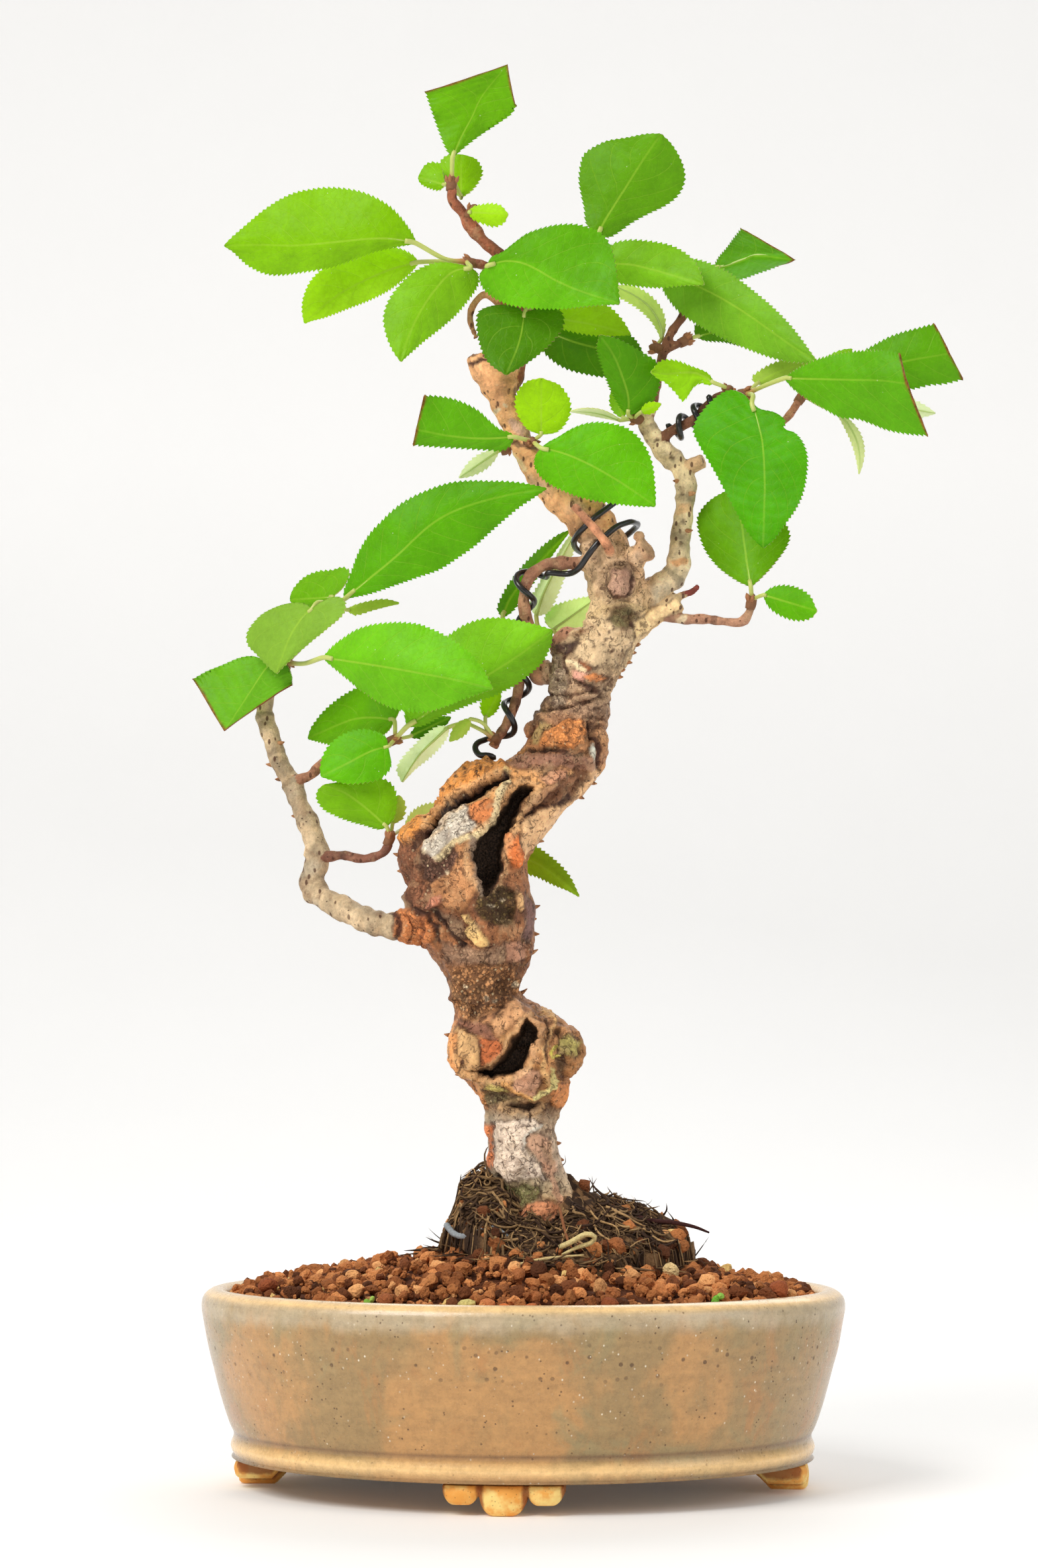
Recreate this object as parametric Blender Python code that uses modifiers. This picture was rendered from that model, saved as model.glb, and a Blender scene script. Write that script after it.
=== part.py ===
"""Chinese quince bonsai in its oval glazed pot: every piece as a closed solid, in metres, +Z up.

The design frame has the middle of the pot's footprint on the ground at its origin, +X to the
viewer's right and +Y away from the viewer. Sizes below are in millimetres. Most points of the tree
are given as they are read from the front, as (x, z) on the upright plane through the pot's middle,
and a depth behind that plane. `from_view` turns such a reading into the real point.
"""
import math
import random
from collections import namedtuple

import bmesh
import bpy
import numpy as np
from mathutils import Matrix, Vector
from mathutils.bvhtree import BVHTree

MM = 0.001
WELD = 1e-6

# The front view: how far in front of the pot's middle, and how high, the tree is looked at from.
VIEW_BACK = 770.0
VIEW_HEIGHT = 100.0

# The crown's depth: how far its left side swings back, and its right side and top come forward.
LEFT_SWING = 26.0
RIGHT_SWING = 26.0
APEX_LEAN = 9.0

# The pot: half its width at the widest line, and its depth as a share of its width.
POT_HALF_WIDTH = 75.1
POT_OVAL = 0.80
POT_TURN = math.radians(-4.7)
POT_STEPS = 34
POT_UNDERSIDE = 6.8
POT_LIP = 45.7
POT_FLOOR = 12.0
DRAIN_OFFSET = 32.0
DRAIN_RADIUS = 6.0
FIT = 0.35
SCREEN_HALF = 8.5
SCREEN_BAR = 1.1
SCREEN_THICKNESS = 1.0
SCREEN_OPENINGS = 2

# The feet: luted under the oval edge, one at each end of its two axes.
FOOT_HALF_WIDTH = 13.2
FOOT_RADIUS = 65.3
FOOT_TOP = POT_UNDERSIDE - 0.3
FOOT_FLAT = 6.0
FOOT_ROOT = 15.0
FOOT_LOBES = ((-0.70, 0.33, 2.3), (0.0, 0.40, 0.0), (0.70, 0.33, 2.3))
LOBE_ROUNDING = 4.6
LOBE_FLAT_SHARE = 0.35
LOBE_BULGE = 2.2

# The soil: its height at the rim, and the pocket that the root mound sits in.
SOIL_RIM = 43.9
GRAIN_RELIEF = 2.6
GRAIN_SEED = 11
MOUND_FLOOR = 46.5
MOUND_CENTRE = (10.0, 0.0)
MOUND_HALF = (29.0, 25.0)
MOUND_RIDGE = ((-19.5, 54.5), (-17.0, 59.2), (-15.5, 63.2), (-14.5, 68.3), (-10.0, 71.5), (-4.0, 72.5),
               (10.0, 71.5), (12.5, 70.0), (16.0, 67.5), (21.9, 64.7), (28.3, 62.0), (36.4, 57.0),
               (40.5, 54.0))
STEM_HOLE_RADIUS = 9.4
STEM_HOLE_FLOOR = 26.0
STEM_CENTRE = (4.4, 0.0)

# The wood: voxel size of the grown skin, and how many faces the solid keeps.
WOOD_VOXEL = 0.5
WOOD_FACES = 3450

# The leaves.
BLADE_THICKNESS = 0.7
LEAF_TILT = 2.2
EDGE_MARGIN = 0.4
OVAL_POWER = 0.9
HUB_RADIUS = 1.15
SEAT_GAP = 0.35
PETIOLE_RADIUS = 0.6
PETIOLE_THICKNESS = 1.15
STALK_STEP = 6.0
STALK_START = 0.7
STALK_END = 1.2

# The training wire.
WIRE_RADIUS = 0.72
WIRE_CLEARANCE = 0.5

Finish = namedtuple("Finish", "name colour roughness metallic")
GLAZE = Finish("stoneware_glaze", (0.30, 0.23, 0.15), 0.25, 0.0)
BARE_CLAY = Finish("unglazed_foot_clay", (0.72, 0.42, 0.16), 0.7, 0.0)
AKADAMA = Finish("akadama_granules", (0.20, 0.075, 0.035), 0.9, 0.0)
ROOT_FIBRE = Finish("root_fibre", (0.045, 0.025, 0.018), 0.95, 0.0)
BARK = Finish("quince_bark", (0.30, 0.19, 0.11), 0.75, 0.0)
LEAF = Finish("quince_leaf", (0.10, 0.36, 0.02), 0.45, 0.0)
BLACK_WIRE = Finish("anodised_wire", (0.012, 0.012, 0.012), 0.35, 0.9)
SCREEN = Finish("drain_screen_plastic", (0.05, 0.05, 0.05), 0.5, 0.0)


# Frame and object helpers

def ease(share):
    """A smooth step from 0 to 1."""
    share = min(1.0, max(0.0, share))
    return share * share * (3.0 - 2.0 * share)


def crown_drift(x, z):
    """How far back the crown lies at a reading: its left side swings back, its right and top forward."""
    return (LEFT_SWING * ease((-26.0 - x) / 56.0) - RIGHT_SWING * ease((x - 34.0) / 70.0)
            - APEX_LEAN * ease((z - 226.0) / 90.0))


def from_view(x, z, depth=0.0):
    """The real point, in metres, that the front view shows at (x, z) when it lies `depth` back."""
    depth += crown_drift(x, z)
    spread = (VIEW_BACK + depth) / VIEW_BACK
    return Vector((x * spread, depth, VIEW_HEIGHT + (z - VIEW_HEIGHT) * spread)) * MM


def material(finish):
    """A Principled material for one finish, made once."""
    made = bpy.data.materials.get(finish.name)
    if made is None:
        made = bpy.data.materials.new(finish.name)
        made.use_nodes = True
        shader = made.node_tree.nodes["Principled BSDF"]
        shader.inputs["Base Color"].default_value = (*finish.colour, 1.0)
        shader.inputs["Roughness"].default_value = finish.roughness
        shader.inputs["Metallic"].default_value = finish.metallic
        made.diffuse_color = (*finish.colour, 1.0)
    return made


def add_object(name, data, finish=None, collection=None):
    """Link a mesh or curve as an object and give it its finish."""
    obj = bpy.data.objects.new(name, data)
    (collection or BONSAI).objects.link(obj)
    if finish is not None:
        data.materials.clear()
        data.materials.append(material(finish))
    return obj


def mesh_object(name, vertices, faces, finish=None, collection=None):
    """An object from points in metres and faces."""
    mesh = bpy.data.meshes.new(name)
    mesh.from_pydata([tuple(v) for v in vertices], [], [tuple(f) for f in faces])
    mesh.update()
    return add_object(name, mesh, finish, collection)


def face_outwards(mesh, recalculate=True):
    """Merge doubles and turn every face of a closed mesh outwards."""
    work = bmesh.new()
    work.from_mesh(mesh)
    bmesh.ops.remove_doubles(work, verts=work.verts, dist=WELD)
    if recalculate:
        bmesh.ops.recalc_face_normals(work, faces=work.faces)
    if work.calc_volume(signed=True) < 0.0:
        bmesh.ops.reverse_faces(work, faces=work.faces)
    work.to_mesh(mesh)
    work.free()


def settle(obj, weld=0.0):
    """Apply an object's modifiers, and weld what a curve's caps leave loose."""
    graph = bpy.context.evaluated_depsgraph_get()
    mesh = bpy.data.meshes.new_from_object(obj.evaluated_get(graph))
    mesh.transform(obj.matrix_world)
    name, users = obj.name, list(obj.users_collection)
    bpy.data.objects.remove(obj)
    if weld:
        work = bmesh.new()
        work.from_mesh(mesh)
        bmesh.ops.remove_doubles(work, verts=work.verts, dist=weld)
        work.to_mesh(mesh)
        work.free()
    settled = bpy.data.objects.new(name, mesh)
    users[0].objects.link(settled)
    return settled


def cut(obj, cutter):
    """Take the cutter's shape out of the object."""
    cutter.hide_render = True
    cutter.display_type = "WIRE"
    modifier = obj.modifiers.new("cut", "BOOLEAN")
    modifier.operation = "DIFFERENCE"
    modifier.solver = "EXACT"
    modifier.object = cutter


def join_all(base, pieces, name, finish):
    """Union a list of objects with the base, apply it, and remove what it was made from."""
    group = bpy.data.collections.new(name + "_pieces")
    bpy.context.scene.collection.children.link(group)
    for piece in pieces:
        for owner in list(piece.users_collection):
            owner.objects.unlink(piece)
        group.objects.link(piece)
    modifier = base.modifiers.new("join", "BOOLEAN")
    modifier.operation = "UNION"
    modifier.solver = "EXACT"
    modifier.operand_type = "COLLECTION"
    modifier.collection = group
    bpy.context.view_layer.update()
    joined = settle(base)
    for piece in list(group.objects):
        bpy.data.objects.remove(piece)
    bpy.data.collections.remove(group)
    joined.name = name
    joined.data.name = name
    joined.data.materials.clear()
    joined.data.materials.append(material(finish))
    return joined


def smooth_path(points, radii, spacing):
    """Points and radii read at about `spacing` from a Catmull-Rom curve through the given ones."""
    pts = np.array([tuple(p) for p in points], float)
    rad = np.array(radii, float)
    ends = np.vstack([2 * pts[0] - pts[1], pts, 2 * pts[-1] - pts[-2]])
    out_p, out_r = [], []
    for i in range(len(pts) - 1):
        p0, p1, p2, p3 = ends[i:i + 4]
        steps = max(1, int(round(np.linalg.norm(p2 - p1) / spacing)))
        for k in range(steps):
            t = k / steps
            out_p.append(0.5 * (2 * p1 + (p2 - p0) * t + (2 * p0 - 5 * p1 + 4 * p2 - p3) * t * t
                                + (3 * p1 - p0 - 3 * p2 + p3) * t ** 3))
            out_r.append(rad[i] + (rad[i + 1] - rad[i]) * t)
    out_p.append(pts[-1])
    out_r.append(rad[-1])
    return np.array(out_p), np.array(out_r)


def tube(name, points, radii, sides=1, spacing=None, finish=None):
    """A round bar along points in metres, as a POLY curve with a bevel and filled caps."""
    if spacing:
        points, radii = smooth_path(points, radii, spacing)
    curve = bpy.data.curves.new(name, "CURVE")
    curve.dimensions = "3D"
    curve.bevel_depth = 1.0
    curve.bevel_resolution = sides
    curve.use_fill_caps = True
    spline = curve.splines.new("POLY")
    spline.points.add(len(points) - 1)
    for point, place, radius in zip(spline.points, points, radii):
        point.co = (*place, 1.0)
        point.radius = radius
    return add_object(name, curve, finish)


# The pot, its feet and its drain screens

POT_PROFILE = (
    # (radius, height), from the middle of the inner floor, over the lip, to the underside's middle
    (0.0, POT_FLOOR), (56.0, POT_FLOOR), (61.5, 13.4), (64.2, 17.5), (66.4, 26.0), (68.0, 34.0),
    (68.9, 40.5), (69.0, 43.6), (69.6, 45.1), (70.9, POT_LIP), (72.9, 45.3), (74.6, 43.9),
    (POT_HALF_WIDTH, 41.5), (74.5, 38.0), (73.3, 32.0), (71.8, 26.5), (70.0, 20.0), (68.1, 14.6),
    (67.1, 12.2), (67.9, 9.6), (66.9, 7.6), (65.4, POT_UNDERSIDE), (0.0, POT_UNDERSIDE),
)


def oval_point(radius, angle, height=0.0):
    """A point on the pot's oval of the given half width, in metres, turned as the pot is."""
    point = Vector((radius * math.cos(angle), POT_OVAL * radius * math.sin(angle), height)) * MM
    return Matrix.Rotation(POT_TURN, 3, "Z") @ point


def oval_inner_radius(height):
    """Half the width of the pot's inside at a height."""
    inner = POT_PROFILE[1:9]
    return float(np.interp(height, [p[1] for p in inner], [p[0] for p in inner]))


def build_pot():
    """The oval body: a turned profile narrowed front to back, with two drain holes."""
    mesh = bpy.data.meshes.new("pot")
    mesh.from_pydata([(r * MM, 0.0, z * MM) for r, z in POT_PROFILE],
                     [(i, i + 1) for i in range(len(POT_PROFILE) - 1)], [])
    pot = add_object("pot", mesh, GLAZE)
    turn = pot.modifiers.new("turn", "SCREW")
    turn.steps = POT_STEPS
    turn.render_steps = POT_STEPS
    turn.use_merge_vertices = True
    turn.merge_threshold = 1e-6
    pot.scale = (1.0, POT_OVAL, 1.0)
    pot.rotation_euler = (0.0, 0.0, POT_TURN)
    bpy.context.view_layer.update()
    pot = settle(pot)
    face_outwards(pot.data)
    pot.data.materials.append(material(GLAZE))
    for side in (-1, 1):
        place = Matrix.Rotation(POT_TURN, 3, "Z") @ Vector((side * DRAIN_OFFSET * MM, 0.0, 0.0))
        drill = cylinder("drain_drill", DRAIN_RADIUS, 0.0, 20.0, (place.x / MM, place.y / MM), 20,
                         CUTTERS)
        cut(pot, drill)
    pot.data.shade_smooth()
    pot.data.set_sharp_from_angle(angle=math.radians(40))
    return pot


def cylinder(name, radius, low, high, centre, segments, collection):
    """An upright cylinder between two heights."""
    work = bmesh.new()
    bmesh.ops.create_cone(work, cap_ends=True, segments=segments, radius1=radius * MM,
                          radius2=radius * MM, depth=(high - low) * MM)
    bmesh.ops.translate(work, verts=work.verts,
                        vec=(centre[0] * MM, centre[1] * MM, (low + high) / 2 * MM))
    mesh = bpy.data.meshes.new(name)
    work.to_mesh(mesh)
    work.free()
    return add_object(name, mesh, None, collection)


def foot_edge(u):
    """Height of a cloud foot's lower edge at u, from -1 to 1 across it: three round lobes."""
    edge = FOOT_TOP - 0.8
    for centre, half, low in FOOT_LOBES:
        reach = abs(u - centre) / half
        curl = max(0.0, (reach - LOBE_FLAT_SHARE) / (1.0 - LOBE_FLAT_SHARE))
        if curl < 1.0:
            edge = min(edge, low + LOBE_ROUNDING * (1.0 - math.sqrt(1.0 - curl ** 2)))
    return edge


def foot_bulge(u):
    """How far a lobe's face stands out at u, in millimetres."""
    nearest = min(abs(u - centre) / half for centre, half, _ in FOOT_LOBES)
    return LOBE_BULGE * (1.0 - min(1.0, nearest) ** 2)


def build_foot(name, angle):
    """A cloud foot: three lobes side by side under the oval edge, sloped away on the inside."""
    middle = oval_point(FOOT_RADIUS, angle)
    outward = Vector((POT_OVAL * math.cos(angle), math.sin(angle), 0.0)).normalized()
    outward = Matrix.Rotation(POT_TURN, 3, "Z") @ outward
    across = Vector((-outward.y, outward.x, 0.0))
    stations = (-1.0, -0.93, -0.7, -0.47, -0.385, -0.28, -0.14, 0.14, 0.28, 0.385, 0.47, 0.7, 0.93,
                1.0)
    vertices = []
    for u in stations:
        low = foot_edge(u)
        bend = -0.9 * u * u
        out = bend + foot_bulge(u) - 1.2
        rows = ((out - 0.3, FOOT_TOP), (out + 0.3, (FOOT_TOP + low) / 2), (out - 0.5, low + 0.4),
                (out - 1.4, low), (bend - FOOT_FLAT - 1.6, low), (bend - FOOT_FLAT - 4.0, low + 2.4),
                (bend - FOOT_ROOT, FOOT_TOP))
        for reach, height in rows:
            height = min(height, FOOT_TOP)
            vertices.append(middle + (outward * reach + across * (u * FOOT_HALF_WIDTH)) * MM
                            + Vector((0, 0, height * MM)))
    count = 7
    faces = []
    for i in range(len(stations) - 1):
        for k in range(count):
            a, b = i * count + k, i * count + (k + 1) % count
            faces += [(a, b, b + count), (a, b + count, a + count)]
    faces.append(tuple(range(count)))
    last = (len(stations) - 1) * count
    faces.append(tuple(last + k for k in reversed(range(count))))
    foot = mesh_object(name, vertices, faces, BARE_CLAY)
    face_outwards(foot.data)
    foot.data.shade_smooth()
    foot.data.set_sharp_from_angle(angle=math.radians(35))
    return foot


def build_drain_screen(name, side):
    """A square mesh screen that lies over a drain hole on the pot's floor."""
    half, bar = SCREEN_HALF, SCREEN_BAR
    low, high = POT_FLOOR + 0.3, POT_FLOOR + 0.3 + SCREEN_THICKNESS
    centre = Matrix.Rotation(POT_TURN, 3, "Z") @ Vector((side * DRAIN_OFFSET, 0.0, 0.0))
    work = bmesh.new()
    bmesh.ops.create_cube(work, size=1.0)
    bmesh.ops.scale(work, verts=work.verts, vec=(2 * half * MM, 2 * half * MM, (high - low) * MM))
    bmesh.ops.translate(work, verts=work.verts, vec=(centre.x * MM, centre.y * MM, (low + high) / 2 * MM))
    mesh = bpy.data.meshes.new(name)
    work.to_mesh(mesh)
    work.free()
    screen = add_object(name, mesh, SCREEN)
    pitch = (2 * half - bar) / SCREEN_OPENINGS
    for i in range(SCREEN_OPENINGS):
        for k in range(SCREEN_OPENINGS):
            x = centre.x - half + bar + pitch * (i + 0.5) - bar / 2
            y = centre.y - half + bar + pitch * (k + 0.5) - bar / 2
            hole = cylinder("screen_hole", (pitch - bar) / 2, low - 1, high + 1, (x, y), 4, CUTTERS)
            cut(screen, hole)
    return screen


# The soil and the root mound

def lumps(x, y, size, height, seed):
    """Rounded random lumps: a jittered grid of domes of about `size`, as a height over the plane."""
    total = 0.0
    column, row = math.floor(x / size), math.floor(y / size)
    for i in (-1, 0, 1):
        for k in (-1, 0, 1):
            a = math.sin((column + i) * 127.1 + (row + k) * 311.7 + seed) * 43758.5453
            b = math.sin((column + i) * 269.5 + (row + k) * 183.3 + seed) * 28001.8384
            a, b = a - math.floor(a), b - math.floor(b)
            gap = math.hypot((column + i + 0.2 + 0.6 * a) * size - x, (row + k + 0.2 + 0.6 * b) * size - y)
            total = max(total, height * (0.55 + 0.45 * a) * max(0.0, 1.0 - (gap / (0.62 * size)) ** 2))
    return total


def soil_height(x, y):
    """Height of the soil at a place of the pot: level at the rim, domed in the middle."""
    back = Matrix.Rotation(-POT_TURN, 3, "Z") @ Vector((x, y, 0.0))
    reach = min(1.0, math.hypot(back.x, back.y / POT_OVAL) / 69.0)
    dome = 7.6 * (1.0 - reach ** 2.2) + 2.6 * math.exp(-((back.x + 6.0) / 30.0) ** 2) * (1.0 - reach ** 2)
    return SOIL_RIM + dome


def build_soil():
    """The bed of akadama: it fills the pot to its inner wall, with a granular top."""
    rings = (1.0, 0.91, 0.82, 0.73, 0.63, 0.53, 0.42)
    spokes = POT_STEPS
    grains = random.Random(GRAIN_SEED)
    low = POT_FLOOR + 1.7
    top_radius = oval_inner_radius(SOIL_RIM) - FIT
    vertices, faces = [], []

    def ring_of(radius, height_of):
        start = len(vertices)
        for k in range(spokes):
            point = oval_point(radius, 2 * math.pi * k / spokes)
            height = height_of(point.x / MM, point.y / MM)
            vertices.append(Vector((point.x, point.y, height * MM)))
        return start

    def top(x, y):
        return soil_height(x, y) + GRAIN_RELIEF * (grains.random() - 0.3)

    vertices.append(Vector((0, 0, low * MM)))
    levels = [ring_of(oval_inner_radius(z) - FIT - 0.25, lambda x, y, z=z: z)
              for z in (low, 17.5, 26.0, 34.0, 40.5)]
    levels.append(ring_of(top_radius, lambda x, y: SOIL_RIM - 0.6))
    levels += [ring_of(top_radius * min(share, 0.985), top) for share in rings]
    peak = len(vertices)
    vertices.append(Vector((0, 0, top(0, 0) * MM)))
    for start, after in zip(levels[:-1], levels[1:]):
        for k in range(spokes):
            n = (k + 1) % spokes
            faces += [(start + k, start + n, after + n), (start + k, after + n, after + k)]
    faces += [(0, levels[0] + (k + 1) % spokes, levels[0] + k) for k in range(spokes)]
    faces += [(peak, levels[-1] + k, levels[-1] + (k + 1) % spokes) for k in range(spokes)]
    soil = mesh_object("soil_bed", vertices, faces, AKADAMA)
    face_outwards(soil.data)
    cut(soil, mound_body("mound_pocket", 0.35, MOUND_FLOOR - 0.3, lambda x, y: 90.0, CUTTERS))
    cut(soil, cylinder("stem_hole", STEM_HOLE_RADIUS, STEM_HOLE_FLOOR, 95.0, STEM_CENTRE, 20, CUTTERS))
    return soil


def mound_height(x, y):
    """Height of the root mound: piled round the stem, with a ridge behind it and a dip in front."""
    ridge = float(np.interp(x, *zip(*MOUND_RIDGE)))
    ground = soil_height(x, y)
    reach = abs(y - 3.0) / (27.0 if y < 3.0 else 20.0)
    slope = max(0.0, 1.0 - reach ** 1.25)
    dip = 8.0 * math.exp(-((x - 4.0) / 8.0) ** 2) * max(0.0, min(1.0, (4.0 - y) / 14.0))
    fibres = 0.8 * math.sin(7.0 * math.atan2(y - 3.0, x - 4.4) + 0.25 * x) + lumps(x, y, 4.0, 1.3, 5.1)
    return ground + 0.6 + max(0.0, (ridge - ground) * slope - dip * slope) + fibres * min(1.0, 2.0 * slope)


def mound_body(name, grow, low, height_of, collection):
    """A solid on the mound's wavy outline, between a level floor and a height given by a formula."""
    rings = (0.36, 0.48, 0.62, 0.76, 0.88, 1.0)
    spokes = 32
    vertices = [Vector((MOUND_CENTRE[0], MOUND_CENTRE[1], low)) * MM]
    faces = []

    def outline(share, k):
        angle = 2 * math.pi * k / spokes
        wave = 1.0 + 0.05 * math.sin(3 * angle + 0.6) + 0.03 * math.sin(7 * angle)
        x = MOUND_CENTRE[0] + (MOUND_HALF[0] * wave * share + grow) * math.cos(angle)
        y = MOUND_CENTRE[1] + (MOUND_HALF[1] * wave * share + grow) * math.sin(angle)
        return x, y

    for k in range(spokes):
        x, y = outline(1.0, k)
        vertices.append(Vector((x, y, low)) * MM)
    for share in reversed(rings):
        for k in range(spokes):
            x, y = outline(share, k)
            vertices.append(Vector((x, y, height_of(x, y))) * MM)
    peak = len(vertices)
    vertices.append(Vector((*MOUND_CENTRE, height_of(*MOUND_CENTRE))) * MM)
    faces += [(0, 1 + (k + 1) % spokes, 1 + k) for k in range(spokes)]
    for ring in range(len(rings)):
        start, after = 1 + ring * spokes, 1 + (ring + 1) * spokes
        for k in range(spokes):
            n = (k + 1) % spokes
            faces += [(start + k, start + n, after + n), (start + k, after + n, after + k)]
    last = 1 + len(rings) * spokes
    faces += [(peak, last + k, last + (k + 1) % spokes) for k in range(spokes)]
    body = mesh_object(name, vertices, faces, None, collection)
    face_outwards(body.data)
    return body


def build_root_mound():
    """The dark pile of fine roots round the stem, in its pocket in the soil."""
    mound = mound_body("root_mound", 0.0, MOUND_FLOOR, mound_height, BONSAI)
    mound.data.materials.append(material(ROOT_FIBRE))
    cut(mound, cylinder("mound_hole", STEM_HOLE_RADIUS, 30.0, 95.0, STEM_CENTRE, 20, CUTTERS))
    cut(mound, cylinder("trunk_clearance", 10.0, 64.5, 95.0, (1.2, 0.0), 20, CUTTERS))
    return mound


# The wood: trunk, branches and twigs, grown as one piece

TRUNK_SECTIONS = (
    # (height, left edge, right edge, middle's depth, half depth)
    (STEM_HOLE_FLOOR + 0.3, -4.4, 13.2, 0.0, 8.6), (56.0, -4.4, 13.2, 0.0, 8.6),
    (63.0, -4.3, 12.9, 0.0, 8.5), (69.0, -4.6, 11.4, 0.0, 8.0), (73.0, -7.6, 9.8, 0.0, 8.0),
    (80.2, -8.1, 8.1, 0.0, 8.2), (84.3, -8.8, 7.9, 0.0, 8.4), (87.5, -8.6, 8.9, 0.0, 8.2),
    (90.0, -10.2, 10.0, 0.0, 9.4), (92.1, -12.2, 10.3, 0.3, 10.4), (95.3, -14.7, 10.8, 0.6, 11.6),
    (98.0, -15.6, 12.4, 0.8, 12.4), (100.3, -16.1, 13.3, 1.0, 12.6), (104.4, -16.7, 12.3, 1.0, 12.4),
    (108.0, -15.9, 9.8, 0.8, 11.6), (110.7, -15.9, 4.7, 0.5, 10.4), (112.6, -16.4, 0.6, 0.0, 9.6),
    (114.8, -17.0, -1.3, -0.4, 9.2), (118.9, -18.4, 0.6, -0.6, 9.4), (123.0, -21.6, 2.3, -0.8, 10.2),
    (127.0, -24.0, 2.2, -1.0, 11.0), (131.0, -25.0, 2.2, -1.0, 11.6), (135.0, -25.2, 2.6, -1.0, 12.0),
    (140.3, -27.4, 0.3, -1.0, 12.2), (144.0, -28.8, 0.6, -1.0, 12.4), (147.0, -29.3, 2.2, -0.8, 12.2),
    (149.1, -27.9, 3.6, -0.6, 11.8), (151.8, -25.9, 5.5, -0.4, 11.4), (153.9, -22.8, 7.1, 0.0, 11.0),
    (156.5, -19.8, 9.2, 0.2, 10.6), (160.1, -16.9, 12.2, 0.5, 10.2), (163.8, -13.9, 16.2, 0.8, 9.8),
    (166.1, -11.6, 18.1, 1.0, 9.5), (168.4, -4.6, 19.4, 1.0, 9.2), (171.0, 0.0, 20.0, 1.0, 8.8),
    (175.2, 2.8, 20.1, 1.0, 8.4), (180.0, 3.2, 20.8, 1.0, 8.2), (185.0, 6.6, 21.0, 0.8, 8.0),
    (190.0, 6.5, 23.6, 0.6, 7.8), (194.5, 8.0, 26.0, 0.4, 7.6), (198.0, 13.2, 28.0, 0.2, 7.2),
    (203.0, 15.6, 29.0, 0.0, 7.0), (208.0, 16.7, 29.4, 0.0, 6.8), (214.7, 16.0, 28.8, 0.0, 6.5),
    (219.0, 15.0, 26.6, 0.0, 5.8), (223.0, 14.5, 23.6, 0.0, 4.6),
)

# Branches and twigs: (x, z, depth, radius) along each, read from the front.
LEADER = ((22, 209, 0, 6.0), (20.5, 217, 0, 6.0), (18, 224, 0, 5.4), (13.5, 228.8, 0, 4.9),
          (9, 233, 0, 4.5), (3, 240, 0, 3.5), (0, 245, 0, 2.9), (-2.5, 250, 0, 2.8),
          (-4.6, 256, 0, 3.5), (-5.9, 260.5, 0.3, 4.9), (-6.4, 263.4, 0.5, 5.8))
APEX_SHOOT = ((-4.5, 257, 1, 2.2), (-1, 262, 2.5, 2.0), (-1.6, 270, 1.5, 1.6), (-4.6, 278, 0.5, 1.7),
              (-5.2, 284, 0, 1.5), (-5, 290, 0, 1.6), (-9.7, 294.6, 0, 1.5), (-12.5, 298.4, 0, 1.7),
              (-14.4, 301.3, 0, 1.3), (-16.7, 304.2, 0, 1.2), (-16.6, 307.2, 0, 1.1))
HANGING_BRANCH = ((19, 215, -1, 2.2), (15, 216, -2, 1.7), (9, 216.2, -1.5, 1.6), (5, 215.5, -1, 1.5),
                  (1.5, 212.5, -0.5, 1.5), (0.4, 208, 0, 1.4), (0.8, 204, 0.5, 1.4),
                  (1.8, 200.5, 1, 1.4), (1.1, 195, 1, 1.4), (-0.5, 188, 1, 1.3), (-1.5, 183, 1, 1.3),
                  (-3.5, 178, 1, 1.2), (-5.5, 174.8, 1, 1.2), (-6.9, 172.2, 1, 1.2))
RIGHT_TWIG = ((33, 244, 1, 1.6), (34.6, 247.2, 0, 1.3), (38.1, 249.2, -1, 1.2), (41.3, 251, -1, 1.2),
              (44.6, 254.6, -1, 1.1), (47.6, 256.5, -1, 1.1), (52.6, 256.8, -1, 1.1))
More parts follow.
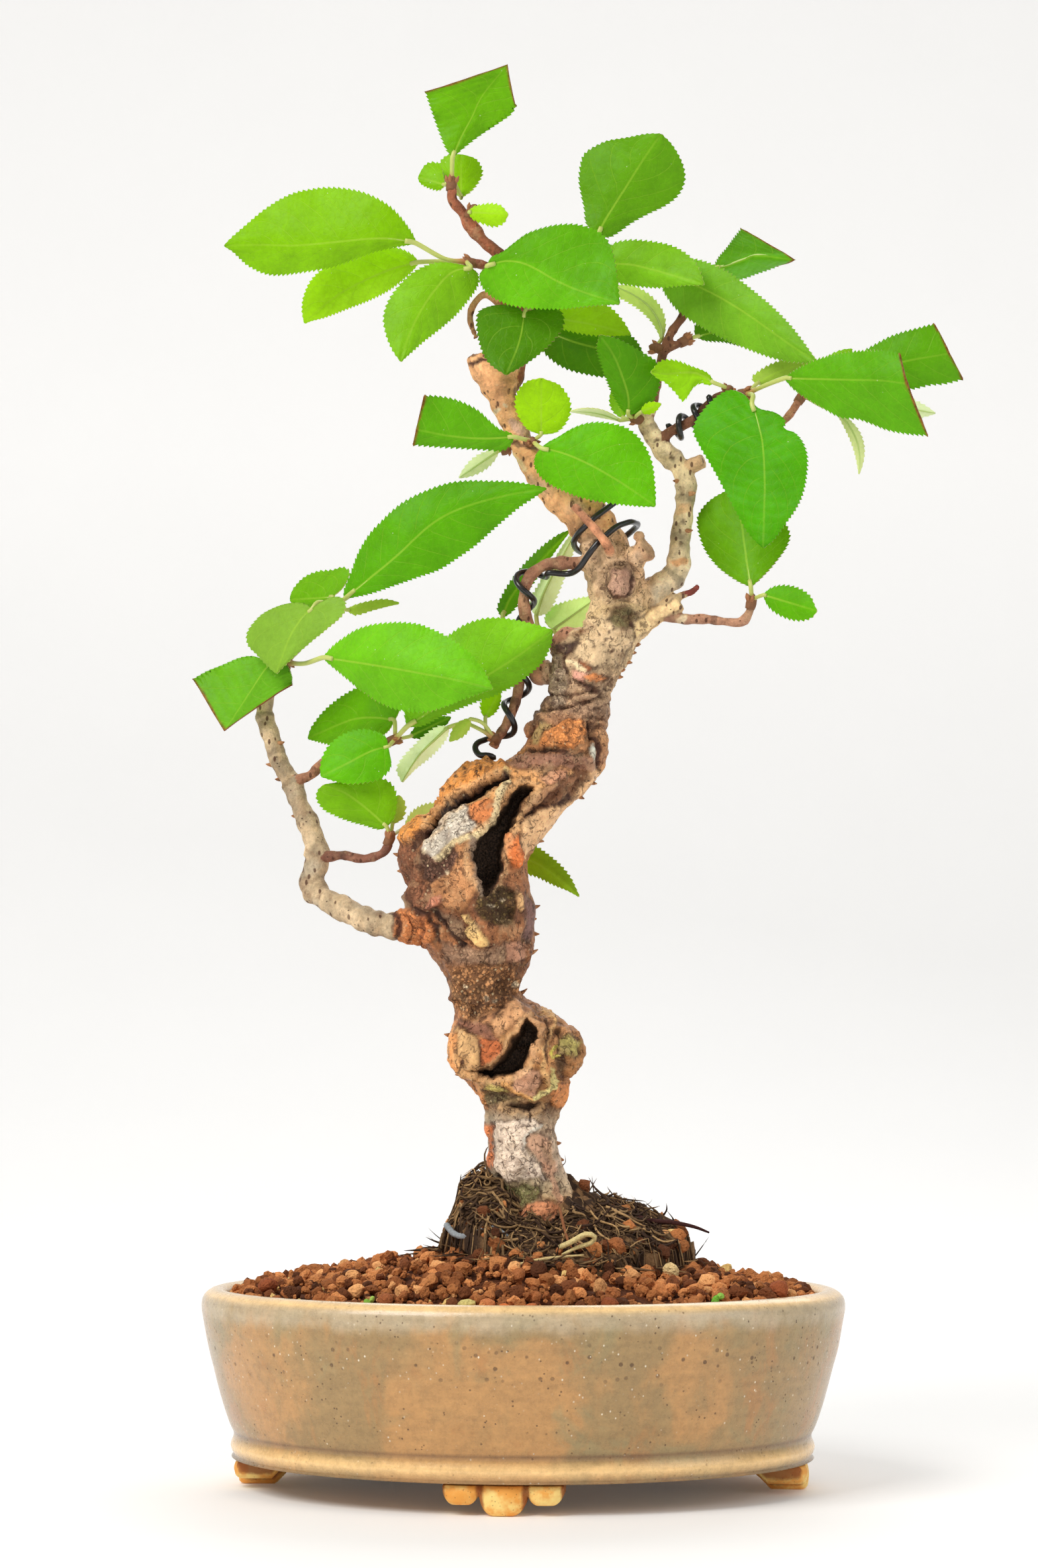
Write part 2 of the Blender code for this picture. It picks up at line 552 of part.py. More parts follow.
BRANCHES = (
    LEADER, APEX_SHOOT,
    # the spur and the bud on the apex shoot, and the twig behind the big leaves
    ((-5.0, 277.5, 0, 1.2), (-1, 277.6, -1.2, 1.0), (1.6, 277.4, -1.6, 1.0)),
    ((-5.2, 286.5, 0, 1.2), (-9, 288.2, -0.6, 1.1), (-11.6, 288.8, -0.8, 1.2)),
    ((-5.1, 283.5, 0, 1.2), (1, 286, 3, 1.1), (8, 288.5, 4.5, 1.0), (13.5, 291.5, 5, 1.0)),
    ((-5.0, 278.5, 0, 1.0), (-8.6, 281.2, -0.8, 0.9), (-11.6, 278.6, -1.2, 0.8),
     (-12.4, 274.9, -1.2, 0.8), (-10.9, 270.4, -1.0, 0.7)),
    # the left branch, its nub, and its two side twigs
    ((-18, 130, -1, 4.8), (-24, 130, -1.5, 4.2), (-33, 130.2, -2, 3.2), (-40, 133, -2, 2.9),
     (-47, 136.5, -1.5, 2.9), (-49.5, 140.2, -1, 3.2), (-48.2, 146, -0.5, 2.9), (-49.5, 151.5, 0, 2.7),
     (-52.5, 158.5, 0.5, 2.5), (-54.5, 164, 1, 2.6), (-57, 168, 1, 2.3), (-59, 174, 1, 2.3),
     (-61, 180.5, 1, 2.2), (-59.5, 187, 1, 1.8), (-55.5, 194, 1, 1.6), (-49, 200.5, 1, 1.3),
     (-45, 204.8, 0.5, 1.2)),
    ((-23, 133, -2, 2.4), (-27, 137.6, -2, 1.6)),
    ((-48, 146, -1, 1.4), (-42.5, 146.6, -1.5, 1.2), (-37.5, 145.8, -1.5, 1.1), (-33, 147, -1, 1.0),
     (-31.4, 149.4, -1, 1.0)),
    ((-55, 164, 0, 1.4), (-50, 165.6, 0.5, 1.2), (-47.2, 168.5, 1.5, 1.1), (-41, 171, 1.5, 1.0),
     (-35, 172.2, 0.5, 1.0), (-31.2, 173.2, 0, 1.0)),
    # the wired branch that hangs down on the left
    HANGING_BRANCH,
    # the right branch, its stub, the twig that rises and the one that runs out to the right
    ((24, 204, 1, 4.0), (28.5, 207.5, 1, 3.6), (32.5, 210.6, 1, 3.0), (36.3, 213.6, 1, 2.9),
     (37.3, 217.5, 1, 3.0), (37.8, 223, 1.5, 2.5), (38.8, 230, 2, 2.4), (39, 235.5, 2, 2.7),
     (37.5, 239.5, 2, 2.4), (34, 243, 1.5, 2.6), (31, 247, 1, 2.2), (29.5, 250.5, 1, 2.0),
     (30.6, 253.6, 1, 1.7)),
    ((38, 238.6, 2, 1.8), (43.2, 240.8, 1, 1.7)),
    ((30.2, 252, 1, 1.5), (31.4, 256, 2, 1.3), (33, 264, 4, 1.2), (35.3, 271, 6, 1.1),
     (38.6, 276, 8, 1.1), (40, 280.5, 9, 1.0)),
    ((34.4, 267.5, 5, 1.0), (38.4, 269.6, 7, 0.9)),
    RIGHT_TWIG,
    ((50.5, 256.8, -1, 1.0), (55.2, 252.2, 1.5, 0.95), (60.2, 249.2, 3, 0.9), (63.6, 251.6, 3, 0.9),
     (66.2, 255.4, 3, 0.9)),
    # the low right branch, cut short, with a dead tip and a live twig
    ((21, 196, 1, 3.6), (27, 200.6, 0, 2.7), (32, 203.8, 0, 2.3), (37.2, 207, 0, 2.2)),
    ((35.4, 206.5, 0, 1.0), (38.2, 208.6, -0.5, 0.8), (40.2, 209.2, -0.5, 0.8), (42, 210.8, -0.5, 0.7)),
    ((32, 204, 0, 1.6), (38, 202.8, 0, 1.25), (43.5, 202.8, 0, 1.15), (48, 202.2, 0, 1.1),
     (52, 202, 0, 1.15), (53.8, 204, 0, 1.1), (54.6, 206, 0, 1.0)),
    # the cut stub and the thin twig in front of the leader
    ((23.5, 213, -3, 3.4), (27.2, 217.6, -6, 2.7), (30, 219.8, -8, 2.6)),
    ((21.4, 217.6, -4.5, 1.6), (20.4, 220.2, -9.6, 1.2), (18.2, 223.4, -11.4, 1.1),
     (12.4, 230, -9.6, 1.0)),
)

# Swellings: (x, z, depth, radius).
BURLS = ((8, 100.5, -3, 6.6), (-9, 101, -3.5, 8.2), (23, 211.4, -2.5, 5.0), (11.5, 196, -2.0, 4.8),
         (-17, 160, 0, 4.0), (-21, 136, -4, 7.0), (12.5, 172.5, -1, 8.0), (4.5, 190, 1, 3.2),
         (2.6, 176.5, 0, 2.2), (-1, 74.6, -7.2, 1.7), (1.7, 69.8, -7.4, 1.3), (34.1, 243.5, -0.6, 1.6),
         (0.6, 180.9, 1, 1.5), (28, 222.6, -6.4, 1.3))

# Hollows and seams on the front: path in (x, z), half width, depth.
HOLLOWS = (
    (((2.2, 162.6), (-2.6, 157.2), (-6.4, 151.0), (-7.8, 145.5), (-7.4, 140.8)), 3.0, 9.0),
    (((2.6, 105.6), (0.2, 100.8), (-4.6, 97.2), (-10.6, 95.2)), 2.6, 8.5),
    (((-3.6, 165.6), (-12.0, 160.0), (-21.8, 151.4)), 1.2, 3.0),
    (((-4.6, 88.3), (4.6, 88.0)), 1.0, 1.8),
    (((-20.5, 131.5), (-16.0, 127.6)), 1.5, 2.6),
    (((7.0, 178.8), (18.0, 179.6)), 0.9, 1.3),
    (((4.0, 166.5), (14.5, 168.5)), 1.3, 1.2),
)


def section_ring(section, sides):
    """One level ring of the trunk: an oval between its edges, fluted in front and behind."""
    height, left, right, middle, half_depth = section
    centre, half = (left + right) / 2, (right - left) / 2
    ring = []
    for k in range(sides):
        angle = 2 * math.pi * k / sides
        flute = math.sin(angle) ** 2 * (0.07 * math.sin(3 * angle + height * 0.09)
                                        + 0.05 * math.sin(5 * angle - height * 0.13))
        x = centre + half * math.cos(angle)
        y = middle + half_depth * math.sin(angle) * (1.0 + flute)
        ring.append(Vector((x, y, height)) * MM)
    return ring


def build_trunk_loft():
    """The main trunk: a loft through level rings."""
    sides = 28
    rings = [section_ring(section, sides) for section in TRUNK_SECTIONS]
    vertices = [v for ring in rings for v in ring]
    faces = []
    for i in range(len(rings) - 1):
        for k in range(sides):
            a, b = i * sides + k, i * sides + (k + 1) % sides
            faces += [(a, b, b + sides, a + sides)]
    faces.append(tuple(reversed(range(sides))))
    faces.append(tuple((len(rings) - 1) * sides + k for k in range(sides)))
    loft = mesh_object("trunk_loft", vertices, faces)
    face_outwards(loft.data)
    return loft


def path_distance(x, z, path):
    """Distance in the front view from each point to a path of straight runs."""
    best = np.full(len(x), 1e9)
    for (ax, az), (bx, bz) in zip(path[:-1], path[1:]):
        run = (bx - ax) ** 2 + (bz - az) ** 2
        t = np.clip(((x - ax) * (bx - ax) + (z - az) * (bz - az)) / run, 0.0, 1.0)
        best = np.minimum(best, np.hypot(x - ax - t * (bx - ax), z - az - t * (bz - az)))
    return best


def carve_hollows(mesh):
    """Push the trunk's front skin back along each hollow, and raise a lip round it."""
    count = len(mesh.vertices)
    points = np.empty(count * 3)
    mesh.vertices.foreach_get("co", points)
    points = points.reshape(-1, 3) / MM
    spread = (VIEW_BACK + points[:, 1]) / VIEW_BACK
    seen_x = points[:, 0] / spread
    seen_z = VIEW_HEIGHT + (points[:, 2] - VIEW_HEIGHT) / spread
    middle = np.interp(points[:, 2], [s[0] for s in TRUNK_SECTIONS], [s[3] for s in TRUNK_SECTIONS])
    front = np.clip((middle - points[:, 1]) / 4.0, 0.0, 1.0)
    for path, half_width, depth in HOLLOWS:
        gap = path_distance(seen_x, seen_z, path)
        pit = np.exp(-(gap / half_width) ** 4) * depth
        lip = 0.09 * depth * np.exp(-((gap - 1.7 * half_width) / (0.55 * half_width)) ** 2)
        points[:, 1] += (pit - lip) * front
    mesh.vertices.foreach_set("co", (points * MM).ravel())
    mesh.update()


def keep_largest_body(mesh):
    """Drop the scraps that thinning can leave beside the main body."""
    work = bmesh.new()
    work.from_mesh(mesh)
    unseen = set(work.verts)
    bodies = []
    while unseen:
        body, front = [], [unseen.pop()]
        while front:
            vertex = front.pop()
            body.append(vertex)
            for edge in vertex.link_edges:
                other = edge.other_vert(vertex)
                if other in unseen:
                    unseen.remove(other)
                    front.append(other)
        bodies.append(body)
    bodies.sort(key=len)
    for body in bodies[:-1]:
        bmesh.ops.delete(work, geom=body, context="VERTS")
    work.to_mesh(mesh)
    work.free()


def build_wood():
    """Trunk, branches and twigs as one grown skin, with its hollows, kept to a few thousand faces."""
    pieces = [build_trunk_loft()]
    for number, branch in enumerate(BRANCHES):
        points = [from_view(x, z, depth) for x, z, depth, _ in branch]
        bar = tube(f"branch_{number}", points, [r * MM for *_, r in branch], 3, 2.0 * MM)
        pieces.append(settle(bar, WELD))
    for x, z, depth, radius in BURLS:
        work = bmesh.new()
        bmesh.ops.create_icosphere(work, subdivisions=3, radius=radius * MM,
                                   matrix=Matrix.Translation(from_view(x, z, depth)))
        mesh = bpy.data.meshes.new("burl")
        work.to_mesh(mesh)
        work.free()
        pieces.append(add_object("burl", mesh))
    work = bmesh.new()
    for piece in pieces:
        work.from_mesh(piece.data)
        bpy.data.objects.remove(piece)
    mesh = bpy.data.meshes.new("trunk")
    work.to_mesh(mesh)
    work.free()
    wood = add_object("trunk", mesh)
    skin = wood.modifiers.new("skin", "REMESH")
    skin.mode = "VOXEL"
    skin.voxel_size = WOOD_VOXEL * MM
    soften = wood.modifiers.new("soften", "SMOOTH")
    soften.factor = 0.5
    soften.iterations = 3
    wood = settle(wood)
    carve_hollows(wood.data)
    thin = wood.modifiers.new("thin", "DECIMATE")
    thin.ratio = WOOD_FACES / (2.0 * len(wood.data.polygons))
    thin.use_collapse_triangulate = True
    wood = settle(wood)
    keep_largest_body(wood.data)
    wood.name = "trunk"
    wood.data.materials.append(material(BARK))
    wood.data.shade_smooth()
    return wood


# The leaves

Leaf = namedtuple("Leaf", "base tip near far left right rib cut bow arch lean_left lean_right stalk")


def leaf(base, tip, near, far, left, right, rib=(), cut=False, bow=0.0, arch=1.5, lean=(18.0, 18.0),
         stalk=()):
    """A blade's figures, all as the front view shows them.

    base, tip: the ends of its midrib. near, far: their depths. left, right: its edges, looking from
    base to tip, each as (x, z) points or as its greatest half width. rib: points of the midrib.
    cut: whether it was trimmed, from the last point of each edge to the tip. bow: sideways bend of
    the midrib. arch: its bend in depth. lean: how steeply each half slopes away from the midrib, in
    degrees. stalk: points (x, z, depth) of its petiole.
    """
    return Leaf(base, tip, near, far, left, right, rib, cut, bow, arch, *lean, stalk)


def place_on(points, share):
    """The place at a share of the length of a path of (x, z) points."""
    points = np.array(points, float)
    run = np.concatenate(([0.0], np.cumsum(np.linalg.norm(np.diff(points, axis=0), axis=1))))
    return np.array([np.interp(share * run[-1], run, points[:, k]) for k in (0, 1)])


def blade_half(spec, share, side):
    """The way from a blade's midrib to its edge at `share` of its length, in the front view."""
    edge = spec.left if side > 0 else spec.right
    if isinstance(edge, tuple):
        outline = (spec.base, *edge) if spec.cut else (spec.base, *edge, spec.tip)
        rib = (spec.base, *spec.rib, spec.tip)
        within = min(max(share, 0.06), 1.0 if spec.cut else 0.94)
        outward = place_on(outline, within) - place_on(rib, within)
        return (place_on(outline, share) - place_on(rib, share)
                + outward * EDGE_MARGIN / max(np.linalg.norm(outward), 0.1))
    axis = np.array(spec.tip, float) - np.array(spec.base, float)
    across = np.array((-axis[1], axis[0])) / np.linalg.norm(axis)
    shape = max(math.sin(math.pi * min(1.0, max(share, 0.004)) ** OVAL_POWER), 0.0) ** 0.72
    return across * math.copysign(edge * max(shape, 0.045), side)


def blade_point(spec, share, side):
    """The point of a blade at `share` of its length and `side` from -1, right edge, to 1, left."""
    axis = np.array(spec.tip, float) - np.array(spec.base, float)
    across = np.array((-axis[1], axis[0])) / np.linalg.norm(axis)
    half = blade_half(spec, share, side) * abs(side)
    seen = (place_on((spec.base, *spec.rib, spec.tip), share)
            + across * (spec.bow * 4 * share * (1 - share)) + half)
    lean = spec.lean_left if side > 0 else spec.lean_right
    depth = (spec.near + LEAF_TILT * (spec.far - spec.near) * share + spec.arch * 4 * share * (1 - share)
             + np.linalg.norm(half) * math.tan(math.radians(lean)))
    return from_view(seen[0], seen[1], depth)


def stalk_rows(spec, hub):
    """Rows of three points for the petiole: a narrow strip from the hub to the blade's base."""
    base, beyond = blade_point(spec, 0.0, 0.0), blade_point(spec, 0.2, 0.0)
    across = blade_point(spec, 0.2, 1.0) - blade_point(spec, 0.2, -1.0)
    through = [hub] + [from_view(*p) for p in spec.stalk] + [base, beyond]
    spacing = max(STALK_STEP, (base - hub).length / MM / 3) * MM
    points, _ = smooth_path(through, [1.0] * len(through), spacing)
    points = [Vector(p) for p in points]
    points = [p for p in points[1:] if (p - base).dot(beyond - base) < 0.0
              and (p - base).length > STALK_END * MM]
    points = [hub + ((points + [base])[0] - hub).normalized() * STALK_START * MM] + points
    rows = []
    after, sideways = base, across.normalized()
    for point in reversed(points):
        along = (after - point).normalized()
        sideways = (sideways - along * sideways.dot(along)).normalized()
        half = sideways * PETIOLE_RADIUS * MM
        rows.insert(0, (point - half, point, point + half))
        after = point
    return rows


def build_leaf(spec, hub):
    """A leaf: its petiole and its toothed blade in one strip, split alike on both faces."""
    length = math.dist(spec.base, spec.tip)
    teeth = 6 if length < 16 else 8 if length < 28 else 10 if length < 40 else 12
    sides = (-1.0, 0.0, 1.0)
    rows = stalk_rows(spec, hub)
    stalk_count = len(rows)
    for i in range(teeth + 1):
        row = []
        for side in sides:
            reach = 1.0 if i % 2 or not side or i in (0, teeth) else 0.91
            slip = 0.25 / teeth if i % 2 and i < teeth and side else 0.0
            row.append(blade_point(spec, min(1.0, i / teeth + slip), side * reach))
        rows.append(row)
    middle = [Vector(p) for row in rows for p in row]
    columns = len(sides)
    cells = []
    for i in range(len(rows) - 1):
        for k in range(columns - 1):
            a = i * columns + k
            cells += [(a, a + 1, a + columns + 1), (a, a + columns + 1, a + columns)]
    lift = []
    for i, (right, rib, left) in enumerate(rows):
        before, after = rows[max(i - 1, 0)][1], rows[min(i + 1, len(rows) - 1)][1]
        through = (Vector(after) - Vector(before)).cross(Vector(left) - Vector(right)).normalized()
        rib_thickness = PETIOLE_THICKNESS if i < stalk_count else BLADE_THICKNESS
        for thickness in (BLADE_THICKNESS, rib_thickness, BLADE_THICKNESS):
            lift.append(through * (thickness / 2 * MM))
    count = len(middle)
    vertices = [p + n for p, n in zip(middle, lift)] + [p - n for p, n in zip(middle, lift)]
    faces = cells + [(c + count, b + count, a + count) for a, b, c in cells]
    edges = {}
    for a, b, c in cells:
        for pair in ((a, b), (b, c), (c, a)):
            key = tuple(sorted(pair))
            edges[key] = None if key in edges else pair
    for pair in edges.values():
        if pair:
            a, b = pair
            faces += [(b, a, a + count), (b, a + count, b + count)]
    blade = mesh_object("leaf", vertices, faces)
    face_outwards(blade.data, False)
    return blade


def is_inside(wood_tree, point):
    """Whether a point lies in the wood: an upward ray then leaves it an odd number of times."""
    crossings, start = 0, point.copy()
    while True:
        spot, _, _, _ = wood_tree.ray_cast(start, Vector((0.0, 0.0, 1.0)))
        if spot is None:
            return crossings % 2 == 1
        crossings += 1
        start = spot + Vector((0.0, 0.0, 0.01 * MM))


def stand_off(wood_tree, place, reach):
    """The place `reach` outside the wood on the line from its nearest point through `place`."""
    spot, normal, _, gap = wood_tree.find_nearest(place)
    if gap < 0.01 * MM:
        return spot + normal * reach
    direction = (place - spot).normalized()
    return spot + (-direction if is_inside(wood_tree, place) else direction) * reach


def build_spray(name, hub, leaves, wood_tree):
    """A spray: its leaves and stalks joined at one hub, which sits on the wood."""
    centre = stand_off(wood_tree, from_view(*hub), (HUB_RADIUS + SEAT_GAP) * MM)
    work = bmesh.new()
    bmesh.ops.create_uvsphere(work, u_segments=6, v_segments=4, radius=HUB_RADIUS * MM,
                              matrix=Matrix.Translation(centre))
    mesh = bpy.data.meshes.new(name)
    work.to_mesh(mesh)
    work.free()
    base = add_object(name, mesh)
    spray = join_all(base, [build_leaf(spec, centre) for spec in leaves], name, LEAF)
    spray.data.shade_smooth()
    spray.data.set_sharp_from_angle(angle=math.radians(30))
    return spray


SPRAYS = {
    # name: (hub, leaves)
    "spray_apex": ((-16.8, 309.4, 0), (
        leaf((-16.7, 314.6), (-3.5, 337.4), -1, -3.4,
             ((-18.2, 317.6), (-20.0, 322.4), (-21.6, 327.0), (-22.8, 330.8)),
             ((-14.4, 317.0), (-10.4, 320.2), (-6.0, 323.2), (-3.0, 325.4), (-1.7, 327.6)),
             rib=((-14.6, 319.6), (-12.0, 324.6), (-9.4, 330.0)), cut=True, lean=(10, 16)),
        leaf((-14.6, 304.8), (-14.6, 315.3), 3.5, 6,
             ((-16.4, 306.6), (-18.8, 310.0), (-19.4, 312.8), (-17.6, 314.9)),
             ((-12.4, 306.6), (-10.5, 309.2), (-10.0, 311.3), (-11.4, 314.0)), arch=0.8,
             stalk=((-16.0, 308.0, 3.0),)),
        leaf((-18.6, 307.9), (-24.9, 309.8), 2.4, 4.0,
             ((-19.9, 306.9), (-22.6, 307.6), (-24.3, 308.6)),
             ((-19.6, 312.0), (-21.2, 312.9), (-23.2, 312.3)), arch=0.5))),
    "spray_apex_side": ((-12.4, 301.0, -1), (
        leaf((-12.7, 301.2), (-3.5, 300.7), -3.5, -6,
             ((-11.6, 302.2), (-9.4, 302.6), (-7.4, 302.8), (-5.0, 302.3)),
             ((-11.8, 299.9), (-9.2, 298.8), (-6.6, 298.1), (-4.4, 299.0)), arch=0.3),)),
    "spray_left_high": ((-13.8, 289.2, -1), (
        leaf((-25.4, 293.6), (-71.4, 293.0), -4, -9,
             ((-29.0, 293.2), (-34.0, 292.3), (-40.0, 290.2), (-46.0, 288.1), (-52.0, 287.1),
              (-58.0, 286.3), (-62.0, 286.8), (-66.0, 288.9), (-69.0, 291.7)),
             ((-26.4, 295.4), (-28.6, 298.6), (-31.0, 301.4), (-34.0, 303.6), (-37.6, 305.3),
              (-41.0, 306.2), (-46.0, 306.7), (-51.0, 306.2), (-55.6, 305.0), (-60.0, 302.6),
              (-63.6, 299.8), (-67.0, 296.8)),
             rib=((-31.0, 294.7), (-37.0, 294.7), (-44.0, 294.0), (-54.0, 293.1), (-63.0, 293.2)),
             arch=-2, lean=(26, 10), stalk=((-18.5, 289.8, -2.4),)),
        leaf((-24.8, 289.0), (-52.1, 274.2), 1, 4,
             ((-26.0, 287.6), (-28.6, 285.2), (-32.0, 282.6), (-37.0, 280.0), (-42.0, 278.0),
              (-47.0, 276.0), (-50.4, 274.9)),
             ((-26.4, 290.5), (-29.4, 291.9), (-33.0, 292.3), (-37.0, 291.8), (-42.0, 290.3),
              (-46.0, 288.0), (-49.6, 285.0), (-51.5, 281.6), (-52.3, 277.8)),
             rib=((-31.0, 287.4), (-38.0, 284.4), (-45.0, 280.4)), arch=1, lean=(16, 14),
             stalk=((-19.0, 289.2, 0.4),)),
        leaf((-12.2, 287.6), (-29.0, 264.9), -5, -8,
             ((-11.8, 285.4), (-12.2, 283.0), (-13.8, 280.0), (-16.4, 276.6), (-20.0, 273.0),
              (-24.0, 269.8), (-27.0, 267.0)),
             ((-15.0, 288.3), (-18.6, 288.6), (-22.0, 288.1), (-26.0, 286.0), (-29.4, 282.6),
              (-31.8, 278.8), (-32.7, 275.0), (-32.0, 271.0), (-30.6, 267.6)),
             rib=((-16.6, 286.6), (-20.4, 282.8), (-24.2, 277.2), (-27.2, 270.8)), lean=(14, 12),
             stalk=((-13.0, 288.7, -3.2),)))),
    "spray_crown_front": ((-7.6, 286.6, -2.5), (
        leaf((-8.4, 288.0), (23.3, 278.9), -8, -11,
             ((-7.4, 289.9), (-5.0, 291.0), (-2.4, 293.0), (0.6, 295.2), (4.0, 296.6), (8.0, 297.6),
              (12.0, 297.8), (15.4, 297.2), (18.2, 296.0), (20.2, 294.0), (21.5, 291.0), (22.3, 287.0),
              (22.7, 283.0)),
             ((-9.8, 286.4), (-9.6, 284.0), (-7.8, 281.6), (-4.0, 279.4), (0.0, 278.4), (5.0, 278.0),
              (10.0, 278.0), (14.0, 278.4), (18.0, 278.8)),
             rib=((-4.0, 289.2), (0.0, 288.8), (4.0, 287.0), (8.0, 284.6), (14.0, 282.0)),
             lean=(12, 4)),)),
    "spray_crown_right": ((15.2, 292.6, 5), (
        leaf((18.2, 296.0), (33.4, 320.3), 4, 2,
             ((15.9, 298.2), (15.4, 301.8), (14.7, 305.0), (14.1, 309.0), (14.6, 313.0), (15.5, 315.2),
              (18.0, 317.0), (21.0, 318.4), (26.0, 319.3), (30.0, 320.1)),
             ((20.4, 295.3), (22.8, 296.5), (26.0, 298.8), (30.0, 301.0), (34.0, 303.0), (37.0, 305.4),
              (38.6, 308.6), (38.6, 311.6), (37.6, 314.6), (35.7, 317.8)),
             rib=((21.0, 301.0), (25.0, 307.4), (29.0, 313.8)), lean=(16, 10)),
        leaf((19.5, 288.6), (43.5, 283.6), 2, -1,
             ((20.8, 291.6), (22.4, 293.2), (25.6, 293.9), (29.0, 293.8), (33.0, 293.2), (36.6, 292.2),
              (40.0, 290.0), (42.0, 287.4)),
             ((20.8, 285.8), (23.0, 284.4), (28.0, 283.5), (33.0, 283.2), (38.0, 283.6)),
             rib=((26.0, 288.4), (32.0, 287.0), (38.0, 285.2)), arch=0.5))),
    "spray_crown_low": ((3.2, 277.2, -2), (
        leaf((0.5, 276.4), (-3.8, 261.7), -5, -8,
             ((2.6, 275.0), (5.8, 275.9), (8.4, 276.2), (9.5, 275.0), (9.0, 272.4), (7.0, 269.8),
              (4.6, 267.4), (1.6, 265.0), (-1.0, 263.3)),
             ((-1.0, 277.9), (-4.0, 278.5), (-7.6, 277.9), (-10.0, 276.6), (-10.4, 273.6),
              (-9.9, 270.0), (-8.8, 266.6), (-7.0, 264.0)),
             rib=((-0.1, 272.0), (-1.2, 268.0)), lean=(12, 12), arch=0.6,
             stalk=((1.4, 277.8, -4.0),)),
        leaf((6.0, 276.0), (26.0, 271.4), 0, 1.5,
             ((8.0, 277.8), (12.0, 278.2), (18.8, 278.3), (21.0, 277.5), (23.4, 275.1)),
             ((7.6, 274.2), (11.0, 272.8), (15.0, 271.9), (20.0, 271.4), (23.6, 271.4)),
             rib=((11.0, 274.9), (18.0, 273.6)), arch=0.4),
        leaf((6.6, 271.8), (29.4, 265.6), 4, 6,
             ((9.0, 273.2), (14.0, 272.9), (19.0, 272.3), (24.0, 271.5), (27.0, 269.7)),
             ((5.3, 269.8), (5.4, 267.8), (7.6, 265.4), (11.0, 263.4), (15.0, 262.3), (20.0, 261.6),
              (25.0, 262.6)),
             rib=((13.0, 269.4), (21.0, 267.4)), arch=0.8, stalk=((4.6, 274.2, 2),)))),
    "spray_right_crown": ((40.2, 282.8, 9), (
        leaf((35.8, 284.2), (70.6, 264.6), 5.5, 1,
             ((37.0, 287.4), (41.0, 289.2), (46.0, 287.8), (50.0, 285.7), (55.0, 281.8), (60.0, 277.5),
              (64.0, 273.3), (67.0, 269.4)),
             ((34.0, 283.0), (35.6, 280.0), (38.0, 277.2), (41.0, 275.0), (44.6, 272.8), (48.0, 271.0),
              (52.0, 269.2), (57.0, 267.2), (62.0, 265.6), (66.0, 265.0)),
             rib=((40.6, 283.6), (46.0, 281.2), (52.0, 277.6), (58.0, 273.4), (64.0, 269.0)),
             arch=-0.5, lean=(14, 16)),
        leaf((46.2, 287.4), (65.5, 289.5), 9, 11, ((47.6, 290.0), (50.0, 292.8), (53.0, 297.0)),
             ((48.8, 286.4), (51.8, 285.2), (56.0, 285.8), (61.4, 286.8)),
             rib=((49.6, 288.2), (53.4, 289.6), (57.0, 290.6)), cut=True, arch=0.6, lean=(15, 55)))),
    "spray_right_fork": ((40.0, 270.4, 8), (
        leaf((41.6, 270.9), (56.6, 267.8), 9, 11, ((41.6, 272.8), (42.6, 274.5), (46.0, 274.0), (50.6, 271.6)),
             ((44.0, 270.2), (48.0, 270.0), (52.0, 269.0)), rib=((48.0, 271.8),), arch=0.4),)),
    "spray_right_pale": ((32.4, 268.0, 5.5), (
        leaf((33.4, 270.2), (22.4, 283.2), 6.5, 8,
             ((32.8, 272.0), (31.2, 274.8), (28.4, 277.7), (25.2, 279.8), (22.8, 281.2)),
             ((34.0, 272.2), (33.9, 275.2), (32.6, 278.2), (30.0, 280.9), (26.4, 282.9)),
             rib=((33.4, 272.4), (32.3, 275.4), (30.0, 278.6), (26.4, 281.2)), arch=0.4, lean=(24, 24)),)),
    "spray_right_inner": ((26.9, 251.0, -1), (
        leaf((25.4, 252.0), (18.7, 271.2), -3.5, -7,
             ((23.8, 253.8), (21.9, 257.4), (20.3, 261.4), (19.0, 265.4), (18.3, 268.4)),
             ((28.2, 252.8), (31.0, 255.6), (32.4, 259.0), (32.6, 262.4), (31.6, 264.8), (28.6, 266.8),
              (25.6, 268.6), (22.0, 270.3)),
             rib=((25.4, 256.4), (24.0, 261.2), (22.0, 266.2)), arch=0.5, lean=(14, 16)),
        leaf((24.2, 251.2), (21.6, 258.2), 0.5, 1.5, 1.7, 1.7, arch=0.2),
        leaf((23.4, 250.6), (11.5, 252.8), -2.5, -4.5, 0.9, 0.9, bow=-0.8, arch=0.3, lean=(62, -62)),
        leaf((28.4, 252.6), (33.2, 254.6), -4.5, -6.0, 1.3, 1.2, arch=0.2,
             stalk=((27.4, 251.8, -3.4),)))),
    "spray_right_curl": ((49.6, 257.6, -2.6), (
        leaf((45.9, 259.7), (30.9, 262.3), -6.4, -8.4,
             ((44.6, 258.8), (42.2, 258.0), (40.0, 257.0), (38.4, 256.6), (36.6, 258.2), (34.4, 260.0),
              (32.6, 260.9)),
             ((44.0, 261.9), (40.0, 263.5), (36.6, 264.6), (33.4, 264.5)),
             rib=((42.0, 261.9), (38.0, 262.1), (34.4, 261.8)), arch=0.4, lean=(18, 24),
             stalk=((48.2, 258.8, -5.2),)),)),
    "spray_right_low": ((54.8, 257.2, -1.5), (
        leaf((54.9, 254.8), (57.4, 219.9), -9, -11,
             ((56.6, 253.4), (60.0, 252.6), (63.0, 250.6), (65.6, 247.6), (67.4, 243.6), (67.6, 239.0), (66.8, 234.0), (65.0, 229.6), (62.0, 225.2), (59.4, 221.8)),
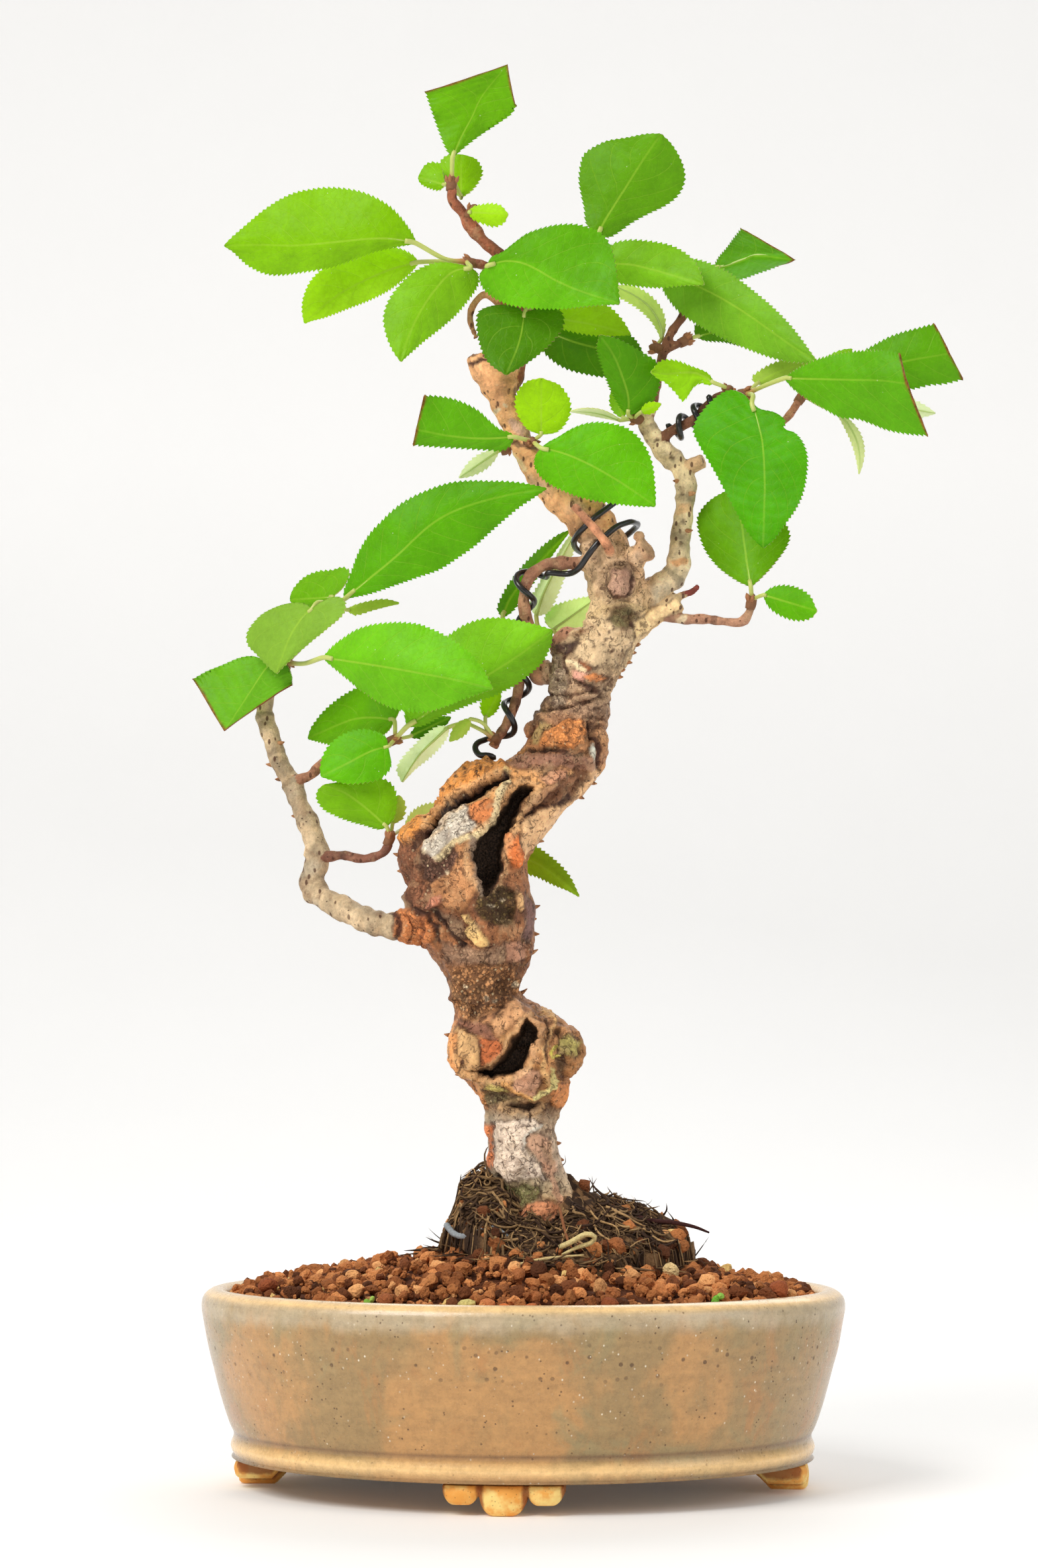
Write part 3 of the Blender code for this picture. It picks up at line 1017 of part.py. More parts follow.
             ((53.3, 256.6), (50.2, 257.7), (47.0, 256.2), (44.0, 253.2), (42.0, 250.4), (41.4, 247.6),
              (42.6, 244.8), (44.8, 241.0), (47.2, 236.6), (49.6, 232.0), (52.2, 227.0), (54.8, 222.8)),
             rib=((56.2, 250.4), (57.4, 244.6), (57.8, 236.0), (57.6, 228.0)), arch=-1.2, lean=(16, 14),
             stalk=((55.2, 256.6, -6.5),)),
        leaf((56.0, 259.4), (71.0, 264.7), 2.0, 5,
             ((55.4, 260.8), (57.8, 262.7), (61.0, 264.3), (64.6, 265.2), (68.0, 265.1)),
             ((58.8, 259.6), (62.0, 260.6), (66.0, 262.4)), rib=((61.0, 262.2), (66.0, 263.8)), arch=0.3),
        leaf((62.8, 260.8), (92.2, 259.4), -4, -8,
             ((66.0, 262.6), (70.0, 264.6), (74.0, 265.8), (79.0, 266.7), (84.0, 267.0), (88.0, 266.8),
              (90.6, 266.2)),
             ((65.0, 258.6), (68.0, 256.4), (72.0, 254.0), (76.0, 251.8), (80.0, 251.4), (83.0, 250.4),
              (87.0, 248.8), (91.6, 247.8), (96.8, 247.3)),
             rib=((70.0, 260.6), (78.0, 260.4), (86.0, 260.2)), cut=True, arch=-1.0, lean=(16, 12),
             stalk=((58.5, 259.2, -3.0),)))),
    "spray_right_tip": ((67.6, 257.4, 3.6), (
        leaf((75.0, 261.5), (102.4, 266.8), 5, 7.4,
             ((76.6, 264.0), (80.0, 266.0), (83.0, 267.6), (87.0, 269.8), (91.0, 271.4), (95.4, 272.6),
              (99.0, 273.6)),
             ((78.0, 259.8), (83.0, 258.6), (88.0, 258.4), (93.4, 258.7), (97.0, 259.5), (101.0, 259.9),
              (105.2, 261.0)),
             rib=((84.0, 263.2), (93.0, 265.2)), cut=True, arch=0.5, lean=(12, 18),
             stalk=((71, 259.5, 4.2),)),
        leaf((70.6, 262.4), (79.0, 267.9), 1.5, 2.2, 1.5, 1.5, arch=0.2, stalk=((68.6, 259.6, 2.6),)),
        leaf((76.0, 256.4), (98.7, 252.3), 3.6, 6, 2.9, 2.9, arch=0.4, stalk=((71.5, 256.6, 3.6),)),
        leaf((75.2, 252.6), (80.4, 237.6), 1.4, 1.2, 1.3, 1.3, bow=2.2, arch=0.2,
             stalk=((71.0, 254.4, 2.2),)))),
    "spray_right_hang": ((54.9, 208.6, -0.5), (
        leaf((54.4, 210.6), (50.6, 234.4), -2, 1,
             ((51.4, 212.2), (47.6, 214.9), (44.6, 218.4), (42.8, 222.6), (42.2, 226.6), (43.4, 229.4),
              (46.0, 231.8), (48.6, 233.3)),
             ((57.0, 213.2), (60.4, 217.0), (62.8, 220.6), (63.2, 223.6), (61.0, 227.6), (56.6, 231.6),
              (52.8, 233.6)),
             rib=((53.4, 217.0), (52.2, 226.0)), arch=0.5, lean=(16, 16)),
        leaf((57.4, 208.6), (69.9, 204.8), -2.5, -4,
             ((59.2, 209.8), (62.0, 210.4), (65.4, 209.8), (68.2, 208.0)),
             ((58.8, 206.2), (61.0, 204.4), (63.8, 203.2), (66.6, 202.9), (68.9, 203.6)), arch=0.4))),
    "spray_leader": ((2.6, 245.6, -4), (
        leaf((4.6, 243.9), (31.7, 229.9), -8, -11,
             ((6.4, 245.2), (8.8, 246.4), (11.4, 248.0), (14.4, 249.2), (17.6, 249.7), (21.0, 249.4),
              (24.2, 248.6), (26.8, 246.8), (28.8, 244.4), (30.2, 241.6), (31.0, 238.6), (31.4, 234.6)),
             ((3.5, 242.2), (3.3, 240.0), (4.4, 237.8), (6.6, 235.8), (9.6, 234.2), (13.0, 232.8),
              (17.0, 231.7), (21.0, 231.0), (26.0, 230.4)),
             rib=((10.0, 242.6), (16.0, 240.0), (22.0, 236.6), (28.0, 232.6)), arch=-0.8, lean=(12, 16)),
        leaf((4.6, 247.2), (4.6, 260.7), -5.5, -7,
             ((1.6, 248.6), (-0.5, 251.8), (-1.2, 255.0), (-0.4, 257.8), (1.6, 259.9)),
             ((7.8, 247.8), (9.8, 249.6), (11.1, 252.4), (11.0, 255.4), (9.8, 257.6), (8.2, 259.3)),
             arch=0.3, lean=(10, 10)),
        leaf((-1.9, 246.6), (-25.3, 248.4), -6.5, -7.4,
             ((-3.0, 244.8), (-5.0, 243.7), (-9.0, 243.9), (-15.0, 244.3), (-20.0, 244.6), (-26.0, 245.1)),
             ((-3.0, 247.4), (-4.8, 247.8), (-6.4, 248.8), (-8.4, 250.6), (-10.4, 252.4), (-13.4, 254.1),
              (-16.6, 255.3), (-20.0, 255.9), (-23.6, 256.1)),
             rib=((-9.0, 246.2), (-17.0, 246.8)), cut=True, arch=0.4, lean=(14, 12)))),
    "spray_leader_back": ((-3.6, 243.9, 1.5), (
        leaf((-5.6, 243.2), (-15.0, 236.7), 2.0, 3, 1.7, 1.8, arch=0.3),)),
    "spray_left_tip": ((-43.9, 206.3, 0), (
        leaf((-42.2, 207.6), (5.8, 234.2), -3, -7,
             ((-41.9, 209.8), (-40.4, 213.6), (-38.6, 218.4), (-35.4, 223.4), (-31.4, 227.6),
              (-27.4, 230.8), (-22.6, 233.2), (-18.0, 234.8), (-13.4, 235.5), (-8.0, 235.5), (-2.0, 235.3)),
             ((-40.0, 208.3), (-35.6, 209.4), (-30.0, 211.4), (-25.0, 213.2), (-20.0, 215.0),
              (-15.6, 217.8), (-11.6, 220.6), (-7.6, 224.2), (-4.0, 227.4), (0.0, 230.6)),
             rib=((-37.0, 211.9), (-30.0, 217.8), (-22.0, 225.2), (-15.0, 229.2), (-5.0, 232.2)),
             arch=-0.8, lean=(16, 10)),
        leaf((-49.9, 205.2), (-58.3, 189.8), -10.5, -11.3,
             ((-48.4, 203.6), (-45.8, 203.2), (-43.8, 202.8),
              (-46.2, 200.8), (-49.6, 198.0), (-52.6, 195.4), (-55.6, 192.6)),
             ((-51.3, 206.2), (-53.6, 206.6), (-57.0, 205.9), (-60.6, 204.3), (-63.4, 201.8),
              (-64.9, 199.0), (-64.5, 196.4), (-62.4, 194.2), (-60.4, 192.0)),
             rib=((-52.6, 202.6), (-55.4, 198.0)), arch=-0.5, lean=(10, 10),
             stalk=((-46.2, 206.6, -5.5), (-48.6, 206.8, -8.8))),
        leaf((-45.0, 208.2), (-55.1, 207.4), 3.2, 5,
             ((-46.4, 206.6), (-50.0, 205.8), (-53.6, 206.0)),
             ((-43.0, 210.0), (-41.6, 212.4), (-41.4, 214.1), (-43.0, 214.8), (-45.4, 214.1),
              (-48.6, 213.8), (-51.8, 212.3), (-54.2, 209.8)), arch=0.4),
        leaf((-41.6, 205.0), (-29.2, 206.6), 0.6, 2, ((-39.6, 205.9), (-36.0, 206.8), (-32.4, 207.2)),
             ((-39.4, 204.1), (-35.6, 205.1), (-32.0, 206.0)), arch=0.3))),
    "spray_left_shoulder": ((-55.6, 192.4, -1), (
        leaf((-57.4, 193.0), (-70.6, 176.1), -4.6, -7.0,
             ((-57.2, 191.0), (-55.9, 189.0), (-55.2, 186.9)),
             ((-60.2, 192.7), (-63.6, 193.7), (-67.0, 193.2), (-70.4, 191.7), (-74.0, 190.3),
              (-77.8, 188.2)),
             rib=((-60.6, 191.0), (-64.2, 185.8), (-67.8, 180.2)), cut=True, arch=-0.4, lean=(10, 12)),
        leaf((-47.2, 193.6), (-7.0, 186.2), -9.5, -15,
             ((-45.0, 195.7), (-42.0, 198.0), (-39.0, 199.8), (-35.0, 201.0), (-30.0, 201.5),
              (-25.0, 201.1), (-21.0, 199.7), (-17.0, 197.6), (-13.0, 194.6), (-10.0, 191.2)),
             ((-44.6, 191.6), (-41.6, 189.2), (-38.0, 186.2), (-34.4, 183.8), (-30.6, 182.0),
              (-26.6, 181.1), (-22.0, 181.2), (-18.0, 182.4), (-14.0, 184.0), (-10.0, 185.4)),
             rib=((-41.0, 192.7), (-34.0, 191.6), (-26.0, 190.2), (-16.0, 188.3)), arch=-1.2,
             lean=(12, 18), stalk=((-51.5, 192.2, -5.5),)))),
    "spray_left_mid": ((-29.9, 174.2, 0), (
        leaf((-27.2, 177.2), (7.2, 200.1), -5, -7,
             ((-27.4, 181.0), (-25.4, 186.6), (-22.0, 192.4), (-18.4, 197.2), (-15.0, 200.0),
              (-12.0, 201.6), (-8.0, 202.6), (-3.6, 202.5), (0.6, 201.8)),
             ((-24.0, 177.6), (-20.0, 179.6), (-15.0, 181.8), (-10.0, 183.8), (-6.0, 185.3),
              (-1.6, 187.6), (2.0, 190.4), (4.8, 193.2), (6.5, 196.8)),
             rib=((-20.0, 182.0), (-14.0, 186.0), (-8.0, 189.5), (-2.0, 193.3), (3.0, 196.9)),
             arch=-1.0, lean=(10, 30)),
        leaf((-30.2, 178.6), (-50.7, 174.3), 2.5, 5,
             ((-32.0, 176.2), (-35.0, 174.4), (-39.0, 173.2), (-43.6, 172.9), (-47.4, 173.7)),
             ((-29.4, 181.0), (-31.4, 185.2), (-35.0, 186.8), (-38.6, 186.2), (-43.6, 183.2),
              (-47.0, 180.2), (-49.5, 176.9)),
             rib=((-35.0, 179.3), (-41.0, 178.6)), arch=0.5, lean=(14, 14)),
        leaf((-31.8, 172.4), (-47.5, 165.3), -4, -7,
             ((-31.4, 170.4), (-31.2, 168.2), (-32.2, 166.4), (-34.4, 164.8), (-38.0, 164.1),
              (-42.0, 164.0)),
             ((-32.4, 174.4), (-34.8, 175.6), (-38.0, 176.0), (-41.4, 175.2), (-44.6, 173.2),
              (-46.6, 170.4), (-47.4, 167.6)),
             rib=((-36.0, 171.2), (-41.0, 168.6)), arch=-0.3, lean=(12, 12)),
        leaf((-26.6, 174.8), (-16.8, 179.4), 4.6, 7.0, 1.7, 1.9, arch=0.3))),
    "spray_left_low": ((-30.9, 151.2, -1), (
        leaf((-32.0, 153.4), (-46.8, 163.3), -2, -4,
             ((-33.6, 153.0), (-36.6, 153.9), (-40.0, 154.8), (-43.6, 156.2), (-46.6, 157.8),
              (-48.2, 160.2), (-47.9, 162.2)),
             ((-30.6, 155.2), (-30.0, 158.4), (-30.2, 161.4), (-31.6, 163.6), (-34.2, 164.6),
              (-37.8, 163.9), (-42.0, 163.9)),
             rib=((-36.4, 157.4), (-41.6, 161.2)), arch=0.3, lean=(12, 12)),
        leaf((-30.6, 154.0), (-29.2, 160.8), 0.8, 0.6, ((-31.2, 156.0), (-30.8, 158.8)),
             ((-28.6, 155.4), (-27.9, 157.8), (-28.3, 159.8)), arch=0.2),
        leaf((-27.6, 153.2), (-17.6, 158.4), 8, 11, 2.6, 1.6, arch=0.3, stalk=((-29.6, 152.0, 3.0),)))),
    "spray_hanging": ((-6.4, 174.2, -1.6), (
        leaf((-17.4, 177.0), (-28.3, 164.0), 2, 4,
             ((-18.0, 174.8), (-20.2, 171.9), (-22.8, 169.4), (-25.4, 167.2)),
             ((-19.6, 176.9), (-22.6, 174.9), (-25.6, 172.0), (-28.0, 169.4), (-29.2, 166.8)),
             rib=((-20.4, 174.2), (-24.4, 170.2)), arch=0.3,
             stalk=((-9.8, 176.4, -2.6), (-13.6, 177.9, 0.2))),
        leaf((-12.2, 179.0), (-17.2, 173.6), -4.0, -4.0, 1.5, 1.4, arch=0.2,
             stalk=((-9.2, 177.9, -3.8),)),
        leaf((-8.7, 179.2), (-5.2, 185.8), -0.6, 0.6, 2.5, 1.5, arch=0.2, stalk=((-8.4, 176.4, -1.6),)))),
    "spray_back_upper": ((10.2, 197.0, 7.6), (
        leaf((-4.6, 203.2), (11.4, 224.0), 7, 9,
             ((-5.4, 205.6), (-3.0, 210.6), (1.0, 215.8), (5.0, 219.8), (8.6, 222.6)),
             ((-2.4, 205.0), (0.6, 209.2), (4.2, 214.2), (8.0, 219.6)),
             rib=((-2.6, 208.0), (2.8, 214.8)), arch=0.3, lean=(20, 26),
             stalk=((2.6, 197.4, 7.0), (-2.4, 199.6, 7.0))),
        leaf((3.4, 203.6), (13.3, 224.5), 9.5, 11,
             ((2.2, 206.6), (4.6, 211.4), (8.0, 217.0), (11.0, 221.8)),
             ((6.2, 205.0), (8.6, 210.0), (11.0, 216.6), (12.8, 221.6)),
             rib=((5.4, 209.6), (9.4, 217.4)), arch=0.3, lean=(26, 26), stalk=((4.6, 199.8, 8.5),)),
        leaf((7.4, 200.2), (18.6, 208.4), 10.5, 13,
             ((5.8, 202.2), (6.8, 205.0), (10.0, 206.4), (14.0, 207.5)),
             ((9.8, 198.4), (12.6, 198.9), (16.0, 202.0), (18.2, 205.4)), arch=0.3))),
    "spray_back_low": ((-7.0, 147.8, 13), (
        leaf((-3.4, 146.8), (13.4, 137.0), 13.5, 9,
             ((-1.0, 149.2), (3.0, 148.4), (6.0, 146.4), (9.0, 143.8), (11.4, 140.8)),
             ((-2.0, 144.2), (1.0, 142.7), (4.0, 141.8), (8.0, 139.8), (11.0, 138.4)),
             rib=((2.0, 145.4), (7.0, 142.4)), arch=0.4, lean=(20, 20)),)),
}


# The training wire

def winding(path, start, stop, turns, phase, clearance):
    """A helix round a branch: points that keep the wire clear of the bark all the way."""
    points, radii = smooth_path([from_view(x, z, d) for x, z, d, _ in path],
                                [r * MM for *_, r in path], 1.0 * MM)
    runs = np.concatenate([[0.0], np.cumsum(np.linalg.norm(np.diff(points, axis=0), axis=1))])
    shares = np.linspace(start, stop, int(abs(turns) * 9) + 1)
    out = []
    guide = Vector((0.0, 1.0, 0.0))
    for number, share in enumerate(shares):
        place = share * runs[-1]
        here = Vector([np.interp(place, runs, points[:, k]) for k in range(3)])
        ahead = Vector([np.interp(place + 0.4 * MM, runs, points[:, k]) for k in range(3)])
        behind = Vector([np.interp(place - 0.4 * MM, runs, points[:, k]) for k in range(3)])
        along = (ahead - behind).normalized()
        side = along.cross(guide).normalized()
        front = side.cross(along).normalized()
        reach = np.interp(place, runs, radii) + (WIRE_RADIUS + clearance) * MM
        angle = phase + 2 * math.pi * turns * number / (len(shares) - 1)
        out.append(here + side * reach * math.cos(angle) + front * reach * math.sin(angle))
    return out


def push_clear(points, wood_tree):
    """Move each point of a wire's middle line out until the wire clears the bark."""
    reach = (WIRE_RADIUS + WIRE_CLEARANCE) * MM
    points = [Vector(p) for p in points]
    for _ in range(6):
        for number, point in enumerate(points):
            if is_inside(wood_tree, point) or wood_tree.find_nearest(point)[3] < reach:
                points[number] = stand_off(wood_tree, point, reach)
    return points


def build_wire(name, points, wood_tree):
    """A length of black training wire, clear of the bark."""
    points = push_clear(points, wood_tree)
    radii = [WIRE_RADIUS * MM] * len(points)
    return tube(name, [tuple(p) for p in points], radii, 1, None, BLACK_WIRE)


ANCHOR_ROUTE = (
    # (x, z, depth): the free end, once round the leader, and down to the hanging branch
    (23.2, 231.6, -3.0), (20.0, 229.2, -5.2), (17.0, 226.9, -6.6), (14.4, 224.4, -6.0),
    (12.4, 221.6, -2.4), (13.2, 219.4, 2.4), (16.6, 218.6, 6.8), (21.5, 220.5, 7.4), (25.8, 223.6, 5.0),
    (27.6, 225.6, 1.0), (26.2, 226.2, -3.0), (22.6, 225.0, -6.0), (20.0, 222.9, -6.8),
    (17.8, 220.8, -7.2), (15.8, 218.2, -6.6), (13.4, 214.8, -4.8), (10.8, 213.6, -2.6),
)


END_CURL = ((-10.4, 173.4, 0.0), (-11.2, 172.2, -0.8), (-10.4, 170.6, -1.4), (-8.6, 169.4, -1.6),
            (-6.6, 169.0, -1.4))


def build_wires(wood_tree):
    """Two wires: one round the leader and down the hanging branch, one along the right twig."""
    hanging = HANGING_BRANCH[2:]
    coil = winding(hanging, 0.06, 0.985, 4.6, 5.6, WIRE_CLEARANCE)
    anchor, _ = smooth_path([from_view(*p) for p in ANCHOR_ROUTE], [1.0] * len(ANCHOR_ROUTE), 3.0 * MM)
    curl = [from_view(*p) for p in END_CURL]
    left = build_wire("wire_left", [Vector(p) for p in anchor] + coil + curl, wood_tree)
    right = build_wire("wire_right", winding(RIGHT_TWIG[1:], 0.03, 0.66, 2.8, 0.4,
                                             WIRE_CLEARANCE), wood_tree)
    return [left, right]


def centre_model(objects):
    """Parent every piece to one empty that puts the middle of the whole at the frame's origin."""
    bpy.context.view_layer.update()
    graph = bpy.context.evaluated_depsgraph_get()
    corners = []
    for obj in objects:
        evaluated = obj.evaluated_get(graph)
        corners += [obj.matrix_world @ Vector(corner) for corner in evaluated.bound_box]
    middle = [(min(c[k] for c in corners) + max(c[k] for c in corners)) / 2 for k in (0, 1)]
    base = bpy.data.objects.new("bonsai_base", None)
    BONSAI.objects.link(base)
    base.location = (-middle[0], -middle[1], 0.0)
    for obj in objects:
        obj.parent = base


def new_collection(name):
    """A collection linked to the scene."""
    collection = bpy.data.collections.new(name)
    bpy.context.scene.collection.children.link(collection)
    return collection


for old in list(bpy.data.objects):
    bpy.data.objects.remove(old)
BONSAI = new_collection("chinese_quince_bonsai")
CUTTERS = new_collection("cutters")

FOOT_ANGLES = {"foot_front": -math.pi / 2, "foot_back": math.pi / 2, "foot_left": math.pi,
               "foot_right": 0.0}


def main():
    """Build every piece, then stand the whole on the frame's origin."""
    pieces = [build_pot()]
    pieces += [build_foot(name, angle) for name, angle in FOOT_ANGLES.items()]
    pieces += [build_drain_screen("drain_screen_left", -1), build_drain_screen("drain_screen_right", 1)]
    pieces += [build_soil(), build_root_mound()]
    wood = build_wood()
    pieces.append(wood)
    tree = BVHTree.FromPolygons([v.co.copy() for v in wood.data.vertices],
                                [tuple(p.vertices) for p in wood.data.polygons])
    for name, (hub, leaves) in SPRAYS.items():
        pieces.append(build_spray(name, hub, leaves, tree))
    pieces += build_wires(tree)
    centre_model(pieces + list(CUTTERS.objects))


main()
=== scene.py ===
"""Looks of a Chinese quince bonsai: fine bark, leaves, soil, glazed pot, wire, light and camera.

Lengths are millimetres in the tree's design frame: the middle of the pot's footprint on the ground
is its origin, +X is to the viewer's right and +Y away from the viewer. Most points of the tree are
readings (x, z) of the front view with a depth behind the pot's middle, as in the part's source.
`View.place` turns such a reading into the real point and `View.reading` turns it back.
"""
import itertools
import logging
import math
from dataclasses import dataclass, field

import bmesh
import bpy
import numpy as np
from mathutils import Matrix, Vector
from mathutils.bvhtree import BVHTree


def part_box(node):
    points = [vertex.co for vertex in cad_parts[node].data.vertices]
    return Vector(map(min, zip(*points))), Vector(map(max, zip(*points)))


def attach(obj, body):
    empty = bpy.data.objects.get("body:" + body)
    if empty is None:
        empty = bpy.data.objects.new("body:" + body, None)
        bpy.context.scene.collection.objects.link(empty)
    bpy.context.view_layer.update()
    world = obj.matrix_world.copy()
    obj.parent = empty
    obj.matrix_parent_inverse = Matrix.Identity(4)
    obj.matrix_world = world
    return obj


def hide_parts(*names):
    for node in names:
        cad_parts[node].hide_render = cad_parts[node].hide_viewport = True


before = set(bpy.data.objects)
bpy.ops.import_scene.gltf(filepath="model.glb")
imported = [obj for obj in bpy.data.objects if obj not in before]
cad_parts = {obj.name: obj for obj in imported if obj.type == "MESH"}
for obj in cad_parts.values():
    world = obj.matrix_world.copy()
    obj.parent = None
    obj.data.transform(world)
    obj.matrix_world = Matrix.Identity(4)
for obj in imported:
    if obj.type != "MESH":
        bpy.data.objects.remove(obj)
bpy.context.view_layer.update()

LOG = logging.getLogger("bonsai")
MM = 0.001
POT_LOW, POT_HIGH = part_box("pot")
SHIFT = np.array([(POT_LOW.x + POT_HIGH.x) / 2, (POT_LOW.y + POT_HIGH.y) / 2, 0.0]) / MM
SEED = 20


def linear(red: float, green: float, blue: float) -> tuple[float, float, float]:
    """A colour given in display values from 0 to 255, in scene-linear values from 0 to 1."""
    shown = np.array((red, green, blue)) / 255.0
    return tuple(np.where(shown <= 0.04045, shown / 12.92, ((shown + 0.055) / 1.055) ** 2.4))


def ease(low: float, high: float, value: np.ndarray) -> np.ndarray:
    """A smooth step of the value from 0 at low to 1 at high; low may be the larger one."""
    share = np.clip((value - low) / (high - low), 0.0, 1.0)
    return share * share * (3.0 - 2.0 * share)


def unit(vectors: np.ndarray) -> np.ndarray:
    """Vectors along the last axis, each divided by its length."""
    return vectors / np.maximum(np.linalg.norm(vectors, axis=-1, keepdims=True), 1e-12)


# Frame of the front view

@dataclass(frozen=True)
class View:
    """The front view that the tree's readings belong to, and the crown's sweep in depth.

    back, height: how far before the pot's middle the eye stands, and how high. left_swing: how far
    back the crown's left side lies. right_swing, apex_lean: how far forward its right side and its
    apex lie.
    """
    back: float = 770.0
    height: float = 100.0
    left_swing: float = 26.0
    right_swing: float = 26.0
    apex_lean: float = 9.0

    def drift(self, x: np.ndarray, z: np.ndarray) -> np.ndarray:
        """How far back the crown lies at a reading."""
        return (self.left_swing * ease(0.0, 1.0, (-26.0 - x) / 56.0)
                - self.right_swing * ease(0.0, 1.0, (x - 34.0) / 70.0)
                - self.apex_lean * ease(0.0, 1.0, (z - 226.0) / 90.0))

    def place(self, x: np.ndarray, z: np.ndarray, depth: np.ndarray) -> np.ndarray:
        """Real points of front readings at their depths.

        Args:
            x, z: readings on the upright plane through the pot's middle.
            depth: depth behind that plane, before the crown's sweep.

        Returns:
            Points with a last axis of three.
        """
        x, z, depth = np.broadcast_arrays(*(np.asarray(v, float) for v in (x, z, depth)))
        depth = depth + self.drift(x, z)
        spread = (self.back + depth) / self.back
        return np.stack([x * spread, depth, self.height + (z - self.height) * spread], axis=-1)

    def points(self, readings: tuple) -> np.ndarray:
        """Real points of a list of (x, z, depth) readings."""
        table = np.array([reading[:3] for reading in readings], float)
        return self.place(table[:, 0], table[:, 1], table[:, 2])

    def reading(self, points: np.ndarray) -> tuple[np.ndarray, np.ndarray]:
        """The front readings (x, z) of real points."""
        spread = (self.back + points[..., 1]) / self.back
        return points[..., 0] / spread, self.height + (points[..., 2] - self.height) / spread


VIEW = View()


# Noise and curves, as whole arrays

class Noise:
    """Repeatable noise worked out on whole arrays of points."""

    @staticmethod
    def hashed(cells: np.ndarray, seed: int) -> np.ndarray:
        """Values from 0 to 1 that depend on whole-number cells: a multiply and shift hash."""
        key = (cells * np.array([73856093, 19349663, 83492791], np.int64)).sum(axis=-1)
        key = (key + seed * 2654435761) & 0xFFFFFFFF
        key = ((key ^ (key >> 15)) * 2246822519) & 0xFFFFFFFF
        key = ((key ^ (key >> 13)) * 668265263) & 0xFFFFFFFF
        return ((key ^ (key >> 16)) & 0xFFFFF) / 0xFFFFF

    @classmethod
    def value(cls, points: np.ndarray, size: float, seed: int = 0) -> np.ndarray:
        """Smooth noise from -1 to 1: hashed corners of cubes of `size`, blended between."""
        place = points / size
        cell = np.floor(place).astype(np.int64)
        part = place - cell
        part = part * part * (3.0 - 2.0 * part)
        total = np.zeros(points.shape[:-1])
        for corner in itertools.product((0, 1), repeat=3):
            weight = np.prod(np.where(np.array(corner, bool), part, 1.0 - part), axis=-1)
            total += weight * cls.hashed(cell + np.array(corner), seed)
        return total * 2.0 - 1.0

    @classmethod
    def fractal(cls, points: np.ndarray, size: float, seed: int = 0, octaves: int = 4) -> np.ndarray:
        """Sum of smooth noise at halved sizes and weights."""
        return sum(cls.value(points, size / 2 ** k, seed + k) / 2 ** k for k in range(octaves))

    @classmethod
    def cells(cls, points: np.ndarray, size: float, seed: int = 0) -> tuple[np.ndarray, np.ndarray]:
        """Distance to the nearest of scattered centres, in cell sizes, and that centre's own value."""
        place = points / size
        cell = np.floor(place).astype(np.int64)
        best = np.full(points.shape[:-1], 9.0)
        tone = np.zeros(points.shape[:-1])
        for corner in itertools.product((-1, 0, 1), repeat=3):
            near = cell + np.array(corner)
            centre = near + np.stack([cls.hashed(near, seed + k) for k in range(3)], axis=-1)
            gap = np.linalg.norm(centre - place, axis=-1)
            tone = np.where(gap < best, cls.hashed(near, seed + 3), tone)
            best = np.minimum(best, gap)
        return best, tone


def smooth_curve(points: np.ndarray, spacing: float, *values: np.ndarray) -> tuple[np.ndarray, ...]:
    """A Catmull-Rom curve through points, read at about `spacing`.

    Args:
        points: the curve's own points.
        spacing: distance between the points read from it.
        values: numbers at the given points, blended in straight runs.

    Returns:
        The points read, then each array of values at them.
    """
    ends = np.vstack([2 * points[0] - points[1], points, 2 * points[-1] - points[-2]])
    runs = np.linalg.norm(np.diff(points, axis=0), axis=1)
    steps = np.maximum(1, np.round(runs / spacing).astype(int))
    start = np.repeat(np.arange(len(steps)), steps)
    share = np.concatenate([np.arange(n) / n for n in steps])
    start, share = np.append(start, len(steps) - 1), np.append(share, 1.0)
    t = share[:, None]
    p0, p1, p2, p3 = (ends[start + k] for k in range(4))
    curve = 0.5 * (2 * p1 + (p2 - p0) * t + (2 * p0 - 5 * p1 + 4 * p2 - p3) * t * t
                   + (3 * p1 - p0 - 3 * p2 + p3) * t ** 3)
    place = start + share
    return (curve, *(np.interp(place, np.arange(len(points)), v) for v in values))


def run_length(points: np.ndarray) -> np.ndarray:
    """Distance along a path at each of its points."""
    return np.concatenate([[0.0], np.cumsum(np.linalg.norm(np.diff(points, axis=0), axis=1))])


def path_gap(x: np.ndarray, z: np.ndarray, path: tuple) -> np.ndarray:
    """Distance in the front view from each reading to a path of straight runs."""
    best = np.full(np.shape(x), 1e9)
    for (ax, az), (bx, bz) in zip(path[:-1], path[1:]):
        run = (bx - ax) ** 2 + (bz - az) ** 2
        t = np.clip(((x - ax) * (bx - ax) + (z - az) * (bz - az)) / run, 0.0, 1.0)
        best = np.minimum(best, np.hypot(x - ax - t * (bx - ax), z - az - t * (bz - az)))
    return best


def inside_gap(x: np.ndarray, z: np.ndarray, outline: tuple) -> np.ndarray:
    """How far inside a closed outline each reading lies; under 0 outside it."""
    closed = (*outline, outline[0])
    inside = np.zeros(np.shape(x), bool)
    for (ax, az), (bx, bz) in zip(closed[:-1], closed[1:]):
        if az != bz:
            inside ^= ((az > z) != (bz > z)) & (x < ax + (z - az) * (bx - ax) / (bz - az))
    gap = path_gap(x, z, closed)
    return np.where(inside, gap, -gap)


def nearby(x: np.ndarray, z: np.ndarray, path: tuple, margin: float) -> np.ndarray:
    """Which readings lie within a margin of a path's box."""
    low, high = np.min(path, axis=0) - margin, np.max(path, axis=0) + margin
    return np.flatnonzero((x > low[0]) & (x < high[0]) & (z > low[1]) & (z < high[1]))


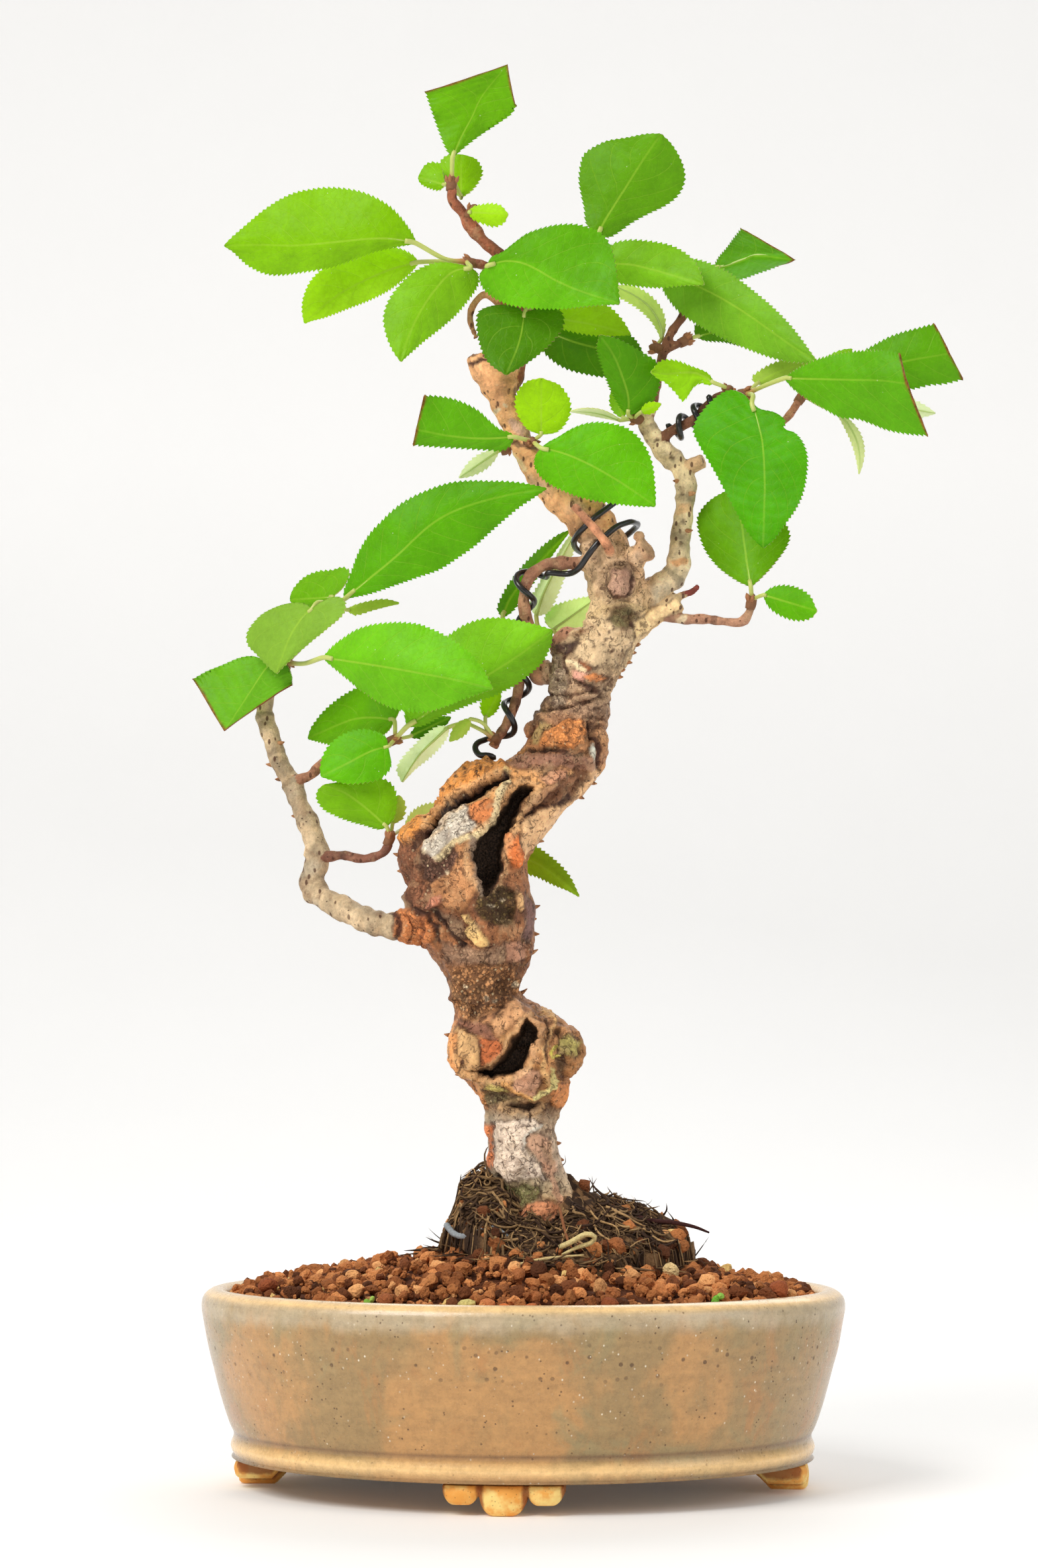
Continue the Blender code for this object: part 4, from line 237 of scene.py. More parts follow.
# Meshes from grids

@dataclass
class Shell:
    """Points and faces gathered from grids, with values per point, before they become one mesh."""
    points: list = field(default_factory=list)
    faces: list = field(default_factory=list)
    finishes: list = field(default_factory=list)
    values: list = field(default_factory=list)
    count: int = 0

    def add(self, points: np.ndarray, faces: list[np.ndarray], finish: int = 0, **values: object) -> None:
        """Take in one body: its points, its face arrays, its finish number and its point values."""
        points = np.asarray(points, float).reshape(-1, 3)
        for corners in faces:
            corners = np.asarray(corners)
            self.faces.append(corners + self.count)
            self.finishes.append(np.full(len(corners), finish, np.int32))
        self.points.append(points)
        self.values.append({key: self.spread(value, len(points)) for key, value in values.items()})
        self.count += len(points)

    def grid(self, grid: np.ndarray, finish: int = 0, closed: bool = False, caps: bool = False,
             **values: object) -> None:
        """Take in a grid of rows and columns of points.

        Args:
            grid: rows by columns by three. Faces point along (next row) x (next column).
            finish: the finish number of its faces.
            closed: whether the last column joins the first.
            caps: whether the first and the last row are closed by a fan to their middle.
            values: point values, one per grid point or one for all.
        """
        rows, columns = grid.shape[:2]
        index = np.arange(rows * columns).reshape(rows, columns)
        nxt = np.roll(index, -1, axis=1) if closed else index[:, 1:]
        here = index if closed else index[:, :-1]
        quads = np.stack([here[:-1], here[1:], nxt[1:], nxt[:-1]], axis=-1).reshape(-1, 4)
        points, faces = grid.reshape(-1, 3), [quads]
        if caps:
            low, high = len(points), len(points) + 1
            points = np.vstack([points, grid[0].mean(axis=0), grid[-1].mean(axis=0)])
            faces.append(np.stack([here[0], nxt[0], np.full(len(here[0]), low)], axis=-1))
            faces.append(np.stack([nxt[-1], here[-1], np.full(len(here[0]), high)], axis=-1))
        values = {key: self.spread(value, rows * columns, 2 * caps) for key, value in values.items()}
        self.add(points, faces, finish, **values)

    @staticmethod
    def spread(value: object, count: int, extra: int = 0) -> np.ndarray:
        """A value per point, from one value or an array of them.

        Args:
            value: a number, a colour, or an array with a number or a colour for each point.
            count: how many points there are.
            extra: how many cap points follow them; they take the last point's value.

        Returns:
            An array with one row for each point.
        """
        value = np.asarray(value, float)
        if value.ndim == 0 or (value.ndim == 1 and value.shape[0] in (3, 4)):
            return np.broadcast_to(value, (count + extra, *value.shape)).copy()
        width = value.shape[-1:] if value.size != count else ()
        flat = value.reshape((count, *width))
        return np.concatenate([flat, flat[-1:].repeat(extra, axis=0)]) if extra else flat

    def mesh(self, name: str, smooth: bool = True) -> bpy.types.Mesh:
        """One mesh in metres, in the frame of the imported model, with its values as attributes."""
        points = (np.concatenate(self.points) + SHIFT) * MM
        sizes = np.concatenate([np.full(len(f), f.shape[1]) for f in self.faces])
        corners = np.concatenate([f.ravel() for f in self.faces]).astype(np.int32)
        mesh = bpy.data.meshes.new(name)
        mesh.vertices.add(len(points))
        mesh.vertices.foreach_set("co", points.astype(np.float32).ravel())
        mesh.loops.add(len(corners))
        mesh.loops.foreach_set("vertex_index", corners)
        mesh.polygons.add(len(sizes))
        mesh.polygons.foreach_set("loop_start", np.concatenate([[0], np.cumsum(sizes)[:-1]]).astype(np.int32))
        mesh.polygons.foreach_set("material_index", np.concatenate(self.finishes))
        mesh.polygons.foreach_set("use_smooth", np.full(len(sizes), smooth))
        mesh.update(calc_edges=True)
        for key in self.values[0]:
            write_attribute(mesh, key, np.concatenate([v[key] for v in self.values]))
        return mesh


def write_attribute(mesh: bpy.types.Mesh, name: str, values: np.ndarray) -> None:
    """Store a number or a colour per point of a mesh."""
    if values.ndim == 1:
        made = mesh.attributes.new(name, "FLOAT", "POINT")
        made.data.foreach_set("value", values.astype(np.float32))
        return
    made = mesh.attributes.new(name, "FLOAT_COLOR", "POINT")
    full = np.ones((len(values), 4), np.float32)
    full[:, :values.shape[1]] = values
    made.data.foreach_set("color", full.ravel())


def path_frames(path: np.ndarray) -> tuple[np.ndarray, np.ndarray]:
    """Two directions square to a path at each point, carried along it without twist."""
    along = unit(np.gradient(path, axis=0))
    side = np.empty_like(path)
    guide = np.array([0.0, 1.0, 0.0]) if abs(along[0][1]) < 0.9 else np.array([1.0, 0.0, 0.0])
    current = np.cross(along[0], guide)
    for number, direction in enumerate(along):
        current = unit(current - direction * (current @ direction))
        side[number] = current
    return side, np.cross(along, side)


def tube_grid(path: np.ndarray, radii: np.ndarray, sides: int) -> np.ndarray:
    """A ring of points round each point of a path: rows along it, columns round it."""
    side, up = path_frames(path)
    angle = np.linspace(0.0, -2.0 * np.pi, sides, endpoint=False)
    ring = np.cos(angle)[None, :, None] * side[:, None] + np.sin(angle)[None, :, None] * up[:, None]
    return path[:, None] + ring * np.asarray(radii)[:, None, None]


def many_tubes(paths: np.ndarray, radii: np.ndarray, sides: int) -> tuple[np.ndarray, np.ndarray]:
    """Thin tubes along many paths of the same number of points, as points and quads.

    Args:
        paths: tubes by points by three.
        radii: tubes by points; the last one is near 0, so the ends need no cap.
        sides: points in each ring.

    Returns:
        The ring points of all tubes, and the faces between them.
    """
    along = unit(np.gradient(paths, axis=1))
    guide = np.where(np.abs(along[..., 2:]) < 0.8, np.array([0.0, 0.0, 1.0]), np.array([1.0, 0.0, 0.0]))
    side = unit(np.cross(along, guide))
    up = np.cross(along, side)
    angle = np.linspace(0.0, -2.0 * np.pi, sides, endpoint=False)[:, None]
    ring = np.cos(angle) * side[:, :, None] + np.sin(angle) * up[:, :, None]
    points = paths[:, :, None] + ring * radii[:, :, None, None]
    tubes, rows = paths.shape[:2]
    index = np.arange(tubes * rows * sides).reshape(tubes, rows, sides)
    nxt = np.roll(index, -1, axis=2)
    quads = np.stack([index[:, :-1], index[:, 1:], nxt[:, 1:], nxt[:, :-1]], axis=-1)
    return points.reshape(-1, 3), quads.reshape(-1, 4)


def ball_grid(centre: np.ndarray, radius: float) -> np.ndarray:
    """Rows of a ball from its low pole to its high one, the poles drawn in to a tiny ring."""
    rows, columns = 12, 18
    tall = np.linspace(-0.499, 0.499, rows) * np.pi
    round_ = np.linspace(0.0, -2.0 * np.pi, columns, endpoint=False)
    out = np.stack([np.cos(tall)[:, None] * np.cos(round_), np.cos(tall)[:, None] * np.sin(round_),
                    np.repeat(np.sin(tall)[:, None], columns, axis=1)], axis=-1)
    return centre + out * radius


def lump_template(fine: bool = True) -> tuple[np.ndarray, np.ndarray]:
    """The points and triangles of a ball of 80 faces, or of 20."""
    work = bmesh.new()
    bmesh.ops.create_icosphere(work, subdivisions=2 if fine else 1, radius=1.0)
    mesh = bpy.data.meshes.new("lump_template")
    work.to_mesh(mesh)
    work.free()
    points = np.empty(len(mesh.vertices) * 3, np.float32)
    mesh.vertices.foreach_get("co", points)
    corners = np.empty(len(mesh.loops), np.int32)
    mesh.loops.foreach_get("vertex_index", corners)
    bpy.data.meshes.remove(mesh)
    return points.reshape(-1, 3).astype(float), corners.reshape(-1, 3)


def add_piece(mesh: bpy.types.Mesh, materials: list, slot: str, *nodes: str) -> bpy.types.Object:
    """Link a piece that rides on the part's one body and stands for the named nodes."""
    piece = bpy.data.objects.new(mesh.name, mesh)
    bpy.context.scene.collection.objects.link(piece)
    for material in materials:
        mesh.materials.append(material)
    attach(piece, "root")
    if nodes:
        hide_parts(*nodes)
    LOG.info("%s: %d faces", mesh.name, len(mesh.polygons))
    return piece


# Shader maths

class Value:
    """A node's output socket that adds Math nodes when it is used in an expression."""

    def __init__(self, shader: "Shader", socket: bpy.types.NodeSocket) -> None:
        """Wrap a socket of a material's node."""
        self.shader, self.socket = shader, socket

    def _with(self, operation: str, other: object, swapped: bool = False) -> "Value":
        """The Math node of one operation on this value and another."""
        first, second = (other, self) if swapped else (self, other)
        node = self.shader.node("ShaderNodeMath", {"operation": operation}, {0: first, 1: second})
        return Value(self.shader, node.outputs[0])

    def __add__(self, other: object) -> "Value":
        """Sum."""
        return self._with("ADD", other)

    __radd__ = __add__

    def __sub__(self, other: object) -> "Value":
        """Difference."""
        return self._with("SUBTRACT", other)

    def __rsub__(self, other: object) -> "Value":
        """Difference with the value on the right."""
        return self._with("SUBTRACT", other, True)

    def __mul__(self, other: object) -> "Value":
        """Product."""
        return self._with("MULTIPLY", other)

    __rmul__ = __mul__

    def __truediv__(self, other: object) -> "Value":
        """Quotient."""
        return self._with("DIVIDE", other)

    def __abs__(self) -> "Value":
        """Size without sign."""
        return self._with("ABSOLUTE", 0.0)

    def fraction(self) -> "Value":
        """The part after the point."""
        return self._with("FRACT", 0.0)

    def most(self, other: object) -> "Value":
        """The larger of two values."""
        return self._with("MAXIMUM", other)

    def step(self, low: float, high: float) -> "Value":
        """A smooth step from 0 at low to 1 at high."""
        node = self.shader.node("ShaderNodeMapRange", {"interpolation_type": "SMOOTHSTEP"},
                                {"Value": self, "From Min": low, "From Max": high})
        return Value(self.shader, node.outputs[0])


class Shader:
    """One Principled material and the nodes that drive it."""

    def __init__(self, name: str) -> None:
        """Start a material of that name with an empty Principled shader."""
        self.material = bpy.data.materials.new(name)
        self.material.use_nodes = True
        self.tree = self.material.node_tree
        self.surface = self.tree.nodes["Principled BSDF"]
        self._place: bpy.types.NodeSocket | None = None

    def node(self, kind: str, settings: dict, inputs: dict) -> bpy.types.Node:
        """Add a node.

        Args:
            kind: its type.
            settings: its own settings, set first. `stops` are a ramp's (position, colour) pairs.
            inputs: values or links of its sockets, by name or number.

        Returns:
            The node.
        """
        made = self.tree.nodes.new(kind)
        for key, value in settings.items():
            if key == "stops":
                while len(made.color_ramp.elements) < len(value):
                    made.color_ramp.elements.new(0.5)
                for element, (position, colour) in zip(made.color_ramp.elements, value):
                    element.position, element.color = position, (*colour, 1.0)
            else:
                setattr(made, key, value)
        for key, value in inputs.items():
            self.feed(made.inputs[key], value)
        return made

    def feed(self, socket: bpy.types.NodeSocket, value: object) -> None:
        """Link a value or a socket to an input, or set its number or colour."""
        if isinstance(value, Value):
            self.tree.links.new(value.socket, socket)
        elif isinstance(value, bpy.types.NodeSocket):
            self.tree.links.new(value, socket)
        elif isinstance(value, tuple) and len(value) == 3 and socket.type == "RGBA":
            socket.default_value = (*value, 1.0)
        else:
            socket.default_value = value

    @property
    def place(self) -> bpy.types.NodeSocket:
        """The point on the object, in metres."""
        if self._place is None:
            self._place = self.node("ShaderNodeTexCoord", {}, {}).outputs["Object"]
        return self._place

    def stretched(self, scale: tuple[float, float, float]) -> bpy.types.NodeSocket:
        """The point on the object, scaled along each axis."""
        return self.node("ShaderNodeMapping", {}, {"Vector": self.place, "Scale": scale}).outputs[0]

    def noise(self, size: float, detail: float = 3.0, roughness: float = 0.55, distort: float = 0.0,
              vector: bpy.types.NodeSocket | None = None) -> Value:
        """Smooth noise of a feature size in millimetres, about 0 to 1."""
        made = self.node("ShaderNodeTexNoise", {}, {
            "Vector": vector or self.place, "Scale": 1.0 / (size * MM), "Detail": detail,
            "Roughness": roughness, "Distortion": distort})
        return Value(self, made.outputs[0])

    def bent(self, scale: tuple[float, float, float]) -> bpy.types.NodeSocket:
        """The scaled point, moved a little by fine noise, so that lines drawn from it waver."""
        waver = self.node("ShaderNodeTexNoise", {}, {"Vector": self.place, "Scale": 400.0, "Detail": 3.0})
        made = self.node("ShaderNodeMixRGB", {"blend_type": "ADD"}, {
            "Fac": 0.0045, "Color1": self.stretched(scale), "Color2": waver.outputs["Color"]})
        return made.outputs[0]

    def crackle(self, size: float, feature: str = "F1",
                vector: bpy.types.NodeSocket | None = None) -> Value:
        """Distance of a Voronoi pattern of a cell size in millimetres."""
        made = self.node("ShaderNodeTexVoronoi", {"feature": feature}, {
            "Vector": vector or self.place, "Scale": 1.0 / (size * MM)})
        return Value(self, made.outputs["Distance"])

    def attribute(self, name: str) -> Value:
        """A number stored on the mesh."""
        made = self.node("ShaderNodeAttribute", {"attribute_name": name}, {})
        return Value(self, made.outputs["Fac"])

    def tint(self, name: str) -> bpy.types.NodeSocket:
        """A colour stored on the mesh."""
        return self.node("ShaderNodeAttribute", {"attribute_name": name}, {}).outputs["Color"]

    def mix(self, share: object, first: object, second: object) -> bpy.types.NodeSocket:
        """A colour between two: the first at a share of 0, the second at 1."""
        made = self.node("ShaderNodeMix", {"data_type": "RGBA"}, {0: share, 6: first, 7: second})
        return made.outputs[2]

    def scaled(self, colour: object, factor: object) -> bpy.types.NodeSocket:
        """A colour times a number."""
        made = self.node("ShaderNodeVectorMath", {"operation": "SCALE"}, {0: colour, 3: factor})
        return made.outputs[0]

    def ramp(self, value: Value, stops: tuple) -> bpy.types.NodeSocket:
        """A colour ramp over a value."""
        return self.node("ShaderNodeValToRGB", {"stops": stops}, {0: value}).outputs[0]

    def bump(self, height: Value, strength: float, depth: float) -> None:
        """Let a height from 0 to 1 tilt the surface, as if it were `depth` millimetres deep."""
        made = self.node("ShaderNodeBump", {}, {"Height": height, "Strength": strength,
                                                "Distance": depth * MM})
        self.feed(self.surface.inputs["Normal"], made.outputs[0])

    def set(self, **inputs: object) -> None:
        """Set or link inputs of the Principled shader, by their names with _ for a space."""
        for key, value in inputs.items():
            self.feed(self.surface.inputs[key.replace("_", " ")], value)

    def glow_through(self, colour: tuple[float, float, float], share: float) -> None:
        """Let light through a thin blade: a constant share of a Translucent shader of one colour."""
        thin = self.node("ShaderNodeBsdfTranslucent", {}, {"Color": colour})
        blend = self.node("ShaderNodeMixShader", {}, {0: share, 1: self.surface.outputs[0],
                                                      2: thin.outputs[0]})
        output = self.tree.nodes["Material Output"]
        self.tree.links.new(blend.outputs[0], output.inputs["Surface"])


# Finishes

@dataclass(frozen=True)
class Glaze:
    """Honey and grey stoneware glaze with pits, flecks and drifts of colour."""
    honey: tuple = (192, 144, 88)
    taupe: tuple = (164, 133, 86)
    grey: tuple = (150, 139, 98)
    # The lip's paler top: partly the glaze's own colour, partly a painted highlight.
    lip: tuple = (202, 184, 154)
    fleck: tuple = (238, 224, 198)
    pit: tuple = (86, 60, 40)
    rust: tuple = (190, 128, 70)
    # Painted highlight along the lip's ridge, and painted floor bounce light on the base band.
    wear_and_highlight: tuple = (255, 212, 146)
    seam: tuple = (112, 78, 48)

    def material(self) -> bpy.types.Material:
        """Drifts of honey, taupe, grey and rust under fine mottling, with pits that also dent it, and painted
        highlights on the lip and base band.
        """
        s = Shader("stoneware_glaze")
        drift = s.noise(30.0, 3.0, 0.55, 0.9)
        streak = s.noise(9.0, 5.0, 0.65, 0.5, s.stretched((1.0, 1.0, 0.42)))
        wiped = s.noise(2.6, 4.0, 0.65, 0.2, s.stretched((0.22, 0.22, 1.5)))
        mottle, fine = s.noise(2.0, 5.0, 0.7), s.noise(0.6, 3.0, 0.65)
        base = s.mix((drift + (streak - 0.5) * 0.5).step(0.40, 0.60), linear(*self.honey),
                     linear(*self.taupe))
        haze = (s.noise(19.0, 4.0, 0.6, 1.0) + s.attribute("lip") * 0.13).step(0.53, 0.74)
        base = s.mix(haze * 0.62, base, linear(*self.grey))
        base = s.mix((streak - 0.5).step(0.04, 0.20) * 0.5, base, linear(*self.rust))
        # Painted highlight: the lip's top turns paler, partly the glaze's own colour and partly light on it.
        rim = (s.attribute("lip") * (0.6 + streak * 0.8)).step(0.62, 0.98)
        base = s.mix(rim * 0.7, base, linear(*self.lip))
        band = s.attribute("pitted")
        pits = (1.0 - s.crackle(1.5).step(0.09, 0.18)) * s.noise(7.0).step(0.48, 0.58)
        pits = pits.most((1.0 - s.crackle(3.0).step(0.10, 0.19)) * band)
        base = s.mix(pits * 0.75, base, linear(*self.pit))
        flecks = 1.0 - s.crackle(1.9, vector=s.stretched((1.1, 1.2, 0.9))).step(0.07, 0.15)
        base = s.mix(flecks * (s.noise(6.0).step(0.48, 0.6) + band * 0.8) * 0.75, base, linear(*self.fleck))
        # Painted highlight: the thin share lightens the lip's ridge, and painted bounce light lightens the
        # base band.
        base = s.mix(s.attribute("thin") * 0.85, base, linear(*self.wear_and_highlight))
        base = s.mix(s.attribute("groove") * (0.35 + streak * 0.8), base, linear(*self.seam))
        shade = 0.28 + mottle * 0.74 + wiped * 0.46 + fine * 0.34
        s.set(Base_Color=s.scaled(base, shade), Roughness=0.20 + pits * 0.4 + mottle * 0.16,
              Coat_Weight=0.3, Coat_Roughness=0.1)
        s.bump((1.0 - pits) * 0.9 + s.noise(5.5, 2.0) * 0.5 + mottle * 0.45 + fine * 0.15, 0.6, 0.4)
        return s.material


@dataclass(frozen=True)
class FootClay:
    """Bare amber clay with rusty stains, painted shade in its seams, and dark pores."""
    cream: tuple = (255, 222, 136)
    amber: tuple = (242, 168, 74)
    rust: tuple = (150, 76, 30)
    pore: tuple = (120, 70, 34)

    def material(self) -> bpy.types.Material:
        """Cream to amber clay; a rust colour darkens the seams between lobes, partly stain and partly painted
        shade in those creases.
        """
        s = Shader("unglazed_foot_clay")
        base = s.mix(s.noise(5.0, 4.0, 0.6).step(0.38, 0.62), linear(*self.cream), linear(*self.amber))
        # Partly stain and partly painted shade: the rust colour darkens the seams between lobes.
        stain_and_seam_shade = (s.attribute("seam") * 0.8 + s.noise(2.2, 3.0) * 0.5).step(0.5, 0.9)
        base = s.mix(stain_and_seam_shade * 0.85, base, linear(*self.rust))
        pores = 1.0 - s.crackle(0.9).step(0.08, 0.22)
        base = s.mix(pores * 0.5, base, linear(*self.pore))
        s.set(Base_Color=base, Roughness=0.62 + s.noise(1.5) * 0.2)
        s.bump((1.0 - pores) * 0.6 + s.noise(1.2, 3.0) * 0.6, 0.45, 0.3)
        return s.material


@dataclass(frozen=True)
class Granule:
    """Baked clay grains, each with its own colour."""

    def material(self) -> bpy.types.Material:
        """The grain's own colour with fine mottling and a rough, pitted skin."""
        s = Shader("akadama_granules")
        fine, coarse = s.noise(0.5, 3.0, 0.65), s.noise(1.6, 2.0)
        base = s.scaled(s.tint("tint"), 0.34 + fine * 1.42 + coarse * 0.50)
        s.set(Base_Color=base, Roughness=0.92, Specular_IOR_Level=0.15)
        s.bump(fine * 0.9 + (1.0 - s.crackle(0.8).step(0.0, 0.5)) * 0.5, 1.0, 0.6)
        return s.material


@dataclass(frozen=True)
class Fibre:
    """Fine root fibre, each strand with its own colour."""

    def material(self) -> bpy.types.Material:
        """The fibre's own colour broken by fine noise."""
        s = Shader("root_fibre")
        fine = s.noise(0.6, 4.0, 0.65)
        s.set(Base_Color=s.scaled(s.tint("tint"), 0.35 + fine * 1.3), Roughness=0.88,
              Specular_IOR_Level=0.25)
        s.bump(fine, 0.8, 0.5)
        return s.material


@dataclass(frozen=True)
class Bark:
    """Bark and bare wood: a painted tint broken up by pores, flakes and crumbs."""
    russet: tuple = (128, 74, 48)
    buff: tuple = (236, 196, 146)
    speck: tuple = (240, 214, 168)
    pore: tuple = (58, 34, 22)
    tick: tuple = (84, 48, 32)
    crack: tuple = (78, 46, 30)
    flake: tuple = (76, 44, 26)
    # Rotted wood in the hollows, made darker as painted shade.
    rot_and_shade: tuple = (0.130, 0.078, 0.048)
    dust: tuple = (150, 116, 84)

    def material(self) -> bpy.types.Material:
        """The tint times mottling, with dark pores and pale specks as strong as the stored values."""
        s = Shader("quince_bark")
        grain, rough = s.noise(1.1, 5.0, 0.68), s.attribute("rough")
        fine = s.noise(0.42, 3.0, 0.65)
        streak = s.noise(1.3, 4.0, 0.65, 0.4, s.stretched((1.0, 1.0, 0.3)))
        base = s.scaled(s.tint("tint"), 0.14 + grain * 1.28 + streak * 0.60 + fine * 0.56)
        blotch = s.noise(4.2, 3.0, 0.6, 0.5)
        base = s.mix((blotch - 0.5).step(0.02, 0.16) * 0.30, base, linear(*self.russet))
        base = s.mix((0.5 - blotch).step(0.03, 0.17) * 0.26, base, linear(*self.buff))
        crumbs = s.crackle(0.85)
        dark = (crumbs * (0.7 + fine * 0.8)).step(0.42, 0.66)
        base = s.mix(dark * rough * 0.66, base, linear(*self.pore))
        pale = 1.0 - s.crackle(1.9, vector=s.stretched((1.0, 1.1, 0.9))).step(0.10, 0.19)
        base = s.mix(pale * (0.12 + rough * 0.75), base, linear(*self.speck))
        pores = 1.0 - s.crackle(1.5, vector=s.stretched((0.8, 1.0, 1.25))).step(0.07, 0.15)
        pores = pores * s.noise(3.8, 2.0).step(0.42, 0.56)
        base = s.mix(pores * 0.8, base, linear(*self.pore))
        ticks = 1.0 - s.crackle(2.0, vector=s.stretched((1.25, 0.9, 0.62))).step(0.18, 0.27)
        base = s.mix(ticks * (1.0 - s.attribute("old")) * s.noise(9.0, 1.0).step(0.34, 0.46) * 0.85, base,
                     linear(*self.tick))
        cracks = 1.0 - s.crackle(4.2, "DISTANCE_TO_EDGE", vector=s.bent((1.2, 1.0, 0.7))).step(0.005, 0.04)
        cracks = cracks * s.noise(3.6, 3.0).step(0.50, 0.60) * s.attribute("old")
        base = s.mix(cracks * 0.6, base, linear(*self.crack))
        flakes = (0.455 - s.noise(1.7, 5.0, 0.7, 0.9)).step(0.0, 0.05) * (0.25 + s.attribute("old") * 0.75)
        base = s.mix(flakes * 0.62, base, linear(*self.flake))
        inner = s.scaled(self.rot_and_shade, (fine - 0.38).most(0.02) * 4.0 + (0.55 - crumbs).most(0.0) * 0.8)
        inner = s.mix(pale * s.noise(2.4).step(0.5, 0.62) * 0.5, inner, linear(*self.dust))
        # In the hollows: rotted wood, darkened further as painted shade.
        base = s.mix(s.attribute("hollow"), base, inner)
        s.set(Base_Color=base, Roughness=0.78 - s.attribute("sheen") * 0.35, Specular_IOR_Level=0.35)
        height = grain * 0.6 + fine * 0.3 + streak * 0.4 - dark * rough * 0.6 - pores * 0.5 - cracks * 0.6
        s.bump(height, 0.9, 0.9)
        return s.material


@dataclass(frozen=True)
class LeafSkin:
    """One face of a leaf blade.

    vein_share: how strong its veins are. through, glow: the colour and the share of the light that
    passes it. relief: how strong its bumps are.
    """
    name: str
    vein: tuple
    through: tuple
    vein_share: float
    roughness: float
    sheen: float
    glow: float
    relief: float
    dust: tuple = (226, 244, 190)
    scorched: tuple = (92, 44, 18)
    dried: tuple = (176, 110, 52)

    def material(self) -> bpy.types.Material:
        """The leaf's tint with a pale midrib, side veins, a net between them and faint dust."""
        s = Shader(self.name)
        cloud, net = s.noise(6.0, 3.0), s.crackle(1.5, "DISTANCE_TO_EDGE")
        pattern = s.noise(1.0, 3.0, 0.6)
        base = s.scaled(s.tint("tint"), 0.62 + cloud * 0.44 + pattern * 0.34)
        lines = 1.0 - net.step(0.0, 0.08)
        base = s.mix(lines * 0.10 * self.vein_share, base, linear(*self.vein))
        phase = s.attribute("vein_phase")
        gap = abs((phase + 0.5).fraction() - 0.5) * s.attribute("vein_pitch")
        side_vein = (1.0 - gap.step(0.03, 0.22)) * s.attribute("vein_fade")
        base = s.mix(side_vein * 0.34 * self.vein_share, base, linear(*self.vein))
        rib = 1.0 - s.attribute("rib_gap").step(0.12, 0.34)
        base = s.mix(rib * s.attribute("rib_fade") * self.vein_share, base, linear(*self.vein))
        dust = (1.0 - s.crackle(2.3).step(0.035, 0.08)) * s.noise(11.0).step(0.48, 0.6)
        base = s.mix(dust * 0.65, base, linear(*self.dust))
        brown = s.ramp(pattern, ((0.3, linear(*self.scorched)), (0.7, linear(*self.dried))))
        base = s.mix(s.attribute("dry"), base, brown)
        s.set(Base_Color=base, Roughness=self.roughness + pattern * 0.10, Coat_Weight=self.sheen,
              Coat_Roughness=0.3, Specular_IOR_Level=0.15)
        s.bump(pattern * 0.4 + cloud * 0.5 - lines * 0.3 - side_vein * 0.5, self.relief, 0.22)
        s.glow_through(linear(*self.through), self.glow)
        return s.material


@dataclass(frozen=True)
class Plain:
    """A tinted finish for leaf edges, stalks and buds: fine mottling over one tint."""
    name: str
    roughness: float
    size: float = 0.8
    contrast: float = 0.5
    depth: float = 0.15

    def material(self) -> bpy.types.Material:
        """The tint times fine noise."""
        s = Shader(self.name)
        fine = s.noise(self.size, 4.0, 0.6)
        base = s.scaled(s.tint("tint"), 1.0 - self.contrast * 0.5 + fine * self.contrast)
        s.set(Base_Color=base, Roughness=self.roughness)
        s.bump(fine, 0.5, self.depth)
        return s.material


@dataclass(frozen=True)
class WireSkin:
    """Black anodised aluminium wire with scuffed, dusty streaks."""
    black: tuple = (0.010, 0.009, 0.010)
    wear_and_highlight: tuple = (0.10, 0.075, 0.06)

    def material(self) -> bpy.types.Material:
        """Near black, smooth, with faint scuffs."""
        s = Shader("anodised_wire")
        scuff = s.noise(1.2, 4.0, 0.7)
        base = s.mix(scuff.step(0.52, 0.75) * 0.35, self.black, self.wear_and_highlight)
        s.set(Base_Color=base, Roughness=0.22 + scuff * 0.25, Metallic=0.25, Coat_Weight=0.5,
              Coat_Roughness=0.12)
        s.bump(scuff, 0.2, 0.05)
        return s.material


# The pot and its feet

